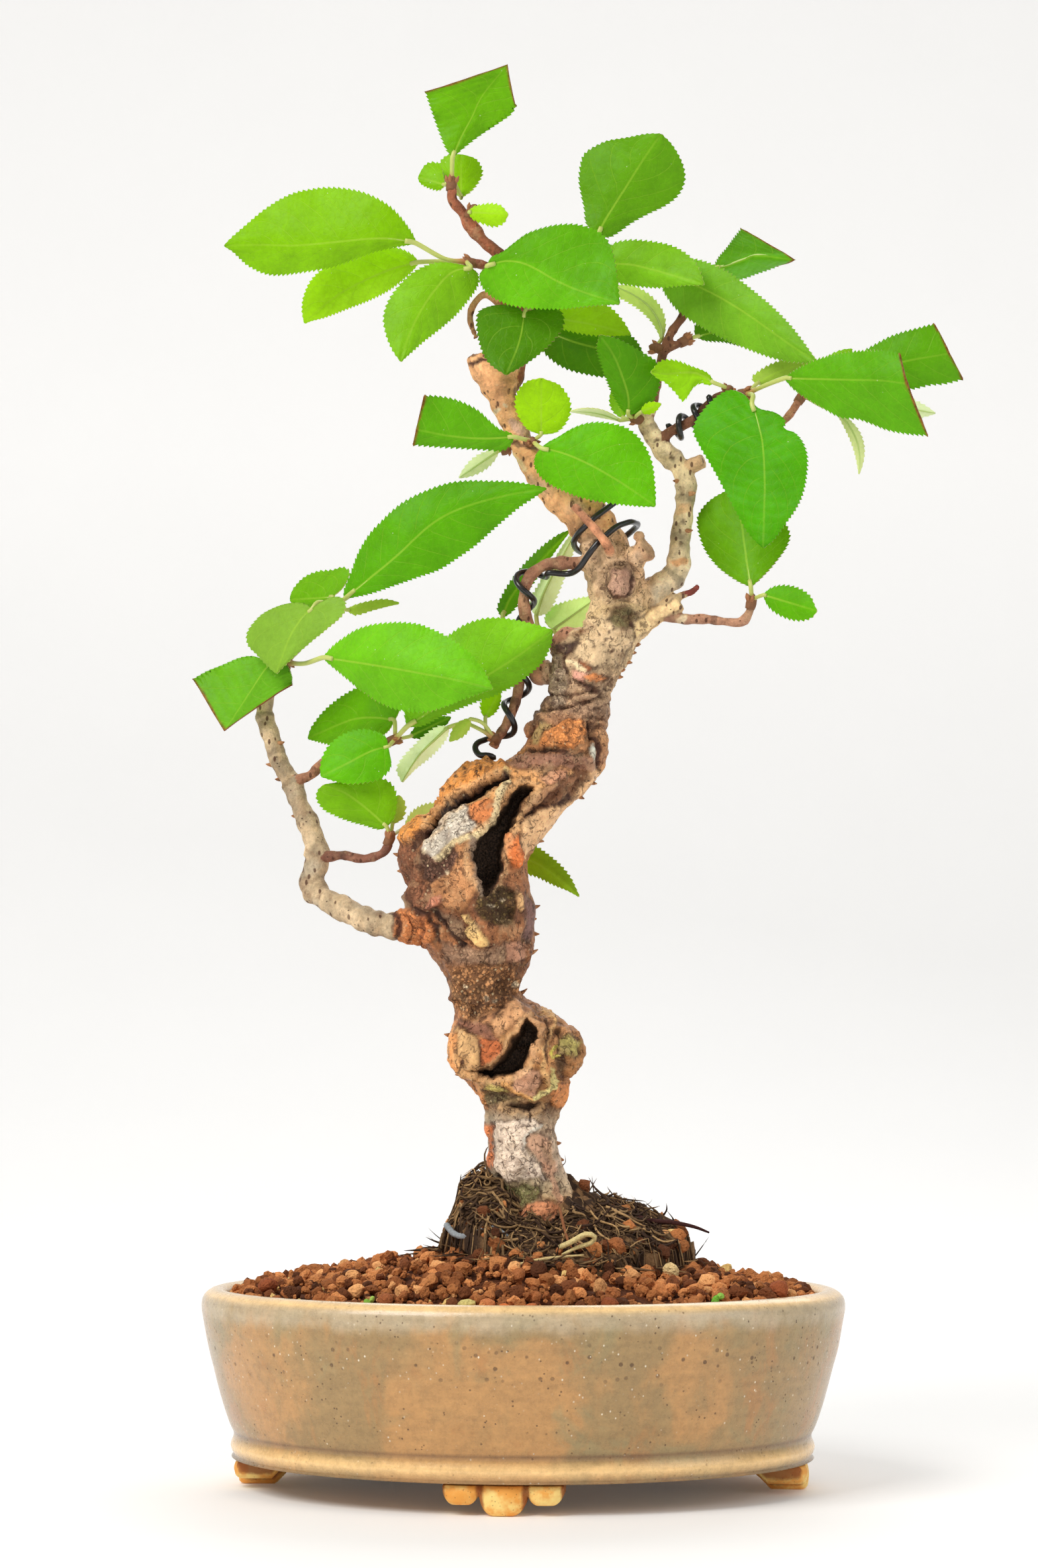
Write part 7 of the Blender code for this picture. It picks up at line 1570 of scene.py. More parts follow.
# Dark pores and pale specks: (x, z, radius, tint)
SPECKS = tuple((x, z, 0.42 if -17.0 < x < 22.0 else 0.62, (66, 34, 22)) for x, z in (
    (-11.7, 165.0), (-13.5, 163.0), (-14.8, 162.0), (-16.2, 160.0), (-8.3, 165.8), (-9.2, 164.5),
    (-13.6, 98.4), (8.4, 186.4), (8.0, 188.4), (7.6, 192.6), (20.2, 199.8), (18.2, 198.6), (19.4, 197.8),
    (19.2, 196.6), (17.0, 196.0), (21.4, 195.2), (20.4, 192.6), (26.0, 201.2), (21.6, 200.4),
    (-59.6, 175.0), (-58.6, 172.6), (-57.6, 171.6), (-59.0, 170.2), (-57.2, 169.6), (-54.6, 159.0),
    (-52.4, 156.6), (-52.6, 154.8), (-51.6, 153.0), (-53.4, 161.4), (-56.4, 169.6), (-60.2, 178.4),
    (-50.2, 147.6), (-48.6, 144.0), (-46.0, 137.0), (-41.0, 134.0),
    (37.6, 221.0), (38.6, 226.0), (38.2, 232.6), (36.0, 241.4), (32.2, 245.8), (14.0, 229.0),
    (6.4, 235.0), (17.6, 221.6), (12.2, 231.0))) + tuple((x, z, 0.6, (236, 214, 176)) for x, z in (
        (-13.4, 115.8), (-6.2, 112.4), (-1.6, 116.2), (-8.2, 112.8), (-7.0, 134.6), (-4.4, 136.4),
        (-6.4, 252.4), (-5.8, 253.0), (-4.0, 254.2), (-20.6, 145.6), (-22.8, 147.4), (-17.6, 142.6)))

# Rings round knots, scars and branches: (x, z, radius, half width, height)
RINGS = ((-1.0, 74.6, 1.5, 0.45, 0.6), (1.7, 69.8, 1.2, 0.4, 0.5), (24.0, 203.0, 1.6, 0.45, 0.5),
         (24.0, 203.0, 3.4, 0.5, 0.5), (24.0, 203.0, 5.2, 0.5, 0.5), (23.4, 211.5, 4.6, 0.5, -0.8),
         (23.4, 211.5, 5.8, 0.5, 0.4), (8.0, 100.0, 6.4, 0.8, 0.5), (15.0, 193.0, 5.0, 0.5, 0.45),
         (15.0, 193.0, 7.0, 0.5, 0.45), (15.0, 193.0, 9.0, 0.5, 0.4), (15.0, 193.0, 11.0, 0.5, 0.4),
         (18.6, 208.0, 1.0, 0.3, 0.4), (28.6, 208.4, 1.0, 0.3, 0.4), (34.0, 243.6, 1.5, 0.4, 0.5))

# Short spurs on the outline: (x, z, heading in degrees from the right, length)
SPURS = ((2.6, 123.6, 20, 1.6), (2.0, 128.0, -10, 1.2), (2.8, 134.4, 10, 1.3), (2.2, 131.6, 0, 0.9),
         (4.4, 150.0, -20, 1.2), (13.6, 160.6, -30, 1.2), (16.5, 164.0, -20, 1.2), (-0.2, 114.2, 30, 1.8),
         (8.2, 79.0, 0, 1.0), (7.4, 75.0, -15, 0.9), (23.4, 188.6, -10, 1.0), (24.0, 190.4, 0, 0.8),
         (25.2, 192.6, -20, 1.0), (26.6, 194.8, -10, 0.9), (27.2, 196.8, 0, 0.8), (-29.4, 146.8, 170, 1.3),
         (-28.4, 143.0, 190, 1.0), (-16.4, 104.0, 175, 1.2), (-14.7, 95.2, 200, 1.1),
         (-59.6, 168.0, 180, 1.2), (-58.2, 164.0, 190, 1.0), (-55.4, 155.0, 185, 0.9),
         (-56.2, 174.0, 10, 1.0), (39.9, 224.0, 0, 1.0), (36.2, 236.0, 180, 0.9), (41.0, 233.0, 10, 0.9))

# Ridges (height over 0) and grooves (under 0) on the front: path in (x, z), half width, height
RELIEFS = (
    (((7.2, 97.2), (8.4, 94.4), (7.4, 91.2), (4.6, 89.6), (1.4, 89.6)), 0.7, 0.7),
    (((5.6, 99.0), (6.0, 95.6), (3.6, 92.4), (-0.4, 91.6)), 0.6, 0.5),
    (((4.6, 104.6), (8.4, 103.6), (10.8, 100.2)), 0.8, 0.6),
    (((3.6, 108.4), (7.0, 107.0), (9.6, 104.0)), 0.7, -0.5),
    (((-15.8, 99.0), (-12.6, 95.4), (-8.2, 93.8)), 1.1, 0.7),
    (((-23.6, 148.8), (-18.0, 153.2), (-10.6, 157.4), (-5.0, 161.6), (-2.8, 165.0)), 1.9, 1.3),
    (((-26.6, 152.4), (-18.4, 159.6), (-8.0, 166.4)), 3.6, 1.6),
    (((-0.2, 139.0), (-1.6, 144.8), (-1.0, 151.4), (2.6, 157.6)), 1.3, 1.1),
    (((0.6, 158.8), (4.0, 162.2), (9.6, 165.6), (15.0, 165.4)), 1.3, 0.9),
    (((2.0, 156.8), (7.6, 160.8), (13.2, 162.6)), 1.0, -0.8),
    (((-6.5, 167.6), (1.0, 170.6), (9.0, 172.2), (15.6, 170.6)), 0.6, -0.8),
    (((1.6, 170.0), (8.0, 171.0), (14.6, 168.8)), 1.6, 0.8),
    (((5.4, 174.8), (10.0, 177.0), (14.6, 176.4)), 0.8, 0.6),
    (((4.0, 181.0), (11.0, 181.8), (19.0, 184.4)), 0.6, -0.7),
    (((5.6, 184.6), (12.0, 184.4), (18.4, 186.4)), 0.5, -0.5),
    (((15.4, 169.6), (17.0, 175.0), (19.6, 181.6)), 0.7, -1.0),
    (((7.8, 189.0), (7.2, 183.6), (6.6, 180.4)), 0.5, -0.6),
    (((9.4, 191.4), (13.2, 187.8), (16.4, 187.2)), 0.5, -0.9),
    (((-27.6, 136.6), (-24.6, 141.2), (-24.0, 146.0)), 1.0, 0.8),
    (((-21.0, 135.2), (-18.6, 131.0), (-13.4, 127.2)), 1.1, 0.7),
    (((-12.4, 134.4), (-7.0, 131.0), (-3.2, 127.0)), 0.8, 0.5),
    (((-14.8, 133.6), (-11.2, 129.6), (-7.8, 125.4)), 1.3, 0.9),
    (((-3.0, 136.2), (-1.2, 131.0), (-1.6, 126.0)), 0.9, 0.6),
    (((-16.4, 113.0), (-9.0, 111.0), (-3.4, 113.6)), 0.6, 0.5),
    (((-5.8, 87.0), (0.4, 87.4), (6.2, 86.6)), 0.9, 0.5),
    (((-5.0, 66.4), (-4.4, 61.0)), 0.8, -0.8),
    (((6.0, 66.6), (10.2, 64.6)), 0.5, 0.6),
)

# The old trunk's tints by height of reading: (height, left colour, right colour)
TRUNK_TONES = (
    (54.0, (98, 66, 58), (112, 74, 60)), (60.0, (104, 70, 60), (214, 140, 94)),
    (62.0, (214, 138, 96), (222, 148, 98)), (65.5, (172, 142, 96), (220, 176, 128)),
    (69.0, (176, 160, 116), (226, 198, 160)), (73.0, (206, 186, 160), (224, 196, 164)),
    (84.0, (208, 190, 162), (206, 176, 142)), (87.0, (158, 128, 92), (142, 106, 74)),
    (91.0, (214, 160, 106), (176, 122, 76)), (97.0, (224, 168, 110), (202, 142, 88)),
    (104.0, (226, 166, 104), (190, 136, 88)), (109.0, (196, 134, 92), (178, 130, 90)),
    (113.0, (166, 112, 78), (170, 118, 80)), (120.0, (158, 108, 70), (148, 96, 60)),
    (127.0, (188, 120, 72), (160, 108, 70)), (136.0, (150, 98, 64), (146, 96, 64)),
    (146.0, (152, 100, 66), (184, 122, 76)), (151.0, (220, 150, 88), (228, 176, 122)),
    (165.0, (232, 158, 88), (230, 178, 120)), (169.0, (204, 146, 98), (190, 134, 96)),
    (174.0, (212, 140, 88), (206, 150, 100)), (181.0, (176, 136, 104), (186, 150, 120)),
    (190.0, (188, 156, 124), (216, 182, 140)), (195.0, (216, 180, 138), (240, 210, 164)),
    (203.0, (226, 196, 148), (232, 200, 150)), (212.0, (214, 178, 138), (220, 180, 138)),
    (222.0, (220, 184, 146), (214, 176, 136)),
)


@dataclass(frozen=True)
class Span:
    """One skin of the wood.

    low, high: the ends of its stretch of trunk. roots: the heights between which its limbs start.
    voxel: how fine it is. nodes: the nodes that it stands for.
    """
    name: str
    low: float
    high: float
    roots: tuple
    voxel: float
    nodes: tuple = ()

    def holds(self, z: float) -> bool:
        """Whether a limb or swelling that starts at this height grows from this skin."""
        return self.roots[0] <= z < self.roots[1]


@dataclass
class Wood:
    """Trunk, branches and twigs: three grown skins that overlap, with relief and painted tints.

    Where the next skin covers one, its end is drawn in by `inset` over a run of `taper`.
    """
    spans: tuple = (Span("bark", 26.3, 114.0, (0.0, 111.0), 0.35, ("trunk",)),
                    Span("bark_middle", 108.5, 196.0, (111.0, 193.0), 0.41),
                    Span("bark_top", 190.0, 223.0, (193.0, 500.0), 0.46))
    taper: float = 2.0
    inset: float = 1.0
    sides: int = 72
    limb_sides: int = 20
    painted_hollow_rim_highlight: tuple = (236, 190, 136)
    painted_hollow_shade: tuple = (70, 44, 32)
    painted_patch_edge_shade: tuple = (70, 42, 28)
    weathered: tuple = (186, 178, 160)
    spur_tone: tuple = (176, 124, 84)

    def loft(self, span: Span) -> np.ndarray:
        """A stretch of the trunk's grid: level ovals, fluted, drawn in where the next skin covers them."""
        table = np.array(TRUNK_SECTIONS)
        height = np.arange(span.low, span.high + 0.5, 1.0)
        left, right, middle, half_depth = (np.interp(height, table[:, 0], table[:, k])[:, None]
                                           for k in range(1, 5))
        tuck = np.zeros(len(height))
        if span.low > table[0, 0]:
            tuck = np.maximum(tuck, 1.0 - ease(0.0, self.taper, height - span.low))
        if span.high < table[-1, 0]:
            tuck = np.maximum(tuck, ease(-self.taper, 0.0, height - span.high))
        tuck = tuck[:, None] * self.inset
        angle = np.linspace(0.0, -2.0 * np.pi, self.sides, endpoint=False)
        flute = np.sin(angle) ** 2 * (0.07 * np.sin(3 * angle + height[:, None] * 0.09)
                                      + 0.05 * np.sin(5 * angle - height[:, None] * 0.13))
        x = (left + right) / 2 + ((right - left) / 2 - tuck) * np.cos(angle)
        y = middle + (half_depth - tuck) * np.sin(angle) * (1.0 + flute)
        return np.stack([x, y, height[:, None] + np.zeros(self.sides)], axis=-1)

    def limb_path(self, limb: Limb) -> tuple[np.ndarray, np.ndarray, np.ndarray]:
        """A limb's middle line, its radii, thicker at each bud scar, and how near a scar each point is."""
        path, radii = smooth_curve(VIEW.points(limb.route), 0.8,
                                   np.array([r for *_, r in limb.route]))
        run = run_length(path)
        pitch = 5.5 + 1.6 * radii.mean()
        phase = (run / pitch + radii[0]) % 1.0
        ring = np.exp(-((phase - 0.5) * pitch / 0.6) ** 2)
        knobs = 0.05 * np.sin(run * 1.7 + radii[0] * 5.0) + 0.04 * np.sin(run * 0.73)
        scar = ring * ease(0.0, 6.0, run)
        return path, radii * (0.97 + 0.15 * scar + knobs * ease(0.0, 6.0, run)), scar

    def grow(self, span: Span) -> bpy.types.Mesh:
        """The closed bodies of one skin, grown together by a voxel skin and softened."""
        shell = Shell()
        shell.grid(self.loft(span), closed=True, caps=True)
        for limb in LIMBS:
            if span.holds(limb.route[0][1]):
                path, radii, _ = self.limb_path(limb)
                shell.grid(tube_grid(path, radii, self.limb_sides), closed=True, caps=True)
        for x, z, depth, radius in BURLS:
            if span.holds(z):
                shell.grid(ball_grid(VIEW.place(x, z, depth), radius), closed=True, caps=True)
        mesh = shell.mesh(span.name)
        wood = bpy.data.objects.new(span.name, mesh)
        bpy.context.scene.collection.objects.link(wood)
        skin = wood.modifiers.new("skin", "REMESH")
        skin.mode, skin.voxel_size = "VOXEL", span.voxel * MM
        soften = wood.modifiers.new("soften", "SMOOTH")
        soften.factor, soften.iterations = 0.5, 2
        graph = bpy.context.evaluated_depsgraph_get()
        grown = bpy.data.meshes.new_from_object(wood.evaluated_get(graph))
        bpy.data.objects.remove(wood)
        bpy.data.meshes.remove(mesh)
        grown.name = span.name
        return grown

    @staticmethod
    def points_of(mesh: bpy.types.Mesh) -> tuple[np.ndarray, np.ndarray]:
        """A mesh's points in the design frame, and their normals."""
        points = np.empty(len(mesh.vertices) * 3, np.float32)
        mesh.vertices.foreach_get("co", points)
        normals = np.empty(len(mesh.vertices) * 3, np.float32)
        mesh.vertex_normals.foreach_get("vector", normals)
        return points.reshape(-1, 3).astype(float) / MM - SHIFT, normals.reshape(-1, 3).astype(float)

    @staticmethod
    def move_points(mesh: bpy.types.Mesh, points: np.ndarray) -> None:
        """Write design-frame points back to the mesh."""
        mesh.vertices.foreach_set("co", ((points + SHIFT) * MM).astype(np.float32).ravel())
        mesh.update()

    def limb_cover(self, points: np.ndarray) -> tuple[np.ndarray, np.ndarray]:
        """The tint and radius of the limb each point lies on."""
        best = np.full(len(points), 9.0)
        tint, thick = np.zeros((len(points), 3)), np.full(len(points), 9.0)
        for limb in LIMBS:
            path, radii, scar = (values[::2] for values in self.limb_path(limb))
            low, high = path.min(axis=0) - 8.0, path.max(axis=0) + 8.0
            near = np.flatnonzero(np.all((points > low) & (points < high), axis=1))
            if not len(near):
                continue
            gap = np.linalg.norm(points[near][:, None] - path[None], axis=-1)
            spot = gap.argmin(axis=1)
            reach = gap[np.arange(len(near)), spot] / radii[spot]
            closer = reach < best[near]
            chosen = near[closer]
            best[chosen] = reach[closer]
            tint[chosen] = np.array(linear(*limb.tone)) * (1.0 - 0.42 * scar[spot][closer] ** 2)[:, None]
            thick[chosen] = radii[spot][closer]
        return tint, thick

    def trunk_share(self, points: np.ndarray) -> np.ndarray:
        """1 where a point lies on the lofted trunk, 0 where it lies on a limb."""
        table = np.array(TRUNK_SECTIONS)
        left, right, middle, half = (np.interp(points[:, 2], table[:, 0], table[:, k]) for k in range(1, 5))
        out_x = np.maximum(left - points[:, 0], points[:, 0] - right)
        out_y = np.abs(points[:, 1] - middle) - half
        share = (1.0 - ease(0.6, 2.6, out_x)) * (1.0 - ease(1.2, 3.4, out_y))
        return share * (1.0 - ease(219.0, 225.0, points[:, 2]))

    def build(self) -> list[bpy.types.Object]:
        """Grow, carve and paint each skin, and set the spurs on them."""
        bark = Bark().material()
        pieces = []
        for span in self.spans:
            mesh = self.grow(span)
            self.carve(mesh)
            mesh.polygons.foreach_set("use_smooth", np.full(len(mesh.polygons), True))
            pieces.append(add_piece(mesh, [bark], "bark", *span.nodes))
        self.build_spurs(tree_of(pieces), bark)
        return pieces

    def carve(self, mesh: bpy.types.Mesh) -> None:
        """Press in the hollows, raise the bark relief, and store the tint with its painted light and shade,
        the roughness and the hollows' darkness.
        """
        points, normals = self.points_of(mesh)
        x, z = VIEW.reading(points)
        table = np.array(TRUNK_SECTIONS)
        middle = np.interp(points[:, 2], table[:, 0], table[:, 3])
        facing = ease(-0.30, 0.15, -normals[:, 1])
        front = np.clip((middle + 2.0 - points[:, 1]) / 4.0, 0.0, 1.0) * facing
        wander = np.stack([Noise.fractal(points, 2.6, 51, 3), Noise.fractal(points, 2.6, 61, 3)], axis=-1)
        jag = np.stack([Noise.fractal(points, 0.9, 53, 2), Noise.fractal(points, 0.9, 55, 2)], axis=-1)
        x, z = (x + 0.40 * wander[:, 0] + 0.28 * jag[:, 0], z + 0.40 * wander[:, 1] + 0.28 * jag[:, 1])
        hollow = np.zeros(len(points))
        for outline, depth in HOLLOWS:
            near = nearby(x, z, outline, 3.0)
            gap = inside_gap(x[near], z[near], outline)
            pit = ease(-0.3, 0.35 * depth ** 0.7, gap) * front[near]
            points[near, 1] += pit * depth
            # How dark each hollow is painted: its rotted wood and painted shade.
            dark = ease(-0.25, 0.75, gap) * front[near] * min(1.0, 0.62 + 0.06 * depth)
            hollow[near] = np.maximum(hollow[near], dark)
        self.move_points(mesh, points)
        points, normals = self.points_of(mesh)
        trunk = self.trunk_share(points)
        rough, height = self.relief(points, x, z, front, trunk)
        limb_tint, thick = self.limb_cover(points)
        scale = np.where(trunk > 0.5, 1.0, np.clip(thick / 5.0, 0.12, 0.8))
        broad = Noise.fractal(points * (1.0, 1.0, 0.7), 7.0, 71, 3)
        fine = Noise.fractal(points * (1.0, 1.0, 0.6), 1.9, 81, 3)
        folds = 1.0 - np.abs(Noise.fractal(points * (1.0, 1.0, 0.8), 4.4, 85, 3)) * 2.4
        gap, tone = Noise.cells(points, 1.7, 91)
        height += scale * (0.55 * broad + 0.30 * fine + 0.45 * trunk * folds * (0.4 + rough))
        height += rough * scale * 1.1 * (0.55 - gap)
        points += normals * height[:, None] * (1.0 - 0.75 * hollow[:, None])
        self.move_points(mesh, points)
        tint = self.paint(points, x, z, front, trunk, limb_tint, thick, tone, rough)
        # Painted light and shade: the tint is lighter on the relief's ridges and darker in its dips.
        painted_ridge_light_and_shade = np.clip(0.5 + 0.55 * (broad + fine) + 0.25 * folds * trunk, 0.0, 1.0)
        tint *= (0.80 + 0.34 * painted_ridge_light_and_shade)[:, None]
        # Painted shade: the tint darkens where the relief sinks in.
        tint *= (1.0 - 0.35 * np.clip(-height * 1.2, 0.0, 1.0))[:, None]
        write_attribute(mesh, "tint", tint)
        write_attribute(mesh, "rough", rough)
        write_attribute(mesh, "hollow", hollow)
        write_attribute(mesh, "old", trunk)
        write_attribute(mesh, "sheen", np.clip(1.0 - rough * 1.6, 0.0, 1.0) * (0.3 + 0.7 * trunk))

    @staticmethod
    def relief(points: np.ndarray, x: np.ndarray, z: np.ndarray, front: np.ndarray,
               trunk: np.ndarray) -> tuple[np.ndarray, np.ndarray]:
        """How crumbly each point is, and how far the drawn ridges, patches and rings lift it."""
        rough = (0.12 + 0.20 * trunk) * np.clip(0.6 + Noise.fractal(points, 12.0, 33, 2), 0.2, 1.4)
        height = np.zeros(len(points))
        for region in REGIONS:
            near = nearby(x, z, region.outline, 2.5)
            gap = inside_gap(x[near], z[near], region.outline)
            share = ease(-0.5 * region.soft, 1.6 * region.soft, gap) * front[near]
            height[near] += share * region.lift
            if region.rough is not None:
                rough[near] += (region.rough - rough[near]) * share
        for path, half, lift in RELIEFS:
            near = nearby(x, z, path, 4.0 * half)
            height[near] += lift * np.exp(-(path_gap(x[near], z[near], path) / half) ** 2) * front[near]
        for line in LINES:
            near = nearby(x, z, line.path, 4.0 * line.half)
            gap = path_gap(x[near], z[near], line.path) / line.half
            height[near] += line.lift * np.exp(-gap ** 2) * front[near]
        for cx, cz, radius, half, lift in RINGS:
            gap = np.hypot(x - cx, z - cz) - radius
            height += lift * np.exp(-(gap / half) ** 2) * front
        return np.clip(rough, 0.0, 1.0), height

    def paint(self, points: np.ndarray, x: np.ndarray, z: np.ndarray, front: np.ndarray,
              trunk: np.ndarray, limb_tint: np.ndarray, thick: np.ndarray, tone: np.ndarray,
              rough: np.ndarray) -> np.ndarray:
        """The wood's tint: by height and side on the trunk, by limb elsewhere, then what is drawn on.

        Args:
            points: places on the wood. x, z: their readings, wandered a little.
            front: how far each faces the viewer on the front half.
            trunk: 1 on the lofted trunk, 0 on a limb.
            limb_tint, thick: colour and radius of the limb each point lies on.
            tone: a value for each of the bark's small cells.
            rough: how crumbly each point is.

        Returns:
            A colour for each point.
        """
        table = np.array([(h, *linear(*a), *linear(*b)) for h, a, b in TRUNK_TONES])
        section = np.array(TRUNK_SECTIONS)
        left, right = (np.interp(z, section[:, 0], section[:, k]) for k in (1, 2))
        across = np.clip((x - left) / (right - left), 0.0, 1.0)[:, None]
        sides = [np.stack([np.interp(z, table[:, 0], table[:, k + o]) for k in range(3)], axis=-1)
                 for o in (1, 4)]
        old = sides[0] * (1 - across) + sides[1] * across
        mottled = limb_tint * (1.0 + 0.34 * Noise.fractal(points, 4.0, 15, 4))[:, None]
        grey = ease(0.1, 0.5, Noise.fractal(points, 9.0, 25, 2))[:, None] * (thick > 1.8)[:, None]
        mottled = mottled * (1 - 0.35 * grey) + np.array(linear(*self.weathered)) * 0.35 * grey
        share = np.where(limb_tint.any(axis=1), trunk, 1.0)[:, None]
        tint = old * share + mottled * (1 - share)

        def lay(near: np.ndarray, share: np.ndarray, colour: tuple) -> None:
            """Blend a colour over the tint of some points."""
            share = (share * front[near])[:, None]
            tint[near] = tint[near] * (1 - share) + np.array(linear(*colour)) * share

        for region in REGIONS:
            near = nearby(x, z, region.outline, 1.5)
            gap = inside_gap(x[near], z[near], region.outline)
            lay(near, region.amount * ease(-region.soft, region.soft, gap), region.tint)
            ragged = 0.35 + 0.65 * ease(-0.3, 0.3, Noise.value(points[near], 1.6, 57))
            # Painted shade: a dark ragged line just outside each patch's edge.
            lay(near, 0.75 * ragged * np.exp(-((gap + 0.10) / 0.36) ** 2), self.painted_patch_edge_shade)
        for outline, _ in HOLLOWS:
            near = nearby(x, z, outline, 2.5)
            gap = inside_gap(x[near], z[near], outline)
            # Painted highlight: a pale ring just outside each hollow's edge.
            lay(near, 0.55 * np.exp(-((gap + 0.75) / 0.45) ** 2), self.painted_hollow_rim_highlight)
            # Painted shade: dark brown laid inside each hollow, over its rotted wood.
            lay(near, 0.75 * ease(-0.35, 0.1, gap), self.painted_hollow_shade)
        for line in LINES:
            near = nearby(x, z, line.path, 2.5 * line.half)
            gap = path_gap(x[near], z[near], line.path) / line.half
            lay(near, line.amount * (1.0 - ease(0.7, 1.35, gap)), line.tint)
        for sx, sz, radius, colour in SPECKS:
            gap = np.hypot(x - sx, z - sz) / radius
            near = np.flatnonzero(gap < 1.6)
            lay(near, 0.9 * (1.0 - ease(0.6, 1.3, gap[near])), colour)
        return tint * (0.86 + 0.28 * tone * (0.4 + rough))[:, None]

    def build_spurs(self, tree: BVHTree, bark: bpy.types.Material) -> None:
        """Short tapered spurs on the trunk's outline, each set on the nearest bark."""
        shell = Shell()
        for x, z, heading, length in SPURS:
            spot, _, _, _ = tree.find_nearest(Vector((VIEW.place(x, z, 0.0) + SHIFT) * MM))
            foot = np.array(spot) / MM - SHIFT
            turn = math.radians(heading)
            way = np.array((math.cos(turn), -0.15, math.sin(turn)))
            path, radii = smooth_curve(np.array([foot - way * 0.8, foot + way * 0.3 * length,
                                                 foot + way * length + (0.0, 0.0, 0.12 * length)]),
                                       0.35, np.array([0.75, 0.45, 0.10]))
            shell.grid(tube_grid(path, radii, 8), closed=True, caps=True, tint=linear(*self.spur_tone),
                       rough=0.3, hollow=0.0, sheen=0.0, old=1.0)
        add_piece(shell.mesh("bark_spurs"), [bark], "bark")


# Leaves

@dataclass(frozen=True)
class Blade:
    """A leaf as the front view shows it.

    base, tip: the ends of its midrib. near, far: their depths. left, right: its edges, looking from
    base to tip, as (x, z) points or as a greatest half width. rib: points of the midrib. cut: whether
    it was trimmed, from the last point of each edge to the tip. lean: how far each half slopes back.
    tone: the colour of the face in view. halves: how much lighter each half is painted, light and
    shade for how it faces the lamps. under: whether the face in view is its underside.
    """
    base: tuple
    tip: tuple
    near: float
    far: float
    left: tuple | float
    right: tuple | float
    rib: tuple = ()
    cut: bool = False
    bow: float = 0.0
    arch: float = 1.5
    lean: tuple = (18.0, 18.0)
    stalk: tuple = ()
    tone: tuple = (104, 176, 22)
    halves: tuple = (1.0, 1.0)
    under: bool = False

    @property
    def length(self) -> float:
        """Length of the whole midrib in the front view."""
        return math.dist(self.base, self.tip)

    def midrib(self, share: np.ndarray) -> np.ndarray:
        """Places on the midrib at shares of its length."""
        return on_curve((self.base, *self.rib, self.tip), share)

    def reach(self, share: np.ndarray, left: bool) -> np.ndarray:
        """The way from the midrib to one edge: between two curves, or an oval's half width."""
        edge = self.left if left else self.right
        if isinstance(edge, tuple):
            outline = (self.base, *edge) if self.cut else (self.base, *edge, self.tip)
            inner = np.clip(share, 0.05, 1.0 if self.cut else 0.96)
            outward = on_curve(outline, inner) - self.midrib(inner)
            return on_curve(outline, share) - self.midrib(share) + 0.2 * unit(outward + 1e-6)
        axis = (np.array(self.tip, float) - np.array(self.base, float)) / self.length
        shape = np.maximum(np.sin(np.pi * np.clip(share, 0.004, 1.0) ** 0.9), 0.0) ** 0.72
        width = edge * np.maximum(shape, 0.03) * (1.0 if left else -1.0)
        return width[..., None] * np.array((-axis[1], axis[0]))


def on_curve(points: tuple, share: np.ndarray) -> np.ndarray:
    """Places at shares of the length of a smooth curve through (x, z) points."""
    line, = smooth_curve(np.array(points, float), 0.5)
    run = run_length(line)
    return np.stack([np.interp(share * run[-1], run, line[:, k]) for k in (0, 1)], axis=-1)


B = Blade

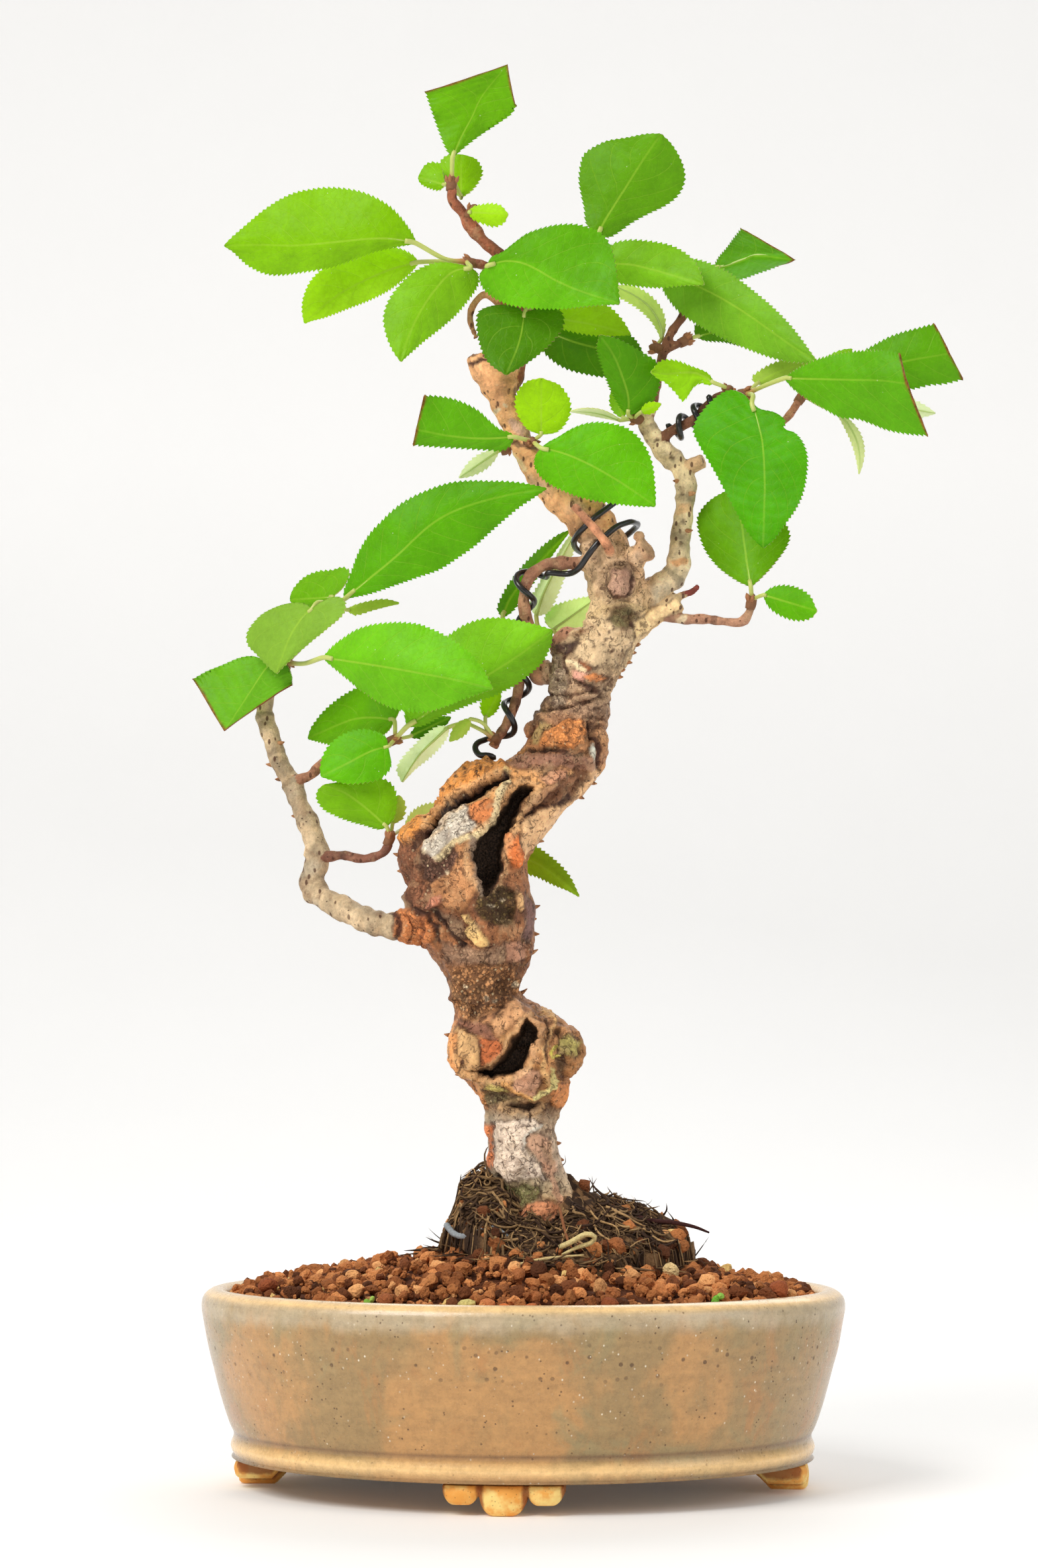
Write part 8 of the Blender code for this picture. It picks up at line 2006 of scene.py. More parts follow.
# The leaves of each bud: name of the node, the bud's (x, z, depth), its blades
SPRAYS: dict[str, tuple] = {
    "spray_apex": ((-16.8, 309.4, 0), (
        B((-16.7, 314.6), (-3.5, 337.4), -1, -3.4, ((-18.2, 317.6), (-20.0, 322.4), (-21.6, 327.0),
          (-22.8, 330.8)), ((-14.4, 317.0), (-10.4, 320.2), (-6.0, 323.2), (-3.0, 325.4), (-1.7, 327.6)),
          rib=((-14.6, 319.6), (-12.0, 324.6), (-9.4, 330.0)), cut=True, lean=(10, 16),
          tone=(112, 183, 5)),
        B((-14.6, 304.8), (-14.6, 315.3), 3.5, 6, ((-16.4, 306.6), (-18.8, 310.0), (-19.4, 312.8),
          (-17.6, 314.9)), ((-12.4, 306.6), (-10.5, 309.2), (-10.0, 311.3), (-11.4, 314.0)), arch=0.8,
          stalk=((-16.0, 308.0, 3.0),), tone=(146, 206, 16)),
        B((-18.6, 307.9), (-24.9, 309.8), 2.4, 4.0, ((-19.9, 306.9), (-22.6, 307.6), (-24.3, 308.6)),
          ((-19.6, 312.0), (-21.2, 312.9), (-23.2, 312.3)), arch=0.5, tone=(140, 204, 16)))),
    "spray_apex_side": ((-12.4, 301.0, -1), (
        B((-12.7, 301.2), (-3.5, 300.7), -3.5, -6, ((-11.6, 302.2), (-9.4, 302.6), (-7.4, 302.8),
          (-5.0, 302.3)), ((-11.8, 299.9), (-9.2, 298.8), (-6.6, 298.1), (-4.4, 299.0)), arch=0.3,
          tone=(168, 226, 24)),)),
    "spray_left_high": ((-13.8, 289.2, -1), (
        B((-25.4, 293.6), (-71.4, 293.0), -4, -9, ((-29.0, 293.2), (-34.0, 292.3), (-40.0, 290.2),
          (-46.0, 288.1), (-52.0, 287.1), (-58.0, 286.3), (-62.0, 286.8), (-66.0, 288.9), (-69.0, 291.7)),
          ((-26.4, 295.4), (-28.6, 298.6), (-31.0, 301.4), (-34.0, 303.6), (-37.6, 305.3), (-41.0, 306.2),
          (-46.0, 306.7), (-51.0, 306.2), (-55.6, 305.0), (-60.0, 302.6), (-63.6, 299.8), (-67.0, 296.8)),
          rib=((-31.0, 294.7), (-37.0, 294.7), (-44.0, 294.0), (-54.0, 293.1), (-63.0, 293.2)), arch=-2,
          lean=(26, 10), stalk=((-18.5, 289.8, -2.4),), tone=(139, 202, 3)),
        B((-24.8, 289.0), (-52.1, 274.2), 1, 4, ((-26.0, 287.6), (-28.6, 285.2), (-32.0, 282.6),
          (-37.0, 280.0), (-42.0, 278.0), (-47.0, 276.0), (-50.4, 274.9)), ((-26.4, 290.5),
          (-29.4, 291.9), (-33.0, 292.3), (-37.0, 291.8), (-42.0, 290.3), (-46.0, 288.0), (-49.6, 285.0),
          (-51.5, 281.6), (-52.3, 277.8)), rib=((-31.0, 287.4), (-38.0, 284.4), (-45.0, 280.4)), arch=1,
          lean=(16, 14), stalk=((-19.0, 289.2, 0.4),), tone=(157, 213, 24),
          halves=(1.4, 1.4)),
        B((-12.2, 287.6), (-29.0, 264.9), -5, -8, ((-10.9, 286.2), (-10.9, 283.8), (-12.8, 280.6),
          (-16.0, 276.6), (-20.0, 273.0), (-24.0, 269.8), (-27.0, 267.0)), ((-15.0, 288.3),
          (-18.6, 288.6), (-22.0, 288.1), (-26.0, 286.0), (-29.4, 282.6), (-31.8, 278.8), (-32.7, 275.0),
          (-32.0, 271.0), (-30.6, 267.6)), rib=((-16.6, 286.6), (-20.4, 282.8), (-24.2, 277.2),
          (-27.2, 270.8)), lean=(14, 12), stalk=((-13.0, 288.7, -3.2),), tone=(135, 199, 40)))),
    "spray_crown_front": ((-7.6, 286.6, -2.5), (
        B((-8.4, 288.0), (23.3, 278.9), -8, -11, ((-7.4, 289.9), (-5.0, 291.0), (-2.4, 293.0),
          (0.6, 295.2), (4.0, 296.6), (8.0, 297.6), (12.0, 297.8), (15.4, 297.2), (18.2, 296.0),
          (20.2, 294.0), (21.5, 291.0), (22.3, 287.0), (22.7, 283.0)), ((-9.8, 286.4), (-9.6, 284.0),
          (-7.8, 281.6), (-4.0, 279.4), (0.0, 278.4), (5.0, 278.0), (10.0, 278.0), (14.0, 278.4),
          (18.0, 278.8)), rib=((-4.0, 289.2), (0.0, 288.8), (4.0, 287.0), (8.0, 284.6), (14.0, 282.0)),
          lean=(12, 4), tone=(101, 179, 23), halves=(1.0, 1.24)),)),
    "spray_crown_right": ((15.2, 292.6, 5), (
        B((18.2, 296.0), (33.4, 320.3), 4, 2, ((15.9, 298.2), (15.4, 301.8), (14.7, 305.0), (14.1, 309.0),
          (14.6, 313.0), (15.5, 315.2), (18.0, 317.0), (21.0, 318.4), (26.0, 319.3), (30.0, 320.1)),
          ((20.4, 295.3), (22.8, 296.5), (26.0, 298.8), (30.0, 301.0), (34.0, 303.0), (37.0, 305.4),
          (38.6, 308.6), (38.6, 311.6), (37.6, 314.6), (35.7, 317.8)), rib=((21.0, 301.0), (25.0, 307.4),
          (29.0, 313.8)), lean=(16, 10), tone=(104, 168, 24)),
        B((19.5, 288.6), (43.5, 283.6), 2, -1, ((20.8, 291.6), (22.4, 293.2), (25.6, 293.9),
          (29.0, 293.8), (33.0, 293.2), (36.6, 292.2), (40.0, 290.0), (42.0, 287.4)), ((20.8, 285.8),
          (23.0, 284.4), (28.0, 283.5), (33.0, 283.2), (38.0, 283.6)), rib=((26.0, 288.4), (32.0, 287.0),
          (38.0, 285.2)), arch=0.5, tone=(130, 194, 52), halves=(0.96, 1.14)))),
    "spray_crown_low": ((3.2, 277.2, -2), (
        B((0.5, 276.4), (-3.8, 261.7), -5, -8, ((2.4, 277.3), (5.6, 278.0), (8.4, 277.4), (9.6, 275.0),
          (9.0, 272.4), (7.0, 269.8), (4.6, 267.4), (1.6, 265.0), (-1.0, 263.3)), ((-1.0, 277.9),
          (-4.0, 278.5), (-7.6, 277.9), (-10.0, 276.6), (-10.4, 273.6), (-9.9, 270.0), (-8.8, 266.6),
          (-7.0, 264.0)), rib=((-0.1, 272.0), (-1.2, 268.0)), lean=(12, 12), arch=0.6,
          stalk=((1.4, 277.8, -4.0),), tone=(80, 139, 2)),
        B((6.0, 276.0), (26.0, 271.4), 0, 1.5, ((8.0, 277.8), (12.0, 278.2), (18.8, 278.3), (21.0, 277.5),
          (23.4, 275.1)), ((7.6, 274.2), (11.0, 272.8), (15.0, 271.9), (20.0, 271.4), (23.6, 271.4)),
          rib=((11.0, 274.9), (18.0, 273.6)), arch=0.4, tone=(166, 222, 30)),
        B((6.6, 271.8), (29.4, 265.6), 4, 6, ((9.0, 273.2), (14.0, 272.9), (19.0, 272.3), (24.0, 271.5),
          (27.0, 269.7)), ((5.3, 269.8), (5.4, 267.8), (7.6, 265.4), (11.0, 263.4), (15.0, 262.3),
          (20.0, 261.6), (25.0, 262.6)), rib=((13.0, 269.4), (21.0, 267.4)), arch=0.8,
          stalk=((4.6, 274.2, 2),), tone=(84, 146, 20)))),
    "spray_right_crown": ((40.2, 282.8, 9), (
        B((35.8, 284.2), (70.6, 264.6), 5.5, 1, ((37.0, 287.4), (41.0, 289.2), (46.0, 287.8),
          (50.0, 285.7), (55.0, 281.8), (60.0, 277.5), (64.0, 273.3), (67.0, 269.4)), ((34.0, 283.0),
          (35.6, 280.0), (38.0, 277.2), (41.0, 275.0), (44.6, 272.8), (48.0, 271.0), (52.0, 269.2),
          (57.0, 267.2), (62.0, 265.6), (66.0, 265.0)), rib=((40.6, 283.6), (46.0, 281.2), (52.0, 277.6),
          (58.0, 273.4), (64.0, 269.0)), arch=-0.5, lean=(14, 16), tone=(126, 189, 66)),
        B((46.2, 287.4), (65.5, 289.5), 9, 11, ((47.6, 290.0), (50.0, 292.8), (53.0, 297.0)),
          ((48.8, 286.4), (51.8, 285.2), (56.0, 286.6), (61.4, 288.4)), rib=((49.6, 288.2), (53.4, 289.6),
          (57.0, 290.6)), cut=True, arch=0.6, lean=(15, 55), tone=(90, 158, 30), halves=(1.0, 1.6)))),
    "spray_right_fork": ((40.0, 270.4, 8), (
        B((41.6, 270.9), (56.6, 267.8), 9, 11, ((41.6, 272.8), (42.6, 274.5), (46.0, 274.0),
          (50.6, 271.6)), ((44.0, 270.2), (48.0, 270.0), (52.0, 269.0)), rib=((48.0, 271.8),), arch=0.4,
          tone=(90, 152, 30)),)),
    "spray_right_pale": ((32.4, 268.0, 5.5), (
        B((33.4, 270.2), (22.4, 283.2), 6.5, 8, ((32.8, 272.0), (31.2, 274.8), (28.4, 277.7),
          (25.2, 279.8), (22.8, 281.2)), ((34.0, 272.2), (33.9, 275.2), (32.6, 278.2), (30.0, 280.9),
          (26.4, 282.9)), rib=((33.4, 272.4), (32.3, 275.4), (30.0, 278.6), (26.4, 281.2)), arch=0.4,
          lean=(24, 24), tone=(190, 214, 110), under=True),)),
    "spray_right_inner": ((26.9, 251.0, -1), (
        B((25.4, 252.0), (18.7, 271.2), -3.5, -7, ((23.8, 253.8), (21.9, 257.4), (20.3, 261.4),
          (19.0, 265.4), (18.3, 268.4)), ((28.2, 252.8), (31.0, 255.6), (32.4, 259.0), (32.6, 262.4),
          (31.6, 264.8), (28.6, 266.8), (25.6, 268.6), (22.0, 270.3)), rib=((25.4, 256.4), (24.0, 261.2),
          (22.0, 266.2)), arch=0.5, lean=(14, 16), tone=(92, 166, 4)),
        B((24.2, 251.2), (21.6, 258.2), 0.5, 1.5, 1.7, 1.7, arch=0.2, tone=(140, 204, 16)),
        B((23.4, 250.6), (11.5, 252.8), -2.5, -4.5, 0.9, 0.9, bow=-0.8, arch=0.3, lean=(62, -62),
          tone=(214, 226, 176), under=True),
        B((28.4, 252.6), (33.2, 254.6), -4.5, -6.0, 1.3, 1.2, arch=0.2, stalk=((27.4, 251.8, -3.4),),
          tone=(168, 226, 24)))),
    "spray_right_curl": ((49.6, 257.6, -2.6), (
        B((45.9, 259.7), (30.9, 262.3), -6.4, -8.4, ((44.8, 259.4), (43.0, 259.9), (41.0, 258.8),
          (38.6, 255.7), (36.8, 257.6), (34.4, 260.0), (32.6, 260.9)), ((44.0, 261.9), (40.0, 263.5),
          (36.6, 264.6), (33.4, 264.5)), rib=((42.0, 261.9), (38.0, 262.1), (34.4, 261.8)), arch=0.4,
          lean=(18, 24), stalk=((48.2, 258.8, -5.2),), tone=(150, 210, 30), halves=(1.3, 1.0)),)),
    "spray_right_low": ((54.8, 257.2, -1.5), (
        B((54.9, 254.8), (57.4, 219.9), -9, -11, ((56.6, 253.4), (60.0, 252.5), (62.4, 250.6),
          (62.2, 248.6), (64.6, 247.6), (66.4, 245.6), (67.5, 242.6), (67.6, 239.0), (66.8, 234.0),
          (65.0, 229.6), (62.0, 225.2), (59.4, 221.8)), ((53.3, 256.6), (50.2, 257.7), (47.0, 256.2),
          (44.0, 253.2), (42.0, 250.4), (41.4, 247.6), (42.6, 244.8), (44.8, 241.0), (47.2, 236.6),
          (49.6, 232.0), (52.2, 227.0), (54.8, 222.8)), rib=((56.2, 250.4), (57.4, 244.6), (57.8, 236.0),
          (57.6, 228.0)), arch=-1.2, lean=(16, 14), stalk=((55.2, 256.6, -6.5),), tone=(85, 177, 4)),
        B((56.0, 259.4), (71.0, 264.7), 2.0, 5, ((55.4, 260.8), (57.8, 262.7), (61.0, 264.3),
          (64.6, 265.2), (68.0, 265.1)), ((58.8, 259.6), (62.0, 260.6), (66.0, 262.4)),
          rib=((61.0, 262.2), (66.0, 263.8)), arch=0.3, tone=(172, 206, 120)),
        B((62.8, 260.8), (92.2, 259.4), -4, -8, ((66.0, 262.6), (70.0, 264.6), (74.0, 265.8),
          (79.0, 266.7), (84.0, 267.0), (88.0, 266.8), (90.6, 266.2)), ((65.0, 258.6), (68.0, 256.4),
          (72.0, 254.0), (76.0, 251.8), (80.0, 251.4), (83.0, 250.4), (87.0, 248.8), (91.6, 247.8),
          (96.8, 247.3)), rib=((70.0, 260.6), (78.0, 260.4), (86.0, 260.2)), cut=True, arch=-1.0,
          lean=(16, 12), stalk=((58.5, 259.2, -3.0),), tone=(104, 185, 31)))),
    "spray_right_tip": ((67.6, 257.4, 3.6), (
        B((75.0, 261.5), (102.4, 266.8), 5, 7.4, ((76.6, 264.0), (80.0, 266.0), (83.0, 267.6),
          (87.0, 269.8), (91.0, 271.4), (95.4, 272.6), (99.0, 273.6)), ((78.0, 259.8), (83.0, 258.6),
          (88.0, 258.4), (93.4, 258.7), (97.0, 259.5), (101.0, 259.9), (105.2, 261.0)),
          rib=((84.0, 263.2), (93.0, 265.2)), cut=True, arch=0.5, lean=(12, 18),
          stalk=((71, 259.5, 4.2),), tone=(104, 178, 26)),
        B((70.6, 262.4), (79.0, 267.9), 1.5, 2.2, 1.5, 1.5, arch=0.2, stalk=((68.6, 259.6, 2.6),),
          tone=(140, 204, 16)),
        B((76.0, 256.4), (98.7, 252.3), 3.6, 6, 2.9, 2.9, arch=0.4, stalk=((71.5, 256.6, 3.6),),
          tone=(214, 226, 176), under=True),
        B((75.2, 252.6), (80.4, 237.6), 1.4, 1.2, 1.3, 1.3, bow=2.2, arch=0.2,
          stalk=((71.0, 254.4, 2.2),), tone=(196, 206, 140), under=True))),
    "spray_right_hang": ((54.9, 208.6, -0.5), (
        B((54.4, 210.6), (50.6, 234.4), -2, 1, ((51.4, 212.2), (47.6, 214.9), (44.6, 218.4),
          (42.8, 222.6), (42.2, 226.6), (43.4, 229.4), (46.0, 231.8), (48.6, 233.3)), ((57.0, 213.2),
          (60.4, 217.0), (62.8, 220.6), (63.2, 223.6), (61.0, 227.6), (56.6, 231.6), (52.8, 233.6)),
          rib=((53.4, 217.0), (52.2, 226.0)), arch=0.5, lean=(16, 16), tone=(108, 172, 15)),
        B((57.4, 208.6), (69.9, 204.8), -2.5, -4, ((59.2, 209.8), (62.0, 210.4), (65.4, 209.8),
          (68.2, 208.0)), ((58.8, 206.2), (61.0, 204.4), (63.8, 203.2), (66.6, 202.9), (68.9, 203.6)),
          arch=0.4, tone=(104, 190, 10)))),
    "spray_leader": ((2.6, 245.6, -4), (
        B((4.6, 243.9), (31.7, 229.9), -8, -11, ((6.4, 245.2), (8.8, 246.4), (11.4, 248.0), (14.4, 249.2),
          (17.6, 249.7), (21.0, 249.4), (24.2, 248.6), (26.8, 246.8), (28.8, 244.4), (30.2, 241.6),
          (31.0, 238.6), (31.4, 234.6)), ((3.5, 242.2), (3.3, 240.0), (4.4, 237.8), (6.6, 235.8),
          (9.6, 234.2), (13.0, 232.8), (17.0, 231.7), (21.0, 231.0), (26.0, 230.4)), rib=((10.0, 242.6),
          (16.0, 240.0), (22.0, 236.6), (28.0, 232.6)), arch=-0.8, lean=(12, 16), tone=(108, 198, 8)),
        B((4.6, 247.2), (4.6, 260.7), -5.5, -7, ((1.6, 248.6), (-0.5, 251.8), (-1.2, 255.0),
          (-0.4, 257.8), (1.6, 259.9)), ((7.8, 247.8), (9.8, 249.6), (11.1, 252.4), (11.0, 255.4),
          (9.8, 257.6), (8.2, 259.3)), arch=0.3, lean=(10, 10), tone=(173, 234, 11)),
        B((-1.9, 246.6), (-25.3, 248.4), -6.5, -7.4, ((-3.0, 244.8), (-5.0, 243.7), (-9.0, 243.9),
          (-15.0, 244.3), (-20.0, 244.6), (-26.0, 245.1)), ((-3.0, 247.4), (-4.8, 247.8), (-6.4, 248.8),
          (-8.4, 250.6), (-10.4, 252.4), (-13.4, 254.1), (-16.6, 255.3), (-20.0, 255.9), (-23.6, 256.1)),
          rib=((-9.0, 246.2), (-17.0, 246.8)), cut=True, arch=0.4, lean=(14, 12), tone=(100, 177, 27)))),
    "spray_leader_back": ((-3.6, 243.9, 1.5), (
        B((-5.6, 243.2), (-15.0, 236.7), 2.0, 3, 1.7, 1.8, arch=0.3, tone=(214, 226, 176), under=True),)),
    "spray_left_tip": ((-43.9, 206.3, 0), (
        B((-42.2, 207.6), (5.8, 234.2), -3, -7, ((-41.9, 209.8), (-40.4, 213.6), (-38.6, 218.4),
          (-35.4, 223.4), (-31.4, 227.6), (-27.4, 230.8), (-22.6, 233.2), (-18.0, 234.8), (-13.4, 235.5),
          (-8.0, 235.5), (-2.0, 235.3)), ((-40.0, 208.3), (-35.6, 209.4), (-30.0, 211.4), (-25.0, 213.2),
          (-20.0, 215.0), (-15.6, 217.8), (-11.6, 220.6), (-7.6, 224.2), (-4.0, 227.4), (0.0, 230.6)),
          rib=((-37.0, 211.9), (-30.0, 217.8), (-22.0, 225.2), (-15.0, 229.2), (-5.0, 232.2)), arch=-0.8,
          lean=(16, 10), tone=(96, 177, 3)),
        B((-49.9, 205.2), (-58.3, 189.8), -10.5, -11.3, ((-48.2, 206.4), (-46.0, 207.8), (-43.3, 207.8),
          (-42.3, 206.0), (-43.2, 203.5), (-46.2, 200.8), (-49.6, 198.0), (-52.6, 195.4), (-55.6, 192.6)),
          ((-51.3, 206.2), (-53.6, 206.6), (-57.0, 205.9), (-60.6, 204.3), (-63.4, 201.8), (-64.9, 199.0),
          (-64.5, 196.4), (-62.4, 194.2), (-60.4, 192.0)), rib=((-52.6, 202.6), (-55.4, 198.0)),
          arch=-0.5, lean=(10, 10), stalk=((-46.2, 206.6, -5.5), (-48.6, 206.8, -8.8)),
          tone=(143, 189, 99)),
        B((-45.0, 208.2), (-55.1, 207.4), 3.2, 5, ((-46.4, 206.6), (-50.0, 205.8), (-53.6, 206.0)),
          ((-43.0, 210.0), (-41.6, 212.4), (-41.4, 214.1), (-43.0, 214.8), (-45.4, 214.1), (-48.6, 213.8),
          (-51.8, 212.3), (-54.2, 209.8)), arch=0.4, tone=(122, 193, 16)),
        B((-41.6, 205.0), (-29.2, 206.6), 0.6, 2, ((-39.6, 205.9), (-36.0, 206.8), (-32.4, 207.2)),
          ((-39.4, 204.1), (-35.6, 205.1), (-32.0, 206.0)), arch=0.3, tone=(190, 218, 130)))),
    "spray_left_shoulder": ((-55.6, 192.4, -1), (
        B((-57.4, 193.0), (-70.6, 176.1), -4.6, -7.0, ((-56.2, 191.9), (-55.1, 189.4), (-55.0, 187.0)),
          ((-60.2, 192.7), (-63.6, 193.7), (-67.0, 193.2), (-70.4, 191.7), (-74.0, 190.3),
          (-77.8, 188.2)), rib=((-60.6, 191.0), (-64.2, 185.8), (-67.8, 180.2)), cut=True, arch=-0.4,
          lean=(10, 12), tone=(113, 187, 46), halves=(0.92, 1.0)),
        B((-47.2, 193.6), (-7.0, 186.2), -9.5, -15, ((-45.0, 195.7), (-42.0, 198.0), (-39.0, 199.8),
          (-35.0, 201.0), (-30.0, 201.5), (-25.0, 201.1), (-21.0, 199.7), (-17.0, 197.6), (-13.0, 194.6),
          (-10.0, 191.2)), ((-44.6, 191.6), (-41.6, 189.2), (-38.0, 186.2), (-34.4, 183.8),
          (-30.6, 182.0), (-26.6, 181.1), (-22.0, 181.2), (-18.0, 182.4), (-14.0, 184.0), (-10.0, 185.4)),
          rib=((-41.0, 192.7), (-34.0, 191.6), (-26.0, 190.2), (-16.0, 188.3)), arch=-1.2, lean=(12, 18),
          stalk=((-51.5, 192.2, -5.5),), tone=(119, 203, 41), halves=(1.12, 0.94)))),
    "spray_left_mid": ((-29.9, 174.2, 0), (
        B((-27.2, 177.2), (7.2, 200.1), -5, -7, ((-27.4, 181.0), (-25.4, 186.6), (-22.0, 192.4),
          (-18.4, 197.2), (-15.0, 200.0), (-12.0, 201.6), (-8.0, 202.6), (-3.6, 202.5), (0.6, 201.8)),
          ((-24.0, 177.6), (-20.0, 179.6), (-15.0, 181.8), (-10.0, 183.8), (-6.0, 185.3), (-1.6, 187.6),
          (2.0, 190.4), (4.8, 193.2), (6.5, 196.8)), rib=((-20.0, 182.0), (-14.0, 186.0), (-8.0, 189.5),
          (-2.0, 193.3), (3.0, 196.9)), arch=-1.0, lean=(10, 30), tone=(131, 201, 46),
          halves=(1.15, 0.86)),
        B((-30.2, 178.6), (-50.7, 174.3), 2.5, 5, ((-32.0, 176.2), (-35.0, 174.4), (-39.0, 173.2),
          (-43.6, 172.9), (-47.4, 173.7)), ((-29.4, 181.0), (-31.4, 185.2), (-35.0, 186.8),
          (-38.6, 186.2), (-43.6, 183.2), (-47.0, 180.2), (-49.5, 176.9)), rib=((-35.0, 179.3),
          (-41.0, 178.6)), arch=0.5, lean=(14, 14), tone=(115, 192, 6)),
        B((-31.8, 172.4), (-47.5, 165.3), -4, -7, ((-31.4, 170.4), (-31.2, 168.2), (-32.2, 166.4),
          (-34.4, 164.8), (-38.0, 164.1), (-42.0, 164.0)), ((-32.4, 174.4), (-34.8, 175.6),
          (-38.0, 176.0), (-41.4, 175.2), (-44.6, 173.2), (-46.6, 170.4), (-47.4, 167.6)),
          rib=((-36.0, 171.2), (-41.0, 168.6)), arch=-0.3, lean=(12, 12), tone=(105, 192, 12)),
        B((-26.6, 174.8), (-16.8, 179.4), 4.6, 7.0, 1.7, 1.9, arch=0.3, tone=(86, 148, 26)))),
    "spray_left_low": ((-30.9, 151.2, -1), (
        B((-32.0, 153.4), (-46.8, 163.3), -2, -4, ((-33.6, 153.0), (-36.6, 153.9), (-40.0, 154.8),
          (-43.6, 156.2), (-46.6, 157.8), (-48.2, 160.2), (-47.9, 162.2)), ((-30.6, 155.2),
          (-30.0, 158.4), (-30.2, 161.4), (-31.6, 163.6), (-34.2, 164.6), (-37.8, 163.9), (-42.0, 163.9)),
          rib=((-36.4, 157.4), (-41.6, 161.2)), arch=0.3, lean=(12, 12), tone=(126, 189, 12)),
        B((-30.6, 154.0), (-29.2, 160.8), 0.8, 0.6, ((-31.2, 156.0), (-30.8, 158.8)), ((-28.6, 155.4),
          (-27.9, 157.8), (-28.3, 159.8)), arch=0.2, tone=(196, 222, 140)),
        B((-27.6, 153.2), (-17.6, 158.4), 8, 11, 2.6, 1.6, arch=0.3, stalk=((-29.6, 152.0, 3.0),),
          tone=(200, 224, 140), under=True, halves=(1.3, 1.3)))),
    "spray_hanging": ((-6.4, 174.2, -1.6), (
        B((-17.4, 177.0), (-28.3, 164.0), 2, 4, ((-18.0, 174.8), (-20.2, 171.9), (-22.8, 169.4),
          (-25.4, 167.2)), ((-19.6, 176.9), (-22.6, 174.9), (-25.6, 172.0), (-28.0, 169.4),
          (-29.2, 166.8)), rib=((-20.4, 174.2), (-24.4, 170.2)), arch=0.3, stalk=((-9.8, 176.4, -2.6),
          (-13.6, 177.9, 0.2)), tone=(206, 220, 176), under=True, halves=(1.35, 1.35)),
        B((-12.2, 179.0), (-17.2, 173.6), -4.0, -4.0, 1.5, 1.4, arch=0.2, stalk=((-9.2, 177.9, -3.8),),
          tone=(196, 222, 140)),
        B((-8.7, 179.2), (-5.2, 185.8), -0.6, 0.6, 2.5, 1.5, arch=0.2, stalk=((-8.4, 176.4, -1.6),),
          tone=(168, 226, 24)))),
    "spray_back_upper": ((10.2, 197.0, 7.6), (
        B((-4.6, 203.2), (11.4, 224.0), 7, 9, ((-5.4, 205.6), (-3.0, 210.6), (1.0, 215.8), (5.0, 219.8),
          (8.6, 222.6)), ((-2.4, 205.0), (0.6, 209.2), (4.2, 214.2), (8.0, 219.6)), rib=((-2.6, 208.0),
          (2.8, 214.8)), arch=0.3, lean=(20, 26), stalk=((2.6, 197.4, 7.0), (-2.4, 199.6, 7.0)),
          tone=(100, 172, 24), halves=(0.9, 1.5)),
        B((3.4, 203.6), (13.3, 224.5), 9.5, 11, ((2.2, 206.6), (4.6, 211.4), (8.0, 217.0), (11.0, 221.8)),
          ((6.2, 205.0), (8.6, 210.0), (11.0, 216.6), (12.8, 221.6)), rib=((5.4, 209.6), (9.4, 217.4)),
          arch=0.3, lean=(26, 26), stalk=((4.6, 199.8, 8.5),), tone=(212, 232, 176), under=True,
          halves=(1.1, 1.3)),
        B((7.4, 200.2), (18.6, 208.4), 10.5, 13, ((5.8, 202.2), (6.8, 205.0), (10.0, 206.4),
          (14.0, 207.5)), ((9.8, 198.4), (12.6, 198.9), (16.0, 202.0), (18.2, 205.4)), arch=0.3,
          tone=(200, 234, 146), under=True, halves=(1.35, 1.35)))),
    "spray_back_low": ((-7.0, 147.8, 13), (
        B((-3.4, 146.8), (13.4, 137.0), 13.5, 9, ((-1.0, 149.2), (3.0, 148.4), (6.0, 146.4), (9.0, 143.8),
          (11.4, 140.8)), ((-2.0, 144.2), (1.0, 142.7), (4.0, 141.8), (8.0, 139.8), (11.0, 138.4)),
          rib=((2.0, 145.4), (7.0, 142.4)), arch=0.4, lean=(20, 20), tone=(150, 190, 60),
          halves=(1.0, 1.35)),)),
}

# What a blade's shader reads, for the parts of a spray that have no veins
BLANK = dict.fromkeys(("vein_phase", "vein_pitch", "vein_fade", "rib_gap", "rib_fade", "dry"), 0.0)


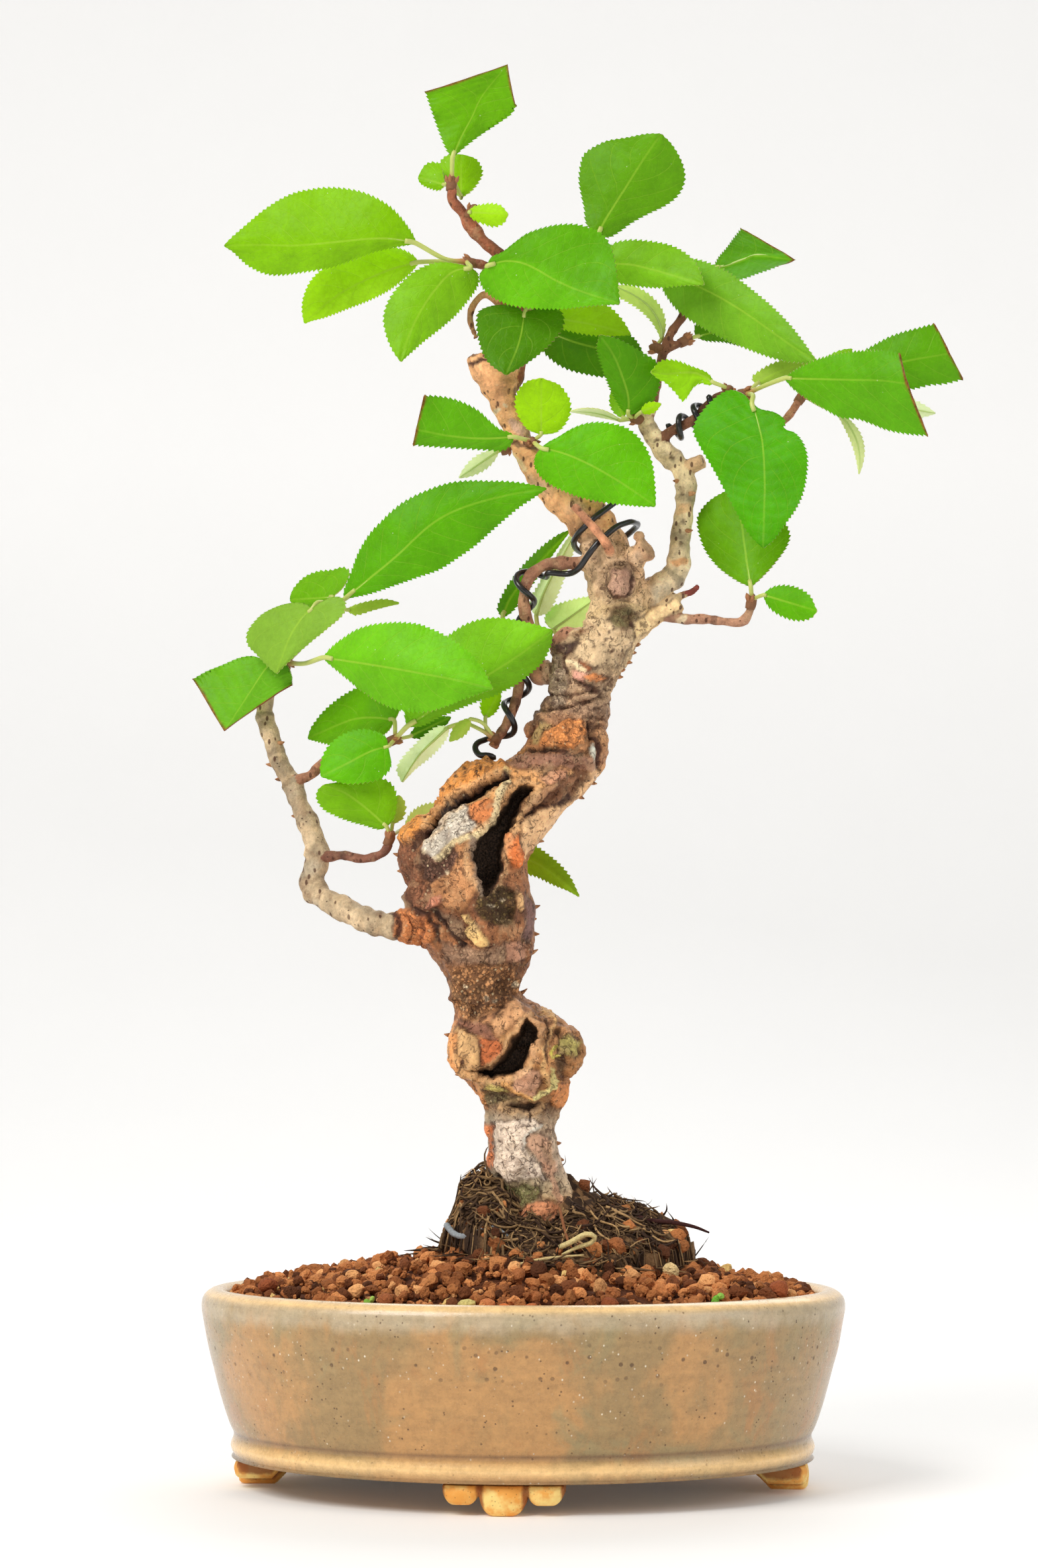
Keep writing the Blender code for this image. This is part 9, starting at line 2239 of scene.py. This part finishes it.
@dataclass
class Foliage:
    """Every leafy spray: toothed, veined blades on their stalks, joined at a scaly bud."""
    wood_tree: BVHTree
    tilt: float = 2.2
    tooth_pitch: float = 1.25
    tooth_depth: float = 0.56
    thickness: float = 0.34
    hub_reach: float = 1.5
    underside: tuple = (104, 176, 22)
    pale_face: tuple = (232, 246, 168)
    rib_tone: tuple = (190, 214, 120)
    stalk_tone: tuple = (196, 206, 110)
    stalk_foot: tuple = (190, 120, 80)
    bud_tone: tuple = (132, 88, 56)
    scale_tone: tuple = (166, 110, 70)

    def surface(self, blade: Blade, share: np.ndarray, side: np.ndarray) -> tuple[np.ndarray, np.ndarray]:
        """Real points of a blade on a grid of shares of its length and sides from -1 to 1.

        Each row runs from a place on the midrib to the places at the same share of both edges; each
        half leans back from the midrib and its edge waves in depth.

        Returns:
            The points, and the half width of each point's row.
        """
        reach = np.where((side > 0)[..., None], blade.reach(share, True), blade.reach(share, False))
        half = np.linalg.norm(reach, axis=-1)
        heading = unit(np.array(blade.tip, float) - np.array(blade.base, float))
        bend = (blade.bow * 4 * share * (1 - share))[..., None] * np.array((-heading[1], heading[0]))
        seen = blade.midrib(share) + bend + reach * np.abs(side)[..., None]
        lean = np.tan(np.radians(np.where(side > 0, *blade.lean)))
        wave = 0.5 * np.sin(2 * np.pi * (share * blade.length / 13.0) + blade.base[0]) * np.abs(side) ** 2.5
        wave *= np.minimum(1.0, half / 7.0)
        depth = (blade.near + self.tilt * (blade.far - blade.near) * share
                 + blade.arch * 4 * share * (1 - share) + np.abs(side) * half * lean + wave)
        return VIEW.place(seen[..., 0], seen[..., 1], depth), half

    def lattice(self, blade: Blade) -> tuple[np.ndarray, np.ndarray, np.ndarray, np.ndarray, float]:
        """Where a blade's points lie on it.

        Rows follow the teeth, three to a tooth: its foot, its slope and its tip, which slips forward.

        Returns:
            The share of the length and the side from -1 to 1 of each point, how far out on its tooth
            each row is, how near the edge each column is, and the blade's greatest half width.
        """
        edges, spread = self.surface(blade, *np.broadcast_arrays(np.linspace(0, 1, 40)[:, None],
                                                                 np.array([[-1.0, 1.0]])))
        teeth = max(5, int(max(run_length(edges[:, k])[-1] for k in (0, 1)) / self.tooth_pitch))
        width = float(spread.max())
        columns = 15 if width > 4 else 9
        phase = np.append(np.tile([0.0, 0.45, 1.0], teeth), 0.0)[:, None]
        share = np.append(np.arange(teeth * 3) / (teeth * 3), 1.0)[:, None]
        side = np.sin(np.linspace(-0.5, 0.5, columns) * np.pi)
        side = (0.55 * side + 0.45 * np.linspace(-1.0, 1.0, columns))[None, :]
        rim = np.abs(side) ** 10
        slip = phase * rim * 0.55 / (teeth * 3) * (share < 0.995)
        share, side = np.broadcast_arrays(np.minimum(share + slip, 1.0), side)
        return share, side, phase, rim, width

    def add_blade(self, shell: Shell, blade: Blade) -> None:
        """Add a blade: two skins a third of a millimetre apart and the rim between them.

        Quilting between the side veins and a groove along the midrib shape both skins.
        """
        share, side, phase, rim, width = self.lattice(blade)
        points, half = self.surface(blade, share, side)
        right, left = points[:, :1], points[:, -1:]
        outward = unit(left - right)
        depth = self.tooth_depth * np.clip(half / 2.0, 0.15, 1.0) * phase * rim
        points = points + outward * (np.sign(side) * depth)[..., None]
        normal = unit(np.cross(np.gradient(points, axis=0), np.gradient(points, axis=1)))
        veins = max(3, round(blade.length * 0.19))
        rise = 0.85 * width / blade.length * np.abs(side) ** 1.25
        vein_phase = (share - rise) * veins + np.where(side > 0, 0.0, 0.42)
        pitch = blade.length / veins
        gap = np.abs((vein_phase + 0.5) % 1.0 - 0.5) * pitch
        big = min(1.0, width / 7.0)
        fade = (1.0 - ease(0.75, 1.0, np.abs(side))) * ease(0.0, 0.06, np.abs(side)) * big
        rib_gap = np.abs(side) * half
        quilt = big * 0.20 * (1.0 - np.exp(-(gap / 0.7) ** 2)) * fade
        groove = 0.30 * np.exp(-(rib_gap / 0.45) ** 2) * min(1.0, width / 4.0)
        dimple = 0.14 * big * Noise.value(points, 2.4, 11)
        skin = points + (-normal if blade.under else normal) * (quilt - groove + dimple)[..., None]
        thin = self.thickness * (1.0 - 0.35 * rim)[..., None]
        top, low = skin + normal * thin / 2, skin - normal * thin / 2
        values = {"vein_phase": vein_phase, "vein_pitch": np.full(share.shape, pitch), "vein_fade": fade,
                  "rib_gap": rib_gap, "rib_fade": 1.0 - 0.75 * share,
                  "dry": self.dryness(blade, share, points)}
        upper = linear(*blade.tone)
        under = linear(*self.underside) if blade.under else linear(
            *(0.35 * np.array(blade.tone) + 0.65 * np.array(self.pale_face)))
        # Painted light and shade: each half of the blade is made lighter or darker by its own factor.
        lit = np.where(side > 0, *blade.halves)[..., None]
        cloud = 1.0 + 0.08 * Noise.value(points, 9.0, 13)[..., None]
        # Blades that show their underside are painted brighter, light standing in for what reaches them; the
        # others only lose some blue.
        tint_and_painted_light = np.array((1.6, 1.55, 1.6)) if blade.under else np.array((1.0, 1.0, 0.35))
        shell.grid(top, int(blade.under), tint=np.array(upper) * tint_and_painted_light * lit * cloud, **values)
        shell.grid(low[:, ::-1], 1 - int(blade.under), tint=(np.array(under) * cloud)[:, ::-1],
                   **{key: value[:, ::-1] for key, value in values.items()})
        self.add_rim(shell, top, low, blade, values["dry"])
        self.add_rib(shell, top if blade.under else low, half)

    @staticmethod
    def dryness(blade: Blade, share: np.ndarray, points: np.ndarray) -> np.ndarray:
        """How brown a blade is: only along a ragged strip at the edge where it was trimmed."""
        if not blade.cut:
            return np.zeros(share.shape)
        ragged = 0.55 + 0.35 * Noise.value(points, 1.6, 17)
        return 1.0 - ease(0.5 * ragged, 1.3 * ragged, (1.0 - share) * blade.length)

    @staticmethod
    def add_rim(shell: Shell, top: np.ndarray, low: np.ndarray, blade: Blade, dry: np.ndarray) -> None:
        """The wall round a blade, between its two skins: paler on a light leaf, brown where it is dry."""
        def ring(grid: np.ndarray) -> np.ndarray:
            """The grid's edge, once round: up the right, over the tip, down the left, back."""
            return np.concatenate([grid[:, 0], grid[-1, 1:], grid[-2::-1, -1], grid[0, -2:0:-1]])

        dark_leaf = blade.tone[1] < 180
        pale = np.array(linear(150, 140, 60) if dark_leaf else linear(206, 214, 120))
        brown = np.array(linear(124, 66, 30))
        tint = pale + (brown - pale) * ring(dry[..., None])
        shell.grid(np.stack([ring(low), ring(top)]), 2, closed=True, tint=np.stack([tint, tint]), **BLANK)

    def add_rib(self, shell: Shell, skin: np.ndarray, half: np.ndarray) -> None:
        """The midrib that stands proud of the under face, tapering to the tip."""
        middle = skin.shape[1] // 2
        path = skin[::2, middle]
        if len(path) < 4:
            return
        reach = np.linspace(0.0, 1.0, len(path))
        radii = (0.42 - 0.34 * reach) * min(1.0, float(half.max()) / 5.0 + 0.35)
        shell.grid(tube_grid(path, radii, 6), 3, closed=True, caps=True, tint=linear(*self.rib_tone),
                   **BLANK)

    def add_stalk(self, shell: Shell, blade: Blade, hub: np.ndarray) -> None:
        """A blade's petiole: from the bud to the start of the midrib, swollen at its foot."""
        ends, _ = self.surface(blade, np.array([[0.0], [0.06]]), np.zeros((2, 1)))
        through = [hub, *[VIEW.place(*p) for p in blade.stalk], ends[0, 0], ends[1, 0]]
        path, = smooth_curve(np.array(through), 0.7)
        run = run_length(path) / max(run_length(path)[-1], 1e-6)
        size = 0.62 + 0.28 * min(1.0, blade.length / 40.0)
        radii = size * (0.62 + 0.38 * np.exp(-(run / 0.12) ** 2) + 0.10 * run)
        sides = 8
        red = ease(0.35, 0.0, run)[:, None, None]
        green, rust = np.array(linear(*self.stalk_tone)), np.array(linear(*self.stalk_foot))
        tint = (green + (rust - green) * red) * np.ones((1, sides, 1))
        shell.grid(tube_grid(path, radii, sides), 3, closed=True, caps=True, tint=tint, **BLANK)

    def add_bud(self, shell: Shell, hub: np.ndarray, root: np.ndarray, chance: np.random.Generator) -> None:
        """The scaly bud that the stalks leave from: a knob on the bark with scales round it."""
        out = unit(hub - root)
        path = np.array([root - out * 0.8, root + out * 0.4, hub, hub + out * 1.0, hub + out * 1.5])
        path, radii = smooth_curve(path, 0.35, np.array([1.15, 1.25, 1.2, 0.8, 0.25]))
        grid = tube_grid(path, radii, 12)
        grid += 0.12 * Noise.value(grid, 0.8, 19)[..., None]
        shell.grid(grid, 4, closed=True, caps=True, tint=linear(*self.bud_tone), **BLANK)
        side = unit(np.cross(out, [0.3, 0.5, 0.8]))
        up = np.cross(out, side)
        for turn in chance.uniform(0.0, 2.0 * np.pi, 5):
            away = math.cos(turn) * side + math.sin(turn) * up
            start = hub - out * 0.5 + away * 0.8
            scale = np.array([start, start + out * 0.9 + away * 0.5, start + out * 1.7 + away * 0.9])
            line, wide = smooth_curve(scale, 0.3, np.array([0.45, 0.5, 0.08]))
            shell.grid(tube_grid(line, wide, 6), 4, closed=True, caps=True,
                       tint=linear(*self.scale_tone), **BLANK)

    def build(self) -> None:
        """One piece for each spray, standing for its node."""
        skins = [LeafSkin("quince_leaf", vein=(186, 228, 70), through=(114, 185, 13), vein_share=0.58,
                          roughness=0.42, sheen=0.02, glow=0.20, relief=0.5).material(),
                 LeafSkin("quince_leaf_underside", vein=(214, 228, 160), through=(192, 226, 120),
                          vein_share=0.6, roughness=0.62, sheen=0.0, glow=0.24, relief=0.5).material(),
                 Plain("leaf_edge", roughness=0.5).material(),
                 Plain("leaf_stalk", roughness=0.42, size=1.2, contrast=0.3).material(),
                 Plain("bud_scale", roughness=0.7, size=0.6, contrast=0.8, depth=0.25).material()]
        chance = np.random.default_rng(SEED + 9)
        for name, (hub, blades) in SPRAYS.items():
            seat = Vector((VIEW.place(*hub) + SHIFT) * MM)
            spot, normal, _, _ = self.wood_tree.find_nearest(seat)
            root = np.array(spot) / MM - SHIFT
            hub_point = root + unit(VIEW.place(*hub) - root + 1e-6) * self.hub_reach
            if np.linalg.norm(VIEW.place(*hub) - root) < 0.3:
                hub_point = root + np.array(normal) * self.hub_reach
            shell = Shell()
            for blade in blades:
                self.add_blade(shell, blade)
                self.add_stalk(shell, blade, hub_point)
            self.add_bud(shell, hub_point, root, chance)
            add_piece(shell.mesh(name.replace("spray", "leaves")), skins, "leaf", name)


# Training wire

@dataclass
class TrainingWire:
    """Two lengths of black wire, laid clear of the bark.

    clearance: the gap a winding starts with. least: the gap under which a point of it is pushed out.
    """
    wood_tree: BVHTree
    radius: float = 0.74
    clearance: float = 0.5
    least: float = 0.12
    anchor: tuple = (
        # (x, z, depth): the free end, once round the leader, and down to the hanging branch
        (23.2, 231.6, -3.0), (20.0, 229.2, -5.2), (17.0, 226.9, -6.6), (14.4, 224.4, -6.0),
        (12.4, 221.6, -2.4), (13.2, 219.4, 2.4), (16.6, 218.6, 6.8), (21.5, 220.5, 7.4),
        (25.8, 223.6, 5.0), (27.6, 225.6, 1.0), (26.2, 226.2, -3.0), (22.6, 225.0, -6.0),
        (20.0, 222.9, -6.8), (17.8, 220.8, -7.2), (15.8, 218.2, -6.6), (13.4, 214.8, -4.8),
        (10.8, 213.6, -2.6))
    curl: tuple = ((-10.4, 173.4, 0.0), (-11.2, 172.2, -0.8), (-10.4, 170.6, -1.4), (-8.6, 169.4, -1.6),
                   (-6.6, 169.0, -1.4))

    def winding(self, limb: tuple, start: float, stop: float, turns: float, phase: float) -> np.ndarray:
        """A helix round a limb: its middle line plus a circle whose radius clears the bark.

        Args:
            limb: (x, z, depth, radius) readings along the limb.
            start, stop: the shares of the limb's length between which it winds.
            turns: how many times it goes round.
            phase: the angle it starts at.

        Returns:
            Points along the helix.
        """
        path, radii = smooth_curve(VIEW.points(limb), 1.0, np.array([r for *_, r in limb]))
        run = run_length(path)
        share = np.linspace(start, stop, int(abs(turns) * 9) + 1)
        place = share * run[-1]
        here, ahead, behind = (np.stack([np.interp(place + step, run, path[:, k]) for k in range(3)],
                                        axis=-1) for step in (0.0, 0.4, -0.4))
        along = unit(ahead - behind)
        side = unit(np.cross(along, [0.0, 1.0, 0.0]))
        front = unit(np.cross(side, along))
        reach = (np.interp(place, run, radii) + self.radius + self.clearance)[:, None]
        angle = (phase + 2 * np.pi * turns * np.linspace(0.0, 1.0, len(share)))[:, None]
        return here + side * reach * np.cos(angle) + front * reach * np.sin(angle)

    def push_clear(self, points: np.ndarray) -> np.ndarray:
        """Points moved out along the bark's normal until the wire clears it."""
        points = points.copy()
        for _ in range(5):
            for number, point in enumerate(points):
                spot, normal, _, gap = self.wood_tree.find_nearest(Vector((point + SHIFT) * MM))
                out = np.array(normal)
                foot = np.array(spot) / MM - SHIFT
                inside = (point - foot) @ out < 0.0
                if inside or gap / MM < self.radius + self.least:
                    direction = out if inside else unit(point - foot)
                    points[number] = foot + direction * (self.radius + self.least + 0.04)
        return points

    def build(self) -> None:
        """Both wires as round bars along smooth curves, with domed ends."""
        skin = WireSkin().material()
        anchor, = smooth_curve(VIEW.points(self.anchor), 3.0)
        coil = self.winding(HANGING.route[2:], start=0.06, stop=0.985, turns=4.6, phase=5.6)
        left = np.vstack([anchor, coil, VIEW.points(self.curl)])
        right = self.winding(RIGHT_TWIG.route[1:], start=0.03, stop=0.66, turns=2.8, phase=0.4)
        for name, route in (("wire_left", left), ("wire_right", right)):
            path, = smooth_curve(self.push_clear(route), 0.55)
            path = self.push_clear(path)
            for _ in range(3):
                path[1:-1] = 0.25 * path[:-2] + 0.5 * path[1:-1] + 0.25 * path[2:]
            run = run_length(path)
            end = np.minimum(run, run[-1] - run)
            radii = self.radius * np.sqrt(np.clip(1.0 - np.clip(1.0 - end / 0.5, 0.0, 1.0) ** 2, 0.05, 1.0))
            shell = Shell()
            shell.grid(tube_grid(path, radii, 14), closed=True, caps=True, tint=linear(20, 18, 20))
            add_piece(shell.mesh(name + "_bar"), [skin], "wire", name)


# Light, floor and camera

@dataclass
class Studio:
    """A pale sweep, soft lights and the camera."""
    eye: tuple = (-0.7, -770.0, 100.0)
    target: tuple = (-0.7, 0.0, 163.5)
    lens: float = 75.0
    sensor: float = 36.0
    white: tuple = (1.0, 0.995, 0.985)
    world_strength: float = 0.34
    # How strongly the floor glows: painted light, since the floor is no lamp.
    painted_floor_glow: float = 0.165
    lights: tuple = (
        # name, place, aim, size, power, colour
        ("key", (-620, -620, 900), (0, 0, 140), (620, 620), 9.4, (1.0, 0.98, 0.95)),
        ("fill", (800, -500, 420), (0, 0, 140), (700, 700), 1.9, (0.97, 0.98, 1.0)),
        ("back", (200, 800, 800), (0, 0, 200), (900, 500), 3.0, (1.0, 1.0, 1.0)),
    )

    def build_floor(self) -> None:
        """A floor that sweeps up into a wall: a straight run, a quarter circle and a straight wall.

        It glows a little, which is painted light: less in an oval round the pot, a painted shadow
        there, and more far behind, painted light on the wall.
        """
        turn = np.linspace(0.0, 0.5 * np.pi, 24)
        radius, back = 500.0, 900.0
        y = np.concatenate([[-2500.0, -600.0], back + radius * np.sin(turn), [back + radius]])
        z = np.concatenate([[0.0, 0.0], radius * (1.0 - np.cos(turn)), [2600.0]])
        x = np.linspace(-2600.0, 2600.0, 9)
        grid = np.stack([x[None, :] + 0 * y[:, None], y[:, None] + 0 * x, z[:, None] + 0 * x], axis=-1)
        shell = Shell()
        shell.grid(grid[:, ::-1])
        mesh = shell.mesh("floor_sweep")
        floor = bpy.data.objects.new("floor_sweep", mesh)
        bpy.context.scene.collection.objects.link(floor)
        s = Shader("floor_paper")
        split = s.node("ShaderNodeSeparateXYZ", {}, {"Vector": s.place})
        along = (Value(s, split.outputs["X"]) / MM - float(SHIFT[0])) / 78.0
        deep = (Value(s, split.outputs["Y"]) / MM - float(SHIFT[1])) / 62.0
        # Painted shadow: the floor's glow drops to about a quarter in an oval round the pot.
        glow_share_outside_painted_shadow = (along * along + deep * deep).step(0.46, 0.94) * 0.76 + 0.24
        # Painted light: the glow grows to nearly twice as strong far behind, on the wall.
        far = (Value(s, split.outputs["Y"]) / MM).step(60.0, 900.0)
        glow = s.scaled(self.white, glow_share_outside_painted_shadow * (1.0 + far * 0.78))
        s.set(Base_Color=s.scaled((0.90, 0.895, 0.885), 0.985 + s.noise(60.0) * 0.03), Roughness=0.7,
              Specular_IOR_Level=0.15, Emission_Color=glow, Emission_Strength=self.painted_floor_glow)
        mesh.materials.append(s.material)

    @staticmethod
    def add_light(name: str, place: tuple, aim: tuple, size: tuple, power: float, colour: tuple) -> None:
        """A soft rectangular light at a place in millimetres, turned to a point."""
        data = bpy.data.lights.new(name, "AREA")
        data.shape, data.size, data.size_y = "RECTANGLE", size[0] * MM, size[1] * MM
        data.energy, data.color = power, colour
        lamp = bpy.data.objects.new(name, data)
        lamp.location = Vector(np.array(place) * MM)
        way = Vector((np.array(aim) - np.array(place)) * MM)
        lamp.rotation_mode = "QUATERNION"
        lamp.rotation_quaternion = way.to_track_quat("-Z", "Y")
        bpy.context.scene.collection.objects.link(lamp)

    def build(self) -> None:
        """Floor, world, three soft lights and the camera at the photograph's place."""
        self.build_floor()
        world = bpy.data.worlds.new("studio")
        world.use_nodes = True
        world.node_tree.nodes["Background"].inputs[0].default_value = (*self.white, 1.0)
        world.node_tree.nodes["Background"].inputs[1].default_value = self.world_strength
        bpy.context.scene.world = world
        for light in self.lights:
            self.add_light(*light)
        data = bpy.data.cameras.new("camera")
        data.lens, data.sensor_width = self.lens, self.sensor
        data.clip_start, data.clip_end = 0.01, 20.0
        camera = bpy.data.objects.new("camera", data)
        camera.location = Vector((np.array(self.eye) + SHIFT) * MM)
        way = Vector((np.array(self.target) - np.array(self.eye)) * MM)
        camera.rotation_mode = "QUATERNION"
        camera.rotation_quaternion = way.to_track_quat("-Z", "Y")
        bpy.context.scene.collection.objects.link(camera)
        bpy.context.scene.camera = camera
        bpy.context.scene.view_settings.view_transform = "Standard"


def tree_of(pieces: list[bpy.types.Object]) -> BVHTree:
    """A search tree over the faces of several pieces."""
    points, faces = [], []
    for piece in pieces:
        start = len(points)
        points += [vertex.co.copy() for vertex in piece.data.vertices]
        faces += [[start + k for k in face.vertices] for face in piece.data.polygons]
    return BVHTree.FromPolygons(points, faces)


def main() -> None:
    """Build the studio, then every part from the pot up."""
    logging.basicConfig(level=logging.INFO, format="%(message)s")
    Studio().build()
    pot = Pot()
    pot.build()
    granule, fibre = Granule().material(), Fibre().material()
    soil = Soil(pot)
    mound = Mound(soil)
    soil.build_bed(granule)
    soil.build_grains(granule, mound)
    mound.build_pile(fibre)
    mound.build_fibres(fibre)
    mound.build_roots(fibre)
    wood = Wood().build()
    tree = tree_of(wood)
    Foliage(tree).build()
    TrainingWire(tree).build()


if __name__ == "__main__":
    main()
